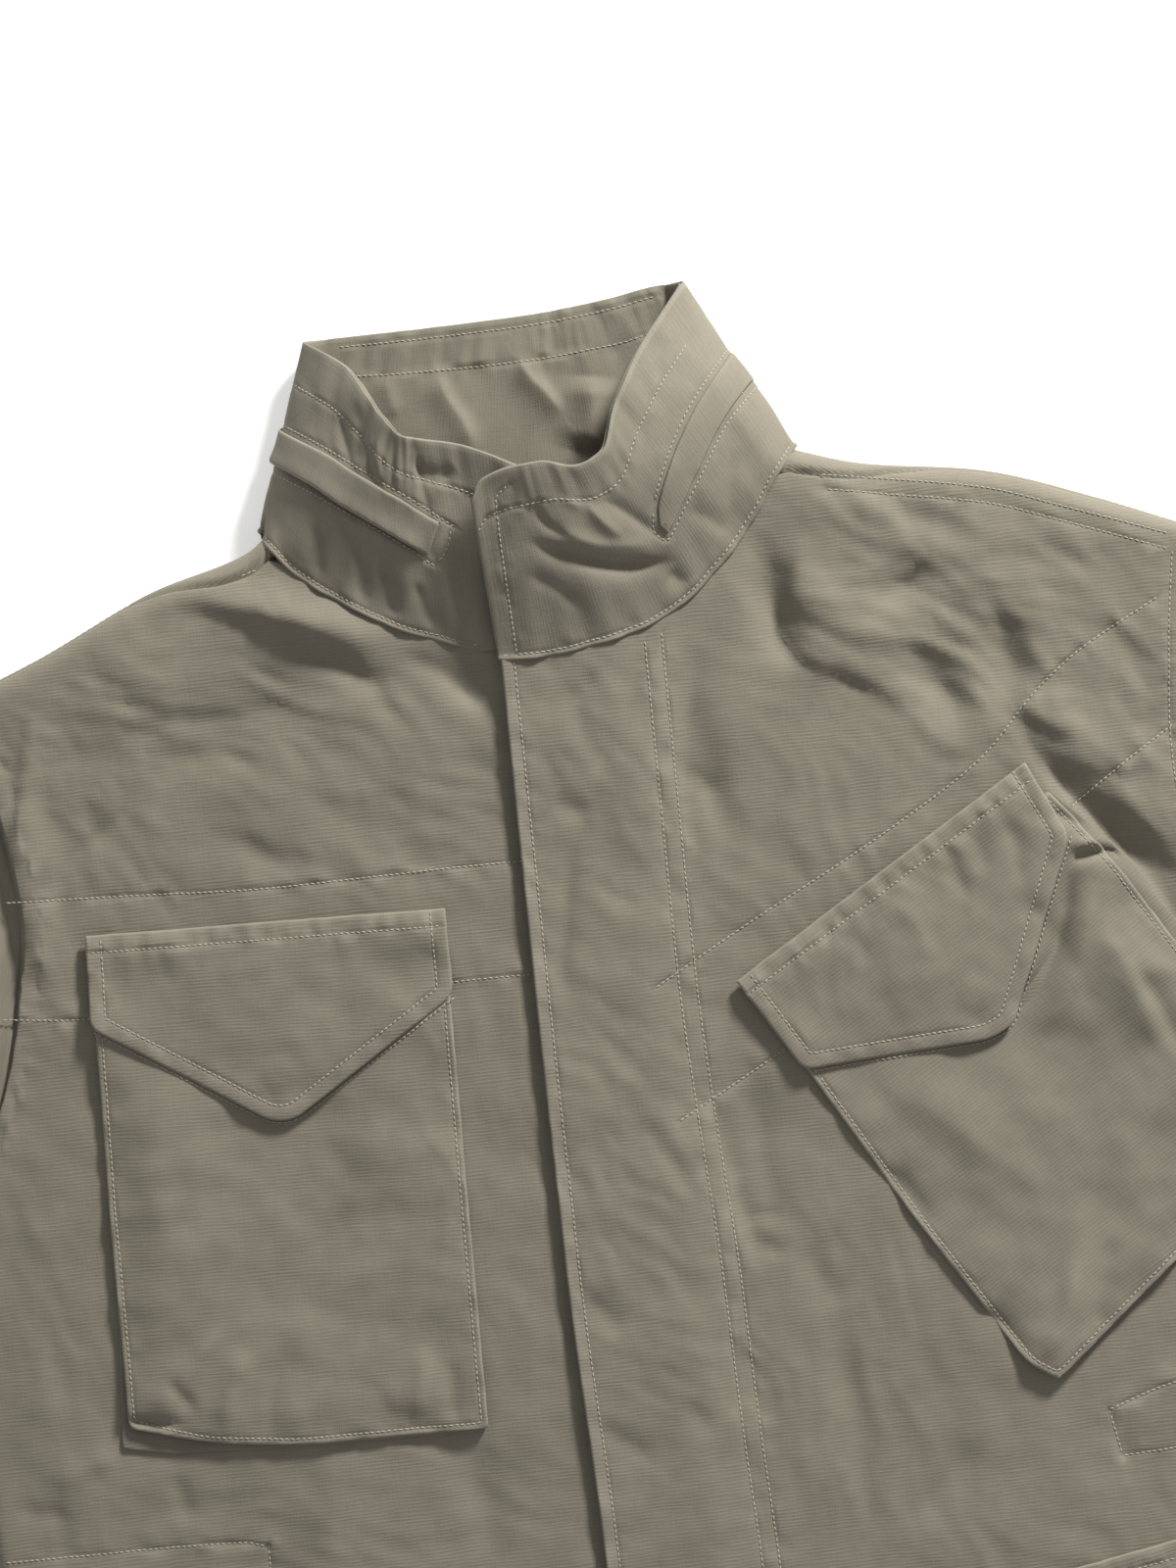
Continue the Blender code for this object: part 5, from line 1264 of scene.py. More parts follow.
def on_surface(line, height):
    """(3-D points, normals) of a plan line laid on a surface height(x, y)."""
    x, y = line[:, 0], line[:, 1]
    slope_x = height(x + 0.5, y) - height(x - 0.5, y)
    slope_y = height(x, y + 0.5) - height(x, y - 0.5)
    normals = np.stack([-slope_x, -slope_y, np.ones_like(x)], axis=1)
    return np.stack([x, y, height(x, y)], axis=1), unit(normals)


def tack(centre, degrees, length, width):
    """The plan lines of a bar tack: close stitches across a short bar."""
    along = np.array(heading(degrees))
    half = np.array([-along[1], along[0]]) * (width / 2 + TACK_PAST)
    lines = []
    for k in range(int(length / TACK_STEP)):
        middle = np.asarray(centre, float) + along * (k * TACK_STEP - length / 2)
        lines.append(straight_line(np.array([middle - half, middle + half]), 0.5))
    return lines


# ---------------------------------------------------------------- fronts and back

FRONT_GRID = 3.2
BACK_GRID = 7.0
PATCH_GRID = 2.4
FACING_GRID = 5.0
NECK_TURN_IN = 3.0  # the fronts' neck edges reach this far under the collar's foot
NECK_SECTIONS = {"right": (1, 5), "left": (13, 21)}  # the collar's sections that stand on each front
NECK_CLEAR = 0.8  # between a front's shoulder edge and its neck edge
HEM_RUNS = {"right": (-303.0, 7.0), "left": (-32.0, 321.0)}  # the hem's stitches run between these x
FLY_STITCH_IN = 6.0  # the stitching beside the fly's free edge
NECK_PUCKERS_IN = 2.0  # the middle of the puckers below the collar's foot
OUTLINE_GAP = 3.0  # between the points of the fronts' outlines
# Beside the fly's free edge. The furrow that it presses into the right front: depth, middle outside the
# edge, width. Its own roll: height, width. The roll's waves: height, length, breadth, seed, reach.
FLY_FURROW = (1.5, 0.5, 3.0)
FLY_ROLL = (0.8, 5.0)
FLY_WAVES = (0.4, 16.0, 60.0, 61, 8.0)
FRONT_SEEDS = {"right": 100, "left": 200}
# How far the fronts are lightened: as wear at the fly's free edge, fading over a distance, and as a painted
# highlight on their raised relief.
FRONT_WEAR_AND_HIGHLIGHT = (0.6, 1.5, 0.7)
FACING_PAST_EDGE = 1.0  # the fly's inner layer starts this far from the free edge
FACING_TOP = -3.0
FACING_PAST_STITCH = 2.0


def side_lines(side):
    """The lines that show on a front, as rows of kind and line: its stitching, the hem's and the fly's."""
    rows = RIGHT_LINES if side == "right" else LEFT_LINES
    seams = [(kind, smooth_line(points, 2.0)) for kind, *points in rows]
    hem = HEM_Y + HEM_STITCH
    seams.append(("double", straight_line([(x, hem) for x in HEM_RUNS[side]], 2.0)))
    if side == "left":
        seams.append(("edge", smooth_line(FLY_EDGE, 2.0) + (FLY_STITCH_IN, 0.0)))
    return seams


def neck_line(side):
    """The collar's foot over a front."""
    return smooth_line(neck_rows(*NECK_SECTIONS[side]), OUTLINE_GAP)


def sewn_edges(side):
    """The edges at which a front is sewn to its neighbours, as rows of kind and line."""
    return [
        ("sewn", armhole_line(side)),
        ("sewn", shoulder_seam(side, 0.0)),
        ("neck", moved_out(neck_line(side), -NECK_PUCKERS_IN)),
    ]


def armhole_line(side):
    """An armhole's edge in plan, from the shoulder down."""
    return smooth_line(ARMHOLE_RIGHT if side == "right" else ARMHOLE_LEFT, OUTLINE_GAP)


def front_outline(side):
    """A front's closed outline in plan."""
    arm, neck = armhole_line(side), moved_out(neck_line(side), NECK_TURN_IN)
    seam, gap = shoulder_seam(side, SEAM_GAP), OUTLINE_GAP
    if side == "right":
        seam = seam[seam[:, 0] < neck[-1, 0] - NECK_CLEAR]
        body = body_side(-1.0, gap)
        top, foot = (FLY_LAP_X, NECK_TURN_IN), (FLY_LAP_X, HEM_Y)
        return np.concatenate([
            straight_line([top, tuple(neck[0])], gap)[:-1], neck, seam, arm[1:], body,
            straight_line([tuple(body[-1]), foot], gap)[1:-1], straight_line((foot, top), gap)[:-1],
        ])
    neck[neck[:, 0] < FLY_CORNER_X, 1] = NECK_TURN_IN
    seam = seam[seam[:, 0] > neck[0, 0] + NECK_CLEAR]
    fly, body = smooth_line(FLY_EDGE, gap), body_side(1.0, gap)
    fly[0, 1] = NECK_TURN_IN
    return np.concatenate([
        fly, straight_line([tuple(fly[-1]), tuple(body[-1])], gap)[1:-1], body[::-1], arm[::-1][:-1],
        seam[::-1], neck[:-1],
    ])


def front_relief(side, x, y):
    """Seams of a front, the rolled free edge of the fly and the furrow that it presses beside it."""
    edge = smooth_line(FLY_EDGE, 4.0)
    beside = x - np.interp(-y, -edge[:, 1], edge[:, 0])
    if side == "right":
        depth, outside, width = FLY_FURROW
        fly = -depth * bell((beside + outside) / width)
    else:
        height, width = FLY_ROLL
        wave, length, breadth, seed, reach = FLY_WAVES
        fly = height * bell(beside / width)
        fly = fly + wave * gradient_noise(y / length, x / breadth, seed) * bell(beside / reach)
    seams = side_lines(side) + sewn_edges(side)
    return seam_relief(x, y, seams, FRONT_SEEDS[side]) * free_part(x, y) + fly


def front_top(side):
    """The outer surface of a front with its seams, as a function of x and y."""
    return lambda x, y: front_field(side)(x, y) + front_relief(side, x, y)


def build_front(side, material):
    """A front, from the fly's edge or lap to its armhole and side seam."""
    seams = side_lines(side)
    flat, faces, distance = fill_panel(front_outline(side), FRONT_GRID, lines=[line for _, line in seams])
    x, y = flat[:, 0], flat[:, 1]
    relief = front_relief(side, x, y)
    points = np.stack([x, y, front_field(side)(x, y) + relief], axis=1)
    # Lighter as wear at the fly's free edge, and lighter on raised relief as a painted highlight.
    at_edge, fades, painted_highlight_on_relief = FRONT_WEAR_AND_HIGHLIGHT
    wear_and_highlight = at_edge * np.exp(-distance / fades) * (x < 0) * (side == "left") + painted_highlight_on_relief * relief
    cloth_piece(
        f"front_{side}", points, faces, distance, CLOTH, material, flat, np.clip(wear_and_highlight, 0.0, 1.0),
        edge_direction(x, y, 1.0),
    )


def build_fly_facing(material):
    """The fly's inner layer, which shows at its free edge."""
    edge = smooth_line(FLY_EDGE, 4.0)
    edge[:, 0] += FACING_PAST_EDGE
    edge[0, 1] = FACING_TOP
    far = FLY_STITCH_X + FACING_PAST_STITCH
    corners = [tuple(edge[-1]), (far, HEM_Y), (far, edge[0, 1]), tuple(edge[0])]
    outline = np.concatenate([edge, straight_line(corners, 4.0)[1:-1]])
    flat, faces, distance = fill_panel(outline, FACING_GRID)
    x, y = flat[:, 0], flat[:, 1]
    points = np.stack([x, y, left_front_surface(x, y) - CLOTH - LAYER_GAP], axis=1)
    cloth_piece(
        "fly_facing", points, faces, distance, FACING_CLOTH, material, flat, np.zeros(len(x)),
    )


TUCK = 3.0  # a seam allowance reaches this far under the piece on top
TUCK_DEPTH = CLOTH + 0.35
TUCK_SLOPE = 3.2  # and has sunk to its depth over this distance
CORNER_TUCK = 3.0  # the back's neck corners reach this far under the collar's foot
BACK_SECTIONS = (7, 11)  # the collar's sections over the back
BACK_STEP = 5.0  # between the points of the back's outline
TURN_ANGLES = np.linspace(0.0, 2.8, 8)  # lines of points run round the back's turn at these angles
BACK_RINGS = RINGS + (3.0, 6.0)


def tucked(from_rim, reach):
    """How far a panel has sunk under its neighbour, by the distance from its own rim."""
    return TUCK_DEPTH * ease((reach + TUCK_SLOPE - from_rim) / TUCK_SLOPE)


def build_back(material):
    """The back: a flat pattern, laid under the fronts and rolled over the shoulders to their seams."""
    seams = {side: np.stack([x, seam_in_pattern(x) + TUCK], axis=1) for side, x in SEAM_X.items()}
    neck = moved_out(smooth_line(neck_rows(*BACK_SECTIONS), BACK_STEP), -TUCK)
    sides = {"right": body_side(-1.0, BACK_STEP), "left": body_side(1.0, BACK_STEP)}
    corners = {
        side: smooth_line(corner_in_pattern(rows) + (shift, 0.0), 3.0)
        for side, rows, shift in (
            ("right", BACK_CORNER_RIGHT, CORNER_TUCK), ("left", BACK_CORNER_LEFT, -CORNER_TUCK),
        )
    }
    hem = straight_line([tuple(sides["right"][-1]), tuple(sides["left"][-1])], BACK_STEP)[1:-1]
    arms = {side: laid_out(armhole_line(side)) for side in ("right", "left")}
    outline = np.concatenate([
        corners["right"], seams["right"], arms["right"][1:], sides["right"], hem, sides["left"][::-1],
        arms["left"][::-1][:-1], seams["left"][::-1], corners["left"][::-1], neck[::-1],
    ])
    rings = []
    for x in SEAM_X.values():
        radius = edge_radius(x, silhouette_y(x))
        for angle in TURN_ANGLES:
            rings.append(np.stack([x, silhouette_y(x) - radius + radius * angle], axis=1)[1:-1])
    flat, faces, distance = fill_panel(outline, BACK_GRID, rings=BACK_RINGS, lines=rings)
    x = flat[:, 0]
    y, z, turned = roll_over_shoulder(x, flat[:, 1])
    z = z + back_height(x, flat[:, 1])
    sunk = np.zeros(len(x))
    for line in seams.values():
        index, from_rim, _, _ = near_line(x, flat[:, 1], line, TUCK + TUCK_SLOPE + 0.1)
        sunk[index] = np.maximum(sunk[index], tucked(from_rim, TUCK))
    y = y - sunk * turned[:, 1]
    z = z - sunk * turned[:, 2]
    turned = np.where(np.linalg.norm(turned, axis=1)[:, None] > 0, turned, edge_direction(x, y, -1.0))
    cloth_piece(
        "back", np.stack([x, y, z], axis=1), faces[:, ::-1], distance, CLOTH, material, flat,
        np.zeros(len(x)), turned,
    )


# ---------------------------------------------------------------- collar

COLLAR_ROWS = 430
COLLAR_TALL = 74
COLLAR_ENDS = (0.0, 0.3, 0.8, 1.5, 2.4)  # its first rows of points lie this far from its ends
FOOT_HEIGHTS = (0.0, 0.005, 0.010, 0.016, 0.023, 0.032, 0.043, 0.056)  # and these are its lowest heights
RIM_WORN = 0.55
# The collar's top edge, across its two layers. Columns: share of half the wall, rise.
COLLAR_RIM = ((1.0, 0.0), (0.94, 0.5), (0.77, 0.75), (0.58, 0.35), (0.38, -0.7), (0.0, -1.5))
# Stitched lines of the collar. Columns: face (1 outer, -1 inner), kind, then share of its length and of
# its height.
COLLAR_LINES = (
    (1, "edge", (0.985, 0.03), (0.984, 0.5), (0.982, 0.87), (0.966, 0.925)),
    (1, "band", (0.999, 0.80), (0.93, 0.80), (0.87, 0.80), (0.79, 0.81), (0.72, 0.80)),
    (
        1, "edge", (0.70, 0.80), (0.5, 0.79), (0.3, 0.79), (0.25, 0.79), (0.16, 0.82), (0.08, 0.80),
        (0.03, 0.75),
    ),
    (1, "edge", (0.985, 0.03), (0.9, 0.03), (0.8, 0.032), (0.7, 0.03)),
    (1, "edge", (0.27, 0.032), (0.18, 0.03), (0.06, 0.03)),
    (
        1, "edge", (0.70, 0.60), (0.7217, 0.605), (0.745, 0.613), (0.775, 0.603), (0.8025, 0.573),
        (0.824, 0.535),
    ),
    (
        1, "edge", (0.70, 0.36), (0.742, 0.39), (0.772, 0.378), (0.80, 0.36), (0.829, 0.34), (0.838, 0.43),
        (0.826, 0.53),
    ),
    (1, "edge", (0.07, 0.60), (0.10, 0.675), (0.14, 0.717), (0.175, 0.698), (0.225, 0.61), (0.268, 0.567)),
    (1, "edge", (0.092, 0.385), (0.122, 0.445), (0.15, 0.465), (0.18, 0.448), (0.22, 0.395), (0.265, 0.32)),
    (1, "edge", (0.073, 0.61), (0.077, 0.52), (0.083, 0.45), (0.092, 0.39)),
    (-1, "edge", (0.30, 0.955), (0.5, 0.955), (0.66, 0.955)),
    (-1, "band", (0.28, 0.79), (0.45, 0.785), (0.55, 0.785), (0.68, 0.79)),
)


def collar_rows():
    """The collar's sections, with the foot's height on the fronts filled in."""
    rows = []
    for number, (foot_x, foot_y, foot_z, top_x, top_y, top_z, bow) in enumerate(COLLAR_SECTIONS):
        if foot_z is None:
            field = left_front_height if number >= FIRST_ON_LEFT_FRONT else front_height
            foot_z = float(field(np.array(foot_x), np.array(foot_y - NECK_GAP))) - CLOTH / 2
        rows.append((foot_x, foot_y, foot_z, top_x, top_y, top_z, bow))
    return np.array(rows)


COLLAR_TABLE = collar_rows()
COLLAR_LENGTH = np.linalg.norm(np.diff(COLLAR_TABLE[:, :2], axis=0), axis=1).sum()
COLLAR_HEIGHT = 92.0
COLLAR_CENTRE = (-12.0, 45.0)  # the middle of the neck
FOOT_POINTS = 600
FOOT_OUT = 1.5  # the foot meets the fronts this far outside its middle
FOOT_MOVES = 4.0  # and moves down or up to them by at most this
FOOT_BLEND = 16.0  # which fades out over this height
# Shares of its length: it is over the left front from here; its foot is on the fronts up to, and from.
LEFT_FROM, RIGHT_TO, LEFT_ON = 0.62, 0.28, 0.70
FOOT_EASE = 0.03
# Streaks drawn into the collar by its seams. Columns: height, size along, size across, seed, then the
# place, reach and power of their fading in mm of its height.
COLLAR_STREAKS = ((0.95, 13.0, 70.0, 77, 0.0, 30.0, 2), (0.8, 8.0, 60.0, 87, 82.0, 12.0, 4))
COLLAR_WAVES = (26.0, 24.0, 33, 0.6)  # its wall's: size along, size across, seed, height
COLLAR_SWELLS = (0.7, 31)  # share, seed
FREE_OF_FOOT, FREE_OF_START, FREE_OF_END = 0.12, 0.03, 0.012  # shares over which its relief grows
UNDER_PART = (0.9, 0.27, 0.06)  # the end under the fly is creased more: by how much, up to, over
SLIT = (0.10, 0.012, 0.26, 0.03)  # the welt's open part: its start, over, its end, over
SLIT_DEPTH = 2.0
SLIT_PLACE, SLIT_WIDTH = 0.2, 1.9
FOOT_RIDGE = (0.75, 0.9, 1.1)  # the foot's ridge over the fronts: height, place, width
THIN_END = (0.25, 0.05, 1.6)  # at its ends the wall has this share, from past them, over this
COLLAR_ABOVE = 0.4  # the collar never comes lower than this


def foot_drops():
    """How far the collar's foot moves down or up to meet the creased fronts, along its length."""
    shares = np.linspace(0.0, 1.0, FOOT_POINTS)
    x, y, z = smooth_rows(COLLAR_TABLE, shares)[:, 0:3].T
    outwards = np.stack([x - COLLAR_CENTRE[0], y - COLLAR_CENTRE[1]])
    x, y = np.stack([x, y]) + FOOT_OUT * outwards / np.linalg.norm(outwards, axis=0)
    meets = np.where(shares > LEFT_FROM, left_front_surface(x, y), front_surface(x, y)) - CLOTH / 2
    on_fronts = ease((RIGHT_TO - shares) / FOOT_EASE) + ease((shares - LEFT_ON) / FOOT_EASE)
    return shares, np.clip(meets - z, -FOOT_MOVES, FOOT_MOVES) * on_fronts


COLLAR_DROPS = foot_drops()


def collar_middle(share, height):
    """Middle of the collar's wall at each share of its length and of its height."""
    along = smooth_rows(COLLAR_TABLE, share)
    points = along[:, 0:3] + (along[:, 3:6] - along[:, 0:3]) * height[:, None]
    points[:, 2] += along[:, 6] * np.sin(np.pi * np.clip(height, 0.0, 1.0))
    points[:, 2] += np.interp(share, *COLLAR_DROPS) * (1.0 - ease(height * COLLAR_HEIGHT / FOOT_BLEND))
    return points


def collar_frame(share, height):
    """(middle, direction outwards, direction upwards) at points of the collar."""
    middle = collar_middle(share, height)
    step, step_up = 0.004, 0.01
    before, after = np.maximum(share - step, 0.0), np.minimum(share + step, 1.0)
    along = collar_middle(after, height) - collar_middle(before, height)
    up = collar_middle(share, height + step_up) - collar_middle(share, height - step_up)
    out = np.cross(up, along)
    return middle, unit(out), unit(up)


def collar_plan(rows):
    """Shares of the collar's length and height as mm in its flat pattern."""
    return np.asarray(rows, float) * (COLLAR_LENGTH, COLLAR_HEIGHT)


COLLAR_FOLDS = [
    (height, left, right, *[tuple(point) for point in collar_plan(points)])
    for height, left, right, *points in COLLAR_CREASES
]
COLLAR_SEAMS = {
    face: [
        (kind, smooth_line(collar_plan(points), 2.0)) for on_face, kind, *points in COLLAR_LINES
        if on_face == face
    ]
    for face in (1, -1)
}


def collar_relief(share, height, face):
    """How far a face of the collar stands out from its plain form, in the outward direction."""
    x, y = share * COLLAR_LENGTH, height * COLLAR_HEIGHT
    free = ease(height / FREE_OF_FOOT) * ease(share / FREE_OF_START) * ease((1.0 - share) / FREE_OF_END)
    gain, seed = COLLAR_SWELLS
    whole = crease_heights(x, y, COLLAR_FOLDS) + gain * swells(x, y, seed)
    puckers = seam_relief(x, y, COLLAR_SEAMS[face], 300 + face)
    streaks = sum(
        high * gradient_noise(x / long, y / wide, seed + face) * bell((y - place) / reach, power)
        for high, long, wide, seed, place, reach, power in COLLAR_STREAKS
    )
    more, up_to, over = UNDER_PART
    under_part = 1.0 + more * ease((up_to - share) / over)
    slit = -SLIT_DEPTH * slit_share(share, height) if face > 0 else 0.0
    long, wide, seed, high = COLLAR_WAVES
    wall = whole + gradient_noise(x / long, y / wide, seed) * high
    return wall * free + face * (puckers + streaks * under_part) + slit


def slit_share(share, height):
    """The opening under the hood welt on the wearer's right: 1 along the welt's lower edge."""
    low = np.interp(share, [row[2] for row in WELT_ROWS], [row[3] for row in WELT_ROWS])
    below = (height - low) * COLLAR_HEIGHT
    start, start_over, end, end_over = SLIT
    along = ease((share - start) / start_over) * ease((end - share) / end_over)
    return bell((below + SLIT_PLACE) / SLIT_WIDTH) * along


def collar_half(share, height, face):
    """Half the collar's wall: its foot is a narrow ridge over the fronts, and it thins at its ends."""
    ends = np.minimum(share, 1.0 - share) * COLLAR_LENGTH
    high, place, width = FOOT_RIDGE
    foot = high * bell((height * COLLAR_HEIGHT - place) / width) if face > 0 else 0.0
    least, past, over = THIN_END
    return COLLAR_CLOTH / 2 * (least + (1.0 - least) * rise(ends + past, over)) + foot


def collar_face(share, height, face):
    """Points of the collar's outer face (1) or its inner face (-1)."""
    middle, out, _ = collar_frame(share, height)
    stands = collar_relief(share, height, face) + face * collar_half(share, height, face)
    points = middle + out * stands[:, None]
    points[:, 2] = np.maximum(points[:, 2], COLLAR_ABOVE)
    return points


def build_collar(material):
    """The collar: one wall of two faces with a rim of two layers, closed at its ends."""
    ends = np.array(COLLAR_ENDS) / COLLAR_LENGTH
    shares = np.concatenate([ends[:-1], np.linspace(ends[-1], 1 - ends[-1], COLLAR_ROWS), 1 - ends[-2::-1]])
    heights = np.concatenate([FOOT_HEIGHTS[:-1], np.linspace(FOOT_HEIGHTS[-1], 1.0, COLLAR_TALL)])
    tall, count = len(heights), len(shares)
    grid_share, grid_height = np.repeat(shares, tall), np.tile(heights, count)
    outer, inner = (collar_face(grid_share, grid_height, face).reshape(count, tall, 3) for face in (1, -1))
    _, _, up = collar_frame(shares, np.ones(count))
    middle, half = (outer[:, -1] + inner[:, -1]) / 2, (outer[:, -1] - inner[:, -1]) / 2
    rim = COLLAR_RIM[1:] + tuple((-share, lift) for share, lift in COLLAR_RIM[-2:0:-1])
    top = np.stack([middle + half * share + up * lift for share, lift in rim], axis=1)
    loop = np.concatenate([outer, top, inner[:, ::-1]], axis=1)
    around = loop.shape[1]
    here, beside, after, after_beside = grid_corners(count, around, closed=True)
    faces = [triangles(here, beside, after_beside, here, after_beside, after)]
    for base, turn in ((0, 1), ((count - 1) * around, -1)):
        for k in range(around // 2):
            corners = (base + k, base + around - 1 - k, base + around - 2 - k, base + k + 1)
            corners = tuple(dict.fromkeys(corners))[::turn]
            faces.append(np.array([(corners[0], *corners[n:n + 2]) for n in range(1, len(corners) - 1)]))
    rim_plan = COLLAR_HEIGHT + np.linspace(0.3, 2.0, len(rim))
    v = np.concatenate([heights * COLLAR_HEIGHT, rim_plan, 200.0 - heights[::-1] * COLLAR_HEIGHT])
    grain = np.stack([np.tile(v, count), np.repeat(shares * COLLAR_LENGTH, around)], axis=1)
    wear_and_highlight = np.zeros((count, around))
    wear_and_highlight[:, tall - 2:tall + len(rim) + 2] = RIM_WORN
    add_piece(
        "collar_cloth", loop.reshape(-1, 3), np.concatenate(faces), ["collar"], material, grain, wear_and_highlight.ravel(),
    )


WELT_GRID = (340, 18)  # its points along and across
WELT_ON_RIGHT = (0.3, 0.04)  # the welt is open up to this share of the length, fading over this
WELT_GAPE = (1.7, 6.0, 14.0)  # its lower edge stands off: how far, over, and from its end over
WELT_CROWN = 0.35
WELT_WAVES = (0.25, 14.0, 3.0, 65)  # height, size along, times its height, seed
WELT_RAISED = (0.4, 0.62)  # shares of its gap and, where it is closed, of its wall
WELT_ABOVE = 0.2  # it never comes lower than this
WELT_WORN = (0.5, 1.2)  # at its edges, over this


def build_hood_welt(material):
    """The welt of the hood opening: a folded strip, open along its lower edge on the wearer's right."""
    count, tall = WELT_GRID
    rows = smooth_rows(WELT_ROWS, np.linspace(0.0, 1.0, count))
    steps = np.linspace(0.0, 1.0, tall)
    share = rows[:, 2:3] + (rows[:, 0:1] - rows[:, 2:3]) * steps
    height = rows[:, 3:4] + (rows[:, 1:2] - rows[:, 3:4]) * steps
    across_x, across_y = (rows[:, 0] - rows[:, 2]) * COLLAR_LENGTH, (rows[:, 1] - rows[:, 3]) * COLLAR_HEIGHT
    width = np.hypot(across_x, across_y)[:, None]
    middle_share = rows[:, 0:1] * 0.5 + rows[:, 2:3] * 0.5
    from_end = np.minimum(middle_share - middle_share[0], middle_share[-1] - middle_share) * COLLAR_LENGTH
    distance = np.minimum(np.minimum(steps * width, (1 - steps) * width), from_end)
    flat_share, flat_height = share.ravel(), height.ravel()
    middle, out, _ = collar_frame(flat_share, flat_height)
    up_to, over = WELT_ON_RIGHT
    on_right = ease((up_to - share) / over)
    stands, reach, end_over = WELT_GAPE
    gape = stands * bell(steps * width / reach) * ease(from_end / end_over) * on_right
    wave, long, times, seed = WELT_WAVES
    waves = wave * gradient_noise(share * COLLAR_LENGTH / long, height * times, seed)
    crown = WELT_CROWN * np.sin(np.pi * steps) + waves
    base = collar_relief(flat_share, flat_height, 1) + collar_half(flat_share, flat_height, 1)
    base = base + SLIT_DEPTH * slit_share(flat_share, flat_height)
    of_gap, of_wall = WELT_RAISED
    raised = HOOD_WELT_GAP * of_gap + HOOD_WELT_CLOTH * (of_wall + (1.0 - of_wall) * on_right)
    outer = middle + out * (base + (raised + gape + crown).ravel())[:, None]
    outer[:, 2] = np.maximum(outer[:, 2], WELT_ABOVE)
    here, beside, after, after_beside = grid_corners(count, tall)
    grain = np.stack([flat_height * COLLAR_HEIGHT + 5.0, flat_share * COLLAR_LENGTH], axis=1)
    distance = distance.ravel()
    wear_and_highlight, worn_over = WELT_WORN
    cloth_piece(
        "hood_welt", outer, triangles(here, beside, after_beside, here, after_beside, after),
        np.maximum(distance, 0.0), HOOD_WELT_CLOTH, material, grain, wear_and_highlight * np.exp(-distance / worn_over),
    )


# ---------------------------------------------------------------- sleeves

SIGNS = {"right": -1.0, "left": 1.0}
VALLEYS = {"right": 5.0, "left": 1.5}  # the top sleeve drops this far just outside the armhole
# Where: its middle and half its length across the sleeve, where it starts, is full from, ends and over what.
VALLEY_PLACE = (95.0, 52.0, 4.5, 7.0, 7.0, 26.0)
CUFF_STITCHES = (588.0, 595.0)  # the cuff's lines of stitches lie this far down
SLEEVE_SWELLS = (37.0, 15)  # shift, seed
SLEEVE_ARM_FADE = 0.05  # the sleeve's folds start over this share of its length
SLEEVE_WEAR_AND_HIGHLIGHT = (0.7, 0.5, 1.5)  # a painted highlight on its raised relief, and wear at its cuff over this


def near_armhole(down, from_outer):
    """Where the top sleeve drops beside the armhole: 1 in the bottom of the valley."""
    middle, half, before, over, end, end_over = VALLEY_PLACE
    along = bell((from_outer - middle) / half, 4)
    return along * ease((down + before) / over) * (1.0 - ease((down - end) / end_over))


def sleeve_folds(down, from_outer):
    """Folds, creases and unevenness of a top sleeve, by the distance down it and across it."""
    shift, seed = SLEEVE_SWELLS
    folds = fold_heights(down, from_outer, SLEEVE_FOLDS) + crease_heights(down, from_outer, SLEEVE_CREASES)
    return folds + swells(down + shift, from_outer, seed)


def across_sleeve(down):
    """A line straight across a sleeve, in its own frame."""
    return np.array([[down, -20.0], [down, 400.0 if down == 0.0 else 200.0]])


SLEEVE_FINE_ROWS = 170
# Where its rows of points lie, as shares of its length: under the body's panel as shares of how far it
# reaches there, then at the armhole, evenly between, and at the cuff.
SLEEVE_UNDER_ROWS = (1.0, 0.6)
SLEEVE_FIRST_ROWS = (0.0, 0.0015, 0.0035)
SLEEVE_EVEN_ROWS = (0.006, 0.996)
SLEEVE_LAST_ROWS = (0.9982, 0.9993, 1.0)
BODY_FOLDS_KEPT = 0.7  # share of a sleeve's folds where it still has the body's height
GRAIN_SHIFT = 13.0
SLEEVE_FINE_ACROSS = 64
UNDER_ACROSS = 40


def sleeve_edges(plan, outer_edge, inner_edge, radius, facing):
    """(height share, outward directions) of a sleeve piece's turn at its two edges, for one of its rows."""
    from_outer = np.linalg.norm(plan - outer_edge, axis=1)
    from_inner = np.linalg.norm(plan - inner_edge, axis=1)
    outwards = (outer_edge - inner_edge) / np.linalg.norm(outer_edge - inner_edge)
    flat_part = np.clip(1.0 - from_outer / radius, 0.0, 1.0) - np.clip(1.0 - from_inner / radius, 0.0, 1.0)
    up = np.sqrt(1.0 - flat_part**2) * facing
    rows = np.column_stack([flat_part[:, None] * outwards, up])
    turned = np.where(flat_part[:, None] != 0.0, rows, 0.0)
    return rise(from_outer, radius) * rise(from_inner, radius), turned


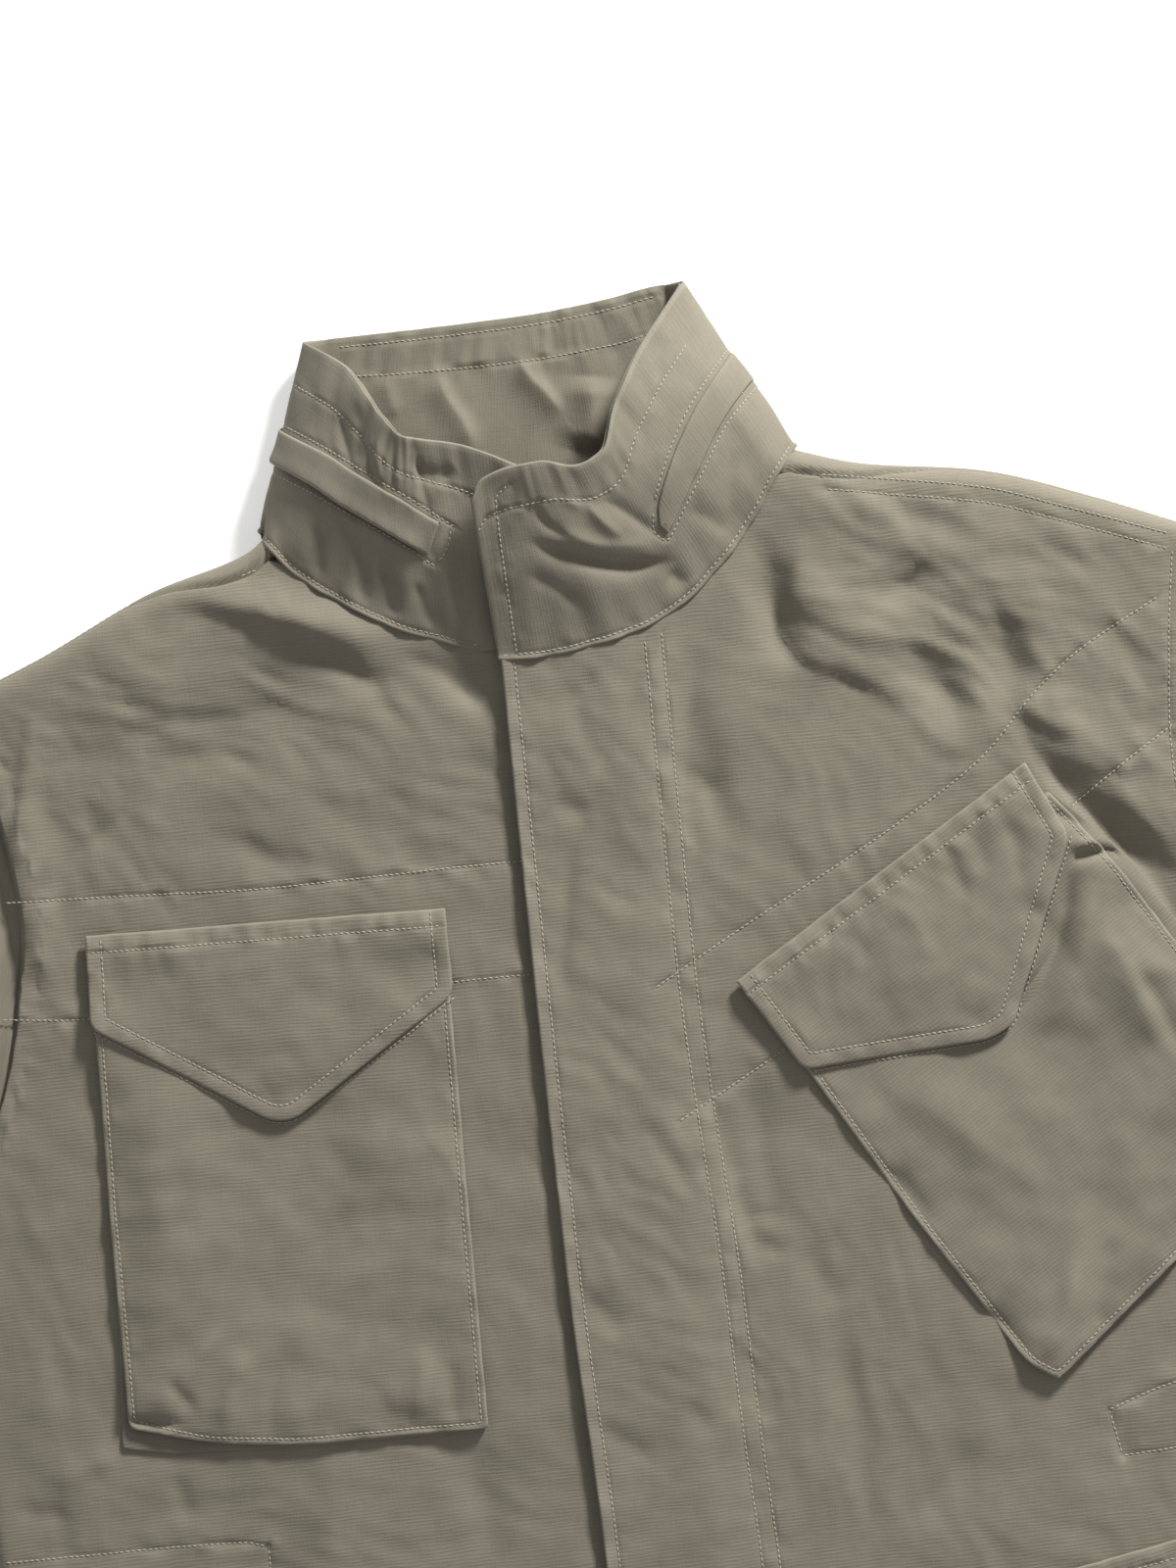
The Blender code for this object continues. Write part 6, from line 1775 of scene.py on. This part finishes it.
def build_sleeve_piece(side, facing, material):
    """The top sleeve (facing 1) or the under sleeve (facing -1), from the armhole to the cuff."""
    sign, on_top = SIGNS[side], facing > 0
    rows = SLEEVE_FINE_ROWS if on_top else SLEEVE_FINE_ROWS // 2
    shares = 0.5 - 0.5 * np.cos(np.linspace(0.0, np.pi, SLEEVE_FINE_ACROSS if on_top else UNDER_ACROSS))
    grid, turned, grain, distances, wear_and_highlight = [], [], [], [], []
    under = -(SLEEVE_GAP + TUCK) / SLEEVE_LENGTH
    lengths = np.concatenate([
        under * np.array(SLEEVE_UNDER_ROWS), SLEEVE_FIRST_ROWS, np.linspace(*SLEEVE_EVEN_ROWS, rows),
        SLEEVE_LAST_ROWS,
    ])
    first = sleeve_points(sign, np.zeros(len(shares)), shares)
    leaving = first - sleeve_points(sign, np.full(len(shares), 0.01), shares)
    leaving = unit(leaving) * SLEEVE_LENGTH
    seams = [("sewn", across_sleeve(0.0))]
    seams += [(kind, across_sleeve(down)) for kind, down in zip(("band", "edge"), CUFF_STITCHES)]
    painted_highlight_on_relief, at_cuff, cuff_over = SLEEVE_WEAR_AND_HIGHLIGHT
    for step in lengths:
        s = max(step, 0.0)
        plan = sleeve_points(sign, np.full(len(shares), s), shares) - leaving * min(step, 0.0)
        outer_edge, inner_edge = plan[0], plan[-1]
        height = between(SLEEVE_HEIGHTS, s, 1)
        radius = height / 2
        share, directions = sleeve_edges(plan, outer_edge, inner_edge, radius, facing)
        body_share, at_edge = body_edges(plan[:, 0], plan[:, 1])
        near_body = 1.0 - ease(s / SLEEVE_BLEND)
        from_outer = np.linalg.norm(plan - outer_edge, axis=1)
        from_edge = np.minimum(from_outer, np.linalg.norm(plan - inner_edge, axis=1))
        down = np.full(len(plan), s * SLEEVE_LENGTH)
        relief = np.zeros(len(plan))
        if on_top:
            folds = sleeve_folds(down, from_outer)
            edge = ease(from_edge / SLEEVE_EDGE) * ease(s / SLEEVE_ARM_FADE)
            z = radius + (height - radius + folds * edge) * share
            kept = np.minimum(body_share, share) / np.maximum(body_share, 0.02)
            body_z = at_edge + (front_height(plan[:, 0], plan[:, 1]) - at_edge) * kept
            body_z = body_z + BODY_FOLDS_KEPT * folds * edge
            relief = seam_relief(down, from_outer, seams, 60)
            z = z + relief * share
        else:
            z = radius * (1.0 - share)
            body_z = at_edge * (1.0 - np.minimum(body_share, share))
        z = z + (body_z - z) * near_body + facing * SEAM_GAP / 2 * (1.0 - share)
        sunk = tucked((step - under) * SLEEVE_LENGTH, SLEEVE_GAP + TUCK)
        if on_top:
            z = z - VALLEYS[side] * near_armhole(down + (step < 0) * step * SLEEVE_LENGTH, from_outer)
        outwards = np.where(np.linalg.norm(directions, axis=1)[:, None] > 0.5, directions, [0.0, 0.0, facing])
        plan = plan - sunk * outwards[:, :2]
        z = z - sunk * outwards[:, 2]
        grid.append(np.column_stack([plan, z]))
        turned.append(directions)
        grain.append(np.column_stack([from_outer + GRAIN_SHIFT, -down]))
        from_end = min(step - under, 1.0 - s) * SLEEVE_LENGTH
        distances.append(np.where((shares == 0) | (shares == 1), 0.0, np.minimum(from_edge, from_end)))
        # Lighter on raised relief as a painted highlight, and lighter as wear near the cuff.
        worn_cuff = at_cuff * np.exp(-(1.0 - s) * SLEEVE_LENGTH / cuff_over)
        wear_and_highlight.append(np.clip(painted_highlight_on_relief * relief, 0.0, 1.0) + worn_cuff)
    here, beside, after, after_beside = grid_corners(len(lengths), len(shares))
    faces = triangles(here, after, after_beside, here, after_beside, beside)
    if sign * facing > 0:
        faces = faces[:, ::-1]
    cloth_piece(
        f"sleeve_{side}_{'top' if on_top else 'under'}", np.concatenate(grid), faces,
        np.concatenate(distances), CLOTH, material, np.concatenate(grain), np.concatenate(wear_and_highlight),
        np.concatenate(turned),
    )


def sleeve_top_line(side, s, low, high):
    """A line across the top sleeve at share s of its length, with its normals."""
    sign, count = SIGNS[side], 90
    plan = sleeve_points(sign, np.full(count, s), np.linspace(low, high, count))
    outer_edge = sleeve_points(sign, np.array([s]), np.array([0.0]))[0]
    from_outer = np.linalg.norm(plan - outer_edge, axis=1)
    from_edge = np.minimum(from_outer, from_outer[-1] + 8.0 - from_outer)
    folds = sleeve_folds(np.full(count, s * SLEEVE_LENGTH), from_outer)
    z = between(SLEEVE_HEIGHTS, s, 1) + folds * ease(from_edge / SLEEVE_EDGE)
    return np.column_stack([plan, z]), np.tile([0.0, 0.0, 1.0], (count, 1))


# ---------------------------------------------------------------- pockets

SEAM_ROUNDING = 5  # a seam's corners are rounded over this many points to each side
POCKET_CREASES_START = 24.0  # creases are full this far below a pocket piece's top
POCKET_WEAR_AND_HIGHLIGHT = (0.65, 1.3, 0.8)  # wear at its edges, over this, and a painted highlight on its raised relief
SNAP_TIPS = {"right": (83.5, 70.0), "left": (83.0, 71.0)}
SNAP_DOMES = ((0.9, 8.0, 4), (0.5, 18.0, 2))  # height, reach, power
# A pouch's fullness over its middle: height, where it starts, over, where it ends, over.
POUCH_FULL = (0.7, 95.0, 60.0, 236.0, 30.0)
POUCH_SWELLS = (1.6, 51, 60.0, 30.0)  # share, seed, where they start, over
FLAP_SWELLS = (1.3, 57, 10.0, 12.0)
FLAP_STREAKS = (0.9, 6.5, 30.0, 58, 9.0)  # height, size across, size down, seed, reach
HEAD_DOWN, HEAD_IN = 8.0, 1.5  # a flap's top line of stitches: down, and in from its sides
FLAP_STITCH_IN = 7.0
POUCH_STITCH_IN = 3.0
UNDER_FLAP = 1.2  # a line of stitches shows on the pouch this far below its flap
TACKS_IN = 8.0  # a flap's bar tacks lie this far in from its sides
FLAP_TACK = (8.2, 12.0)  # their place down, and length
ROLL = (17.0, 50.0, 30.0)  # loose edges roll over this, from this far down, over this
RIGHT_FOOT_SHOWN = 0.3  # at the right pocket's foot its gusset shows this share of its reach
FOOT_BELOW = 225.0


def pocket_seams(rows, place, kinds):
    """Seams of a pocket piece. kinds gives, for each, its kind, distance in, and first and last corner."""
    seams = []
    for kind, inset, first, last in kinds:
        corners = [rows[k % len(rows)] for k in range(first, last + 1)]
        line = straight_line(corners, 1.0)
        half = SEAM_ROUNDING
        smooth = np.array([line[max(0, k - half):k + half + 1].mean(axis=0) for k in range(len(line))])
        smooth[0], smooth[-1] = line[0], line[-1]
        moved = moved_out(smooth, -inset * facing(np.asarray(rows)))
        plan = in_frame(moved, *place)
        seams.append((kind, plan[::2]))
    return seams


def patch(name, side, rows, place, lift, wall, material, seams, extra=None, radii=(5.0,)):
    """A piece on a front, over the front's height field. Returns its outer surface as a function."""

    def relief(x, y):
        return seam_relief(x, y, seams, 400 + len(name))

    def top(x, y):
        across, down = to_frame(x, y, *place)
        height = front_field(side)(x, y) + lift(side, across, down) + wall
        creases = crease_heights(x, y, POCKET_CREASES[side])
        height = height + POCKET_GAIN * ease(down / POCKET_CREASES_START) * creases
        if extra is not None:
            height = height + extra(across, down)
        return height + relief(x, y)

    outline = in_frame(rounded(rows, radii), *place)
    flat, faces, distance = fill_panel(outline, PATCH_GRID, lines=[line for _, line in seams])
    x, y = flat[:, 0], flat[:, 1]
    # Lighter as wear at its edges, and lighter on raised relief as a painted highlight.
    at_edge, fades, painted_highlight_on_relief = POCKET_WEAR_AND_HIGHLIGHT
    wear_and_highlight = np.clip(at_edge * np.exp(-distance / fades) + painted_highlight_on_relief * relief(x, y), 0.0, 1.0)
    cloth_piece(
        f"{name}_{side}", np.stack([x, y, top(x, y)], axis=1), faces, distance, wall, material,
        np.stack(to_frame(x, y, *place), axis=1) * (1.0, -1.0), wear_and_highlight,
    )
    return top


def snap_bump(side):
    """A soft dome where a fastener lies under the flap's tip."""
    tip_across, tip_down = SNAP_TIPS[side]

    def dome(across, down):
        gap = np.hypot(across - tip_across, down - tip_down)
        return sum(height * bell(gap / reach, power) for height, reach, power in SNAP_DOMES)

    return dome


def pouch_form(across, down):
    """Fullness of a bellows pocket: slack over its middle, drawn in above its foot."""
    high, start, start_over, end, end_over = POUCH_FULL
    full = high * np.sin(np.pi * np.clip(across / POCKET_WIDTH, 0, 1))
    full = full * ease((down - start) / start_over) * ease((end - down) / end_over)
    gain, seed, from_down, over = POUCH_SWELLS
    return full + gain * swells(across, down, seed) * ease((down - from_down) / over)


FLAP_RADII = (0.8, 0.8, 6.0, 6.0, 6.0, 5.0)
POUCH_RADII = {
    "right": (1.0, 1.0, 4.0, 2.5, 20.0, 20.0, 4.0, 10.0),
    "left": (1.0, 1.0, 10.0, 10.0, 3.0, 20.0, 20.0, 1.5, 6.0, 20.0),
}
FOOT_CORNERS = {"right": slice(3, 7), "left": slice(4, 8)}  # the pouches' corners along their feet
EDGE_STANDS = 2.3  # a pouch's edges stand this far off the front
GUSSET_STANDS = 0.35


def edge_roll(side):
    """How far a pocket's loose edges bend back down towards the front: a function of its own frame."""
    rows = np.asarray(CHEST_POUCHES[side][FOOT_CORNERS[side]])
    rows = rows[np.argsort(rows[:, 0])]
    loose, inwards, _, _ = CHEST_STAND[side]
    reach, from_down, down_over = ROLL

    def roll(across, down):
        from_side = np.maximum((across - loose) * inwards, 0.0)
        from_foot = np.maximum(np.interp(across, rows[:, 0], rows[:, 1]) - down, 0.0)
        other = np.maximum(POCKET_WIDTH - across if inwards > 0 else across, 0.0)
        from_edge = np.minimum(np.minimum(from_side, other), from_foot)
        over = np.maximum(pouch_lift(side, across, down) - EDGE_STANDS, 0.0)
        return over * bell(from_edge / reach) * ease((down - from_down) / down_over)

    return roll


# Share of the gusset's reach past the pocket's side that shows: less than nothing tucks it under.
GUSSET_SHOWN = {"right": -0.3, "left": -0.6}


def flap_form(across, down):
    """Unevenness of a chest flap, with streaks drawn in by its top seam, before its dome and roll."""
    gain, seed, start, over = FLAP_SWELLS
    high, wide, long, streak_seed, reach = FLAP_STREAKS
    streaks = high * gradient_noise(across / wide, down / long, streak_seed) * bell(down / reach, 4)
    return gain * swells(across, down, seed) * ease((down - start) / over), streaks


def flap_seams(rows, width, place, last):
    """A flap's lines of stitches: round its free edges, and along its top."""
    head = straight_line([(HEAD_IN, HEAD_DOWN), (width - HEAD_IN, HEAD_DOWN)], 1.2)
    return pocket_seams(rows, place, [("edge", FLAP_STITCH_IN, 1, last)]) + [("top", in_frame(head, *place))]


def build_chest_pocket(side, place, material, under_material):
    """A bellows pocket with its gusset and flap. Returns the stitching of its pouch and of its flap."""
    flap, pouch, shown = CHEST_FLAPS[side], CHEST_POUCHES[side], GUSSET_SHOWN[side]
    foot = RIGHT_FOOT_SHOWN if side == "right" else shown
    gusset = [(x if x > 0.0 else (foot if y > FOOT_BELOW else shown) * x, y) for x, y in CHEST_GUSSETS[side]]
    roll, dome = edge_roll(side), snap_bump(side)

    def flap_extra(across, down):
        uneven, streaks = flap_form(across, down)
        return dome(across, down) + uneven + streaks - roll(across, down)

    patch(
        "chest_gusset", side, gusset, place, lambda *_: GUSSET_STANDS, GUSSET_CLOTH, under_material, [],
        radii=(2.0,),
    )
    seams = pocket_seams(pouch, place, [("edge", POUCH_STITCH_IN, 1, len(pouch))])
    pouch_top = patch(
        "chest_pocket", side, pouch, place, pouch_lift, CLOTH, material, seams,
        lambda across, down: pouch_form(across, down) - roll(across, down), radii=POUCH_RADII[side],
    )
    on_pouch = [on_surface(line, pouch_top) for _, line in seams]
    seams = flap_seams(flap, POCKET_WIDTH, place, 6)
    top = patch(
        "chest_flap", side, flap, place, flap_lift, DOUBLE_CLOTH, material, seams, flap_extra,
        radii=FLAP_RADII,
    )
    on_flap = [on_surface(line, top) for _, line in seams]
    tack_down, length = FLAP_TACK
    for across in (TACKS_IN, POCKET_WIDTH - TACKS_IN):
        lines = tack((across, tack_down), 0.0, length, TACK_WIDTH)
        on_flap += [on_surface(in_frame(line, *place), top) for line in lines]
    below = pocket_seams(flap, place, [("edge", -UNDER_FLAP, 2, 5)])
    return on_pouch, on_flap + [on_surface(line, pouch_top) for _, line in below]


def build_pockets(material, under_material):
    """All pocket pieces. Returns their stitching, by the names of the pieces."""
    stitched = {}
    for side, *place in CHEST_PLACES:
        on_pouch, on_flap = build_chest_pocket(side, place, material, under_material)
        stitched[f"chest_pocket_{side}"] = on_pouch
        stitched[f"chest_flap_{side}"] = on_flap
    for side, *place in LOWER_PLACES:
        seams = flap_seams(LOWER_FLAP, LOWER_FLAP_WIDTH, place, 5)
        top = patch(
            "lower_flap", side, LOWER_FLAP, place, lower_flap_lift, DOUBLE_CLOTH, material, seams,
            radii=FLAP_RADII[:5],
        )
        stitched[f"lower_flap_{side}"] = [on_surface(line, top) for _, line in seams]
    return stitched


# ---------------------------------------------------------------- materials


class Nodes:
    """Short calls for a material's nodes."""

    def __init__(self, name):
        self.material = bpy.data.materials.new(name)
        self.material.use_nodes = True
        self.tree = self.material.node_tree
        self.shader = self.tree.nodes["Principled BSDF"]

    def put(self, socket, value):
        if isinstance(value, bpy.types.NodeSocket):
            self.tree.links.new(value, socket)
        else:
            socket.default_value = value

    def math(self, operation, a, b=0.0, c=0.0):
        node = self.tree.nodes.new("ShaderNodeMath")
        node.operation = operation
        for socket, value in zip(node.inputs, (a, b, c)):
            self.put(socket, value)
        return node.outputs[0]

    def times(self, a, b):
        return self.math("MULTIPLY", a, b)

    def plus(self, a, b):
        return self.math("ADD", a, b)

    def around_zero(self, noise, gain):
        return self.times(self.math("SUBTRACT", noise, 0.5), gain)

    def vector(self, x, y, z=0.0):
        node = self.tree.nodes.new("ShaderNodeCombineXYZ")
        for socket, value in zip(node.inputs, (x, y, z)):
            self.put(socket, value)
        return node.outputs[0]

    def noise(self, vector, scale=1.0, detail=2.0, rough=0.5):
        node = self.tree.nodes.new("ShaderNodeTexNoise")
        self.put(node.inputs["Vector"], vector)
        self.put(node.inputs["Scale"], scale)
        self.put(node.inputs["Detail"], detail)
        self.put(node.inputs["Roughness"], rough)
        return node.outputs["Fac"]

    def grain(self):
        node = self.tree.nodes.new("ShaderNodeUVMap")
        node.uv_map = "grain"
        split = self.tree.nodes.new("ShaderNodeSeparateXYZ")
        self.tree.links.new(node.outputs["UV"], split.inputs[0])
        return split.outputs[0], split.outputs[1]

    def attribute(self, name):
        node = self.tree.nodes.new("ShaderNodeAttribute")
        node.attribute_name = name
        return node.outputs["Fac"]

    def mix(self, factor, a, b):
        node = self.tree.nodes.new("ShaderNodeMix")
        node.data_type = "RGBA"
        self.put(node.inputs[0], factor)
        self.put(node.inputs[6], a)
        self.put(node.inputs[7], b)
        return node.outputs[2]


RIB = 1.65  # pitch of the weave's ribs, mm
THREAD_PITCH = 0.9  # and of its threads down
# Layers of noise in the cloth. Columns: name, how much finer than mm along u and v, a third coordinate,
# then the noise's scale, detail and roughness.
CLOTH_NOISES = (
    ("drift", 0.05, 0.12, 0.0, 1.0, 1.0, 0.5),
    ("slubs", 0.09, 1.1, 0.0, 1.0, 3.0, 0.6),
    ("downs", 0.9, 0.07, 0.0, 1.0, 2.0, 0.6),
    ("fine", 1.0, 1.0, 0.0, 1.6, 3.0, 0.65),
    ("mottle", 1.0, 1.0, 0.0, 0.035, 4.0, 0.6),
    ("patchy", 1.0, 1.0, 7.0, 0.11, 3.0, 0.6),
)
RIB_DRIFT = 2.2  # how far the ribs wander, mm
RIB_HEIGHT = (0.08, 0.34)  # at least, and more on slubs
THREAD_HEIGHT = 0.06
RELIEF = (("slubs", 1.5), ("downs", 0.7), ("fine", 1.1))  # what the layers add to the height
SHADES = (("mottle", 0.30), ("patchy", 0.12))  # and to the colour's brightness
# Share of the weave's height painted into its colour: painted shade in its hollows, painted light on its
# raised threads.
RELIEF_PAINTED_SHADE = 0.13
# Wear and the painted highlight come in spots: at least this share, and up to this much more with the fine
# noise.
WEAR_AND_HIGHLIGHT_SPOTS = (0.35, 0.9)


def cloth_material(name, base, wear_and_highlight_colour, rib=1.0):
    """Matt cotton with fine ribs across, slubs along them, a fainter thread down, worn edges, a painted
    highlight on raised relief and painted shade in the weave's hollows.
    """
    nodes = Nodes(name)
    u, v = nodes.grain()
    layers = {}
    for layer, scale_u, scale_v, third, *noise in CLOTH_NOISES:
        place = nodes.vector(nodes.times(u, scale_u), nodes.times(v, scale_v), third)
        layers[layer] = nodes.noise(place, *noise)
    shifted = nodes.plus(v, nodes.times(layers["drift"], RIB_DRIFT))
    ribs = nodes.math("SINE", nodes.times(shifted, 2 * math.pi / RIB))
    threads = nodes.math("SINE", nodes.times(u, 2 * math.pi / THREAD_PITCH))
    least, on_slubs = RIB_HEIGHT
    height = nodes.times(ribs, nodes.plus(least * rib, nodes.times(layers["slubs"], on_slubs * rib)))
    height = nodes.plus(height, nodes.times(threads, THREAD_HEIGHT))
    for layer, gain in RELIEF:
        height = nodes.plus(height, nodes.around_zero(layers[layer], gain))
    # The colour is darkened in the weave's hollows and lightened on its raised threads, as painted shade and
    # light, then varied at random by mottle and patchy.
    tone_and_painted_shade = nodes.times(height, RELIEF_PAINTED_SHADE)
    for layer, gain in SHADES:
        tone_and_painted_shade = nodes.plus(tone_and_painted_shade, nodes.around_zero(layers[layer], gain))
    # Lighter colour where the attribute is set: wear at edges and rims, and a painted highlight on raised
    # relief.
    least, in_spots = WEAR_AND_HIGHLIGHT_SPOTS
    wear_and_highlight = nodes.times(nodes.attribute("wear_and_highlight"), nodes.plus(least, nodes.times(layers["fine"], in_spots)))
    colour = nodes.mix(nodes.math("MINIMUM", wear_and_highlight, 1.0), (*base, 1.0), (*wear_and_highlight_colour, 1.0))
    scaled = nodes.tree.nodes.new("ShaderNodeVectorMath")
    scaled.operation = "SCALE"
    nodes.put(scaled.inputs[0], colour)
    nodes.put(scaled.inputs["Scale"], nodes.plus(tone_and_painted_shade, 1.0))
    nodes.put(nodes.shader.inputs["Base Color"], scaled.outputs[0])
    bump = nodes.tree.nodes.new("ShaderNodeBump")
    nodes.put(bump.inputs["Strength"], 0.55)
    nodes.put(bump.inputs["Distance"], 0.00022)
    nodes.put(bump.inputs["Height"], height)
    nodes.put(nodes.shader.inputs["Normal"], bump.outputs["Normal"])
    nodes.shader.inputs["Roughness"].default_value = 0.88
    nodes.shader.inputs["Specular IOR Level"].default_value = 0.22
    nodes.shader.inputs["Sheen Weight"].default_value = 0.12
    nodes.shader.inputs["Sheen Roughness"].default_value = 0.5
    nodes.shader.inputs["Sheen Tint"].default_value = (0.9, 0.86, 0.74, 1.0)
    return nodes.material


def thread_material(name, colour):
    """Cotton thread, darker and lighter along it."""
    nodes = Nodes(name)
    node = nodes.tree.nodes.new("ShaderNodeTexCoord")
    noise = nodes.noise(node.outputs["Object"], 900.0, 2.0)
    dark, light = (tuple(min(1.0, gain * c) for c in colour) + (1.0,) for gain in (0.75, 1.2))
    nodes.put(nodes.shader.inputs["Base Color"], nodes.mix(noise, dark, light))
    nodes.shader.inputs["Roughness"].default_value = 0.7
    nodes.shader.inputs["Specular IOR Level"].default_value = 0.3
    return nodes.material


def plain_material(name, colour, glow=0.0):
    """A matt surface that glows a little."""
    nodes = Nodes(name)
    nodes.shader.inputs["Base Color"].default_value = (*colour, 1.0)
    nodes.shader.inputs["Roughness"].default_value = 0.95
    nodes.shader.inputs["Specular IOR Level"].default_value = 0.0
    nodes.shader.inputs["Emission Color"].default_value = (1.0, 1.0, 1.0, 1.0)
    nodes.shader.inputs["Emission Strength"].default_value = glow
    return nodes.material


# ---------------------------------------------------------------- the jacket

SHELL = (0.226, 0.205, 0.160)
# The lighter colour of wear and of the painted highlight on raised relief.
SHELL_WEAR_AND_HIGHLIGHT = (0.32, 0.299, 0.24)
# The shell's colour darkened as painted shade, for the pieces that lie under others: the fly's inner layer
# and the gussets.
SHELL_SHADED = (0.190, 0.172, 0.136)
THREAD = (0.41, 0.388, 0.312)

shell = cloth_material("shell cloth", SHELL, SHELL_WEAR_AND_HIGHLIGHT)
collar_shell = cloth_material("collar cloth", SHELL, SHELL_WEAR_AND_HIGHLIGHT, rib=0.4)
# A darker copy of the shell cloth, painted shade for the pieces that lie under others.
inner = cloth_material("inner cloth", SHELL_SHADED, SHELL)
thread = thread_material("thread", THREAD)

build_back(shell)
build_front("right", shell)
build_front("left", shell)
build_fly_facing(inner)
build_collar(collar_shell)
build_hood_welt(collar_shell)
for side in ("right", "left"):
    build_sleeve_piece(side, 1.0, shell)
    build_sleeve_piece(side, -1.0, shell)
stitched = build_pockets(shell, inner)

for number, (name, runs) in enumerate(stitched.items()):
    sew(f"stitches_{name}", runs, thread, 500 + number)
for number, side in enumerate(("right", "left")):
    top = front_top(side)
    runs = [on_surface(line, top) for kind, line in side_lines(side) if kind != "sewn"]
    x, y, degrees, length = FRONT_TACKS[side]
    runs += [on_surface(line, top) for line in tack((x, y), degrees, length, TACK_WIDTH)]
    sew(f"stitches_front_{side}", runs, thread, 600 + number)
    ends = [sleeve_top_line(side, s, 0.02, 0.98) for s in np.array(CUFF_STITCHES) / SLEEVE_LENGTH]
    sew(f"stitches_sleeve_{side}", ends, thread, 610 + number)
collar_runs = []
for face, kind, *points in COLLAR_LINES:
    line = smooth_line(collar_plan(points), 1.5) / (COLLAR_LENGTH, COLLAR_HEIGHT)
    share, height = line[:, 0], line[:, 1]
    _, out, _ = collar_frame(share, height)
    collar_runs.append((collar_face(share, height, face), out * face))
sew("stitches_collar", collar_runs, thread, 620)

# ---------------------------------------------------------------- floor, light and camera

bpy.ops.mesh.primitive_plane_add(size=12.0, location=(0.0, 0.0, -0.0006))
floor = bpy.context.object
floor.name = "floor"
floor.data.materials.append(plain_material("white surface", (0.93, 0.93, 0.93), 0.40))

world = bpy.data.worlds.new("studio")
world.use_nodes = True
world.node_tree.nodes["Background"].inputs["Color"].default_value = (0.98, 0.99, 1.0, 1.0)
world.node_tree.nodes["Background"].inputs["Strength"].default_value = 0.38
bpy.context.scene.world = world
bpy.context.scene.view_settings.view_transform = "Standard"


def add_light(name, place, target, size, power, colour=(1.0, 1.0, 1.0)):
    data = bpy.data.lights.new(name, "AREA")
    data.shape = "DISK"
    data.size = size
    data.energy = power
    data.color = colour
    obj = bpy.data.objects.new(name, data)
    obj.location = place
    obj.rotation_euler = (Vector(target) - Vector(place)).to_track_quat("-Z", "Y").to_euler()
    bpy.context.scene.collection.objects.link(obj)


add_light("key", (1.36, 1.88, 1.15), (0.0, -0.05, 0.0), 0.45, 110.0, (1.0, 0.985, 0.96))

CAMERA_AWAY = 1.6
VIEW_HEIGHT = 0.7175
data = bpy.data.cameras.new("camera")
data.sensor_fit = "VERTICAL"
data.sensor_height = 36.0
data.lens = 36.0 * CAMERA_AWAY / VIEW_HEIGHT
camera = bpy.data.objects.new("camera", data)
camera.location = (-0.001, -0.060, CAMERA_AWAY + 0.015)
camera.rotation_euler = (0.0, 0.0, math.radians(-6.5))
bpy.context.scene.collection.objects.link(camera)
bpy.context.scene.camera = camera
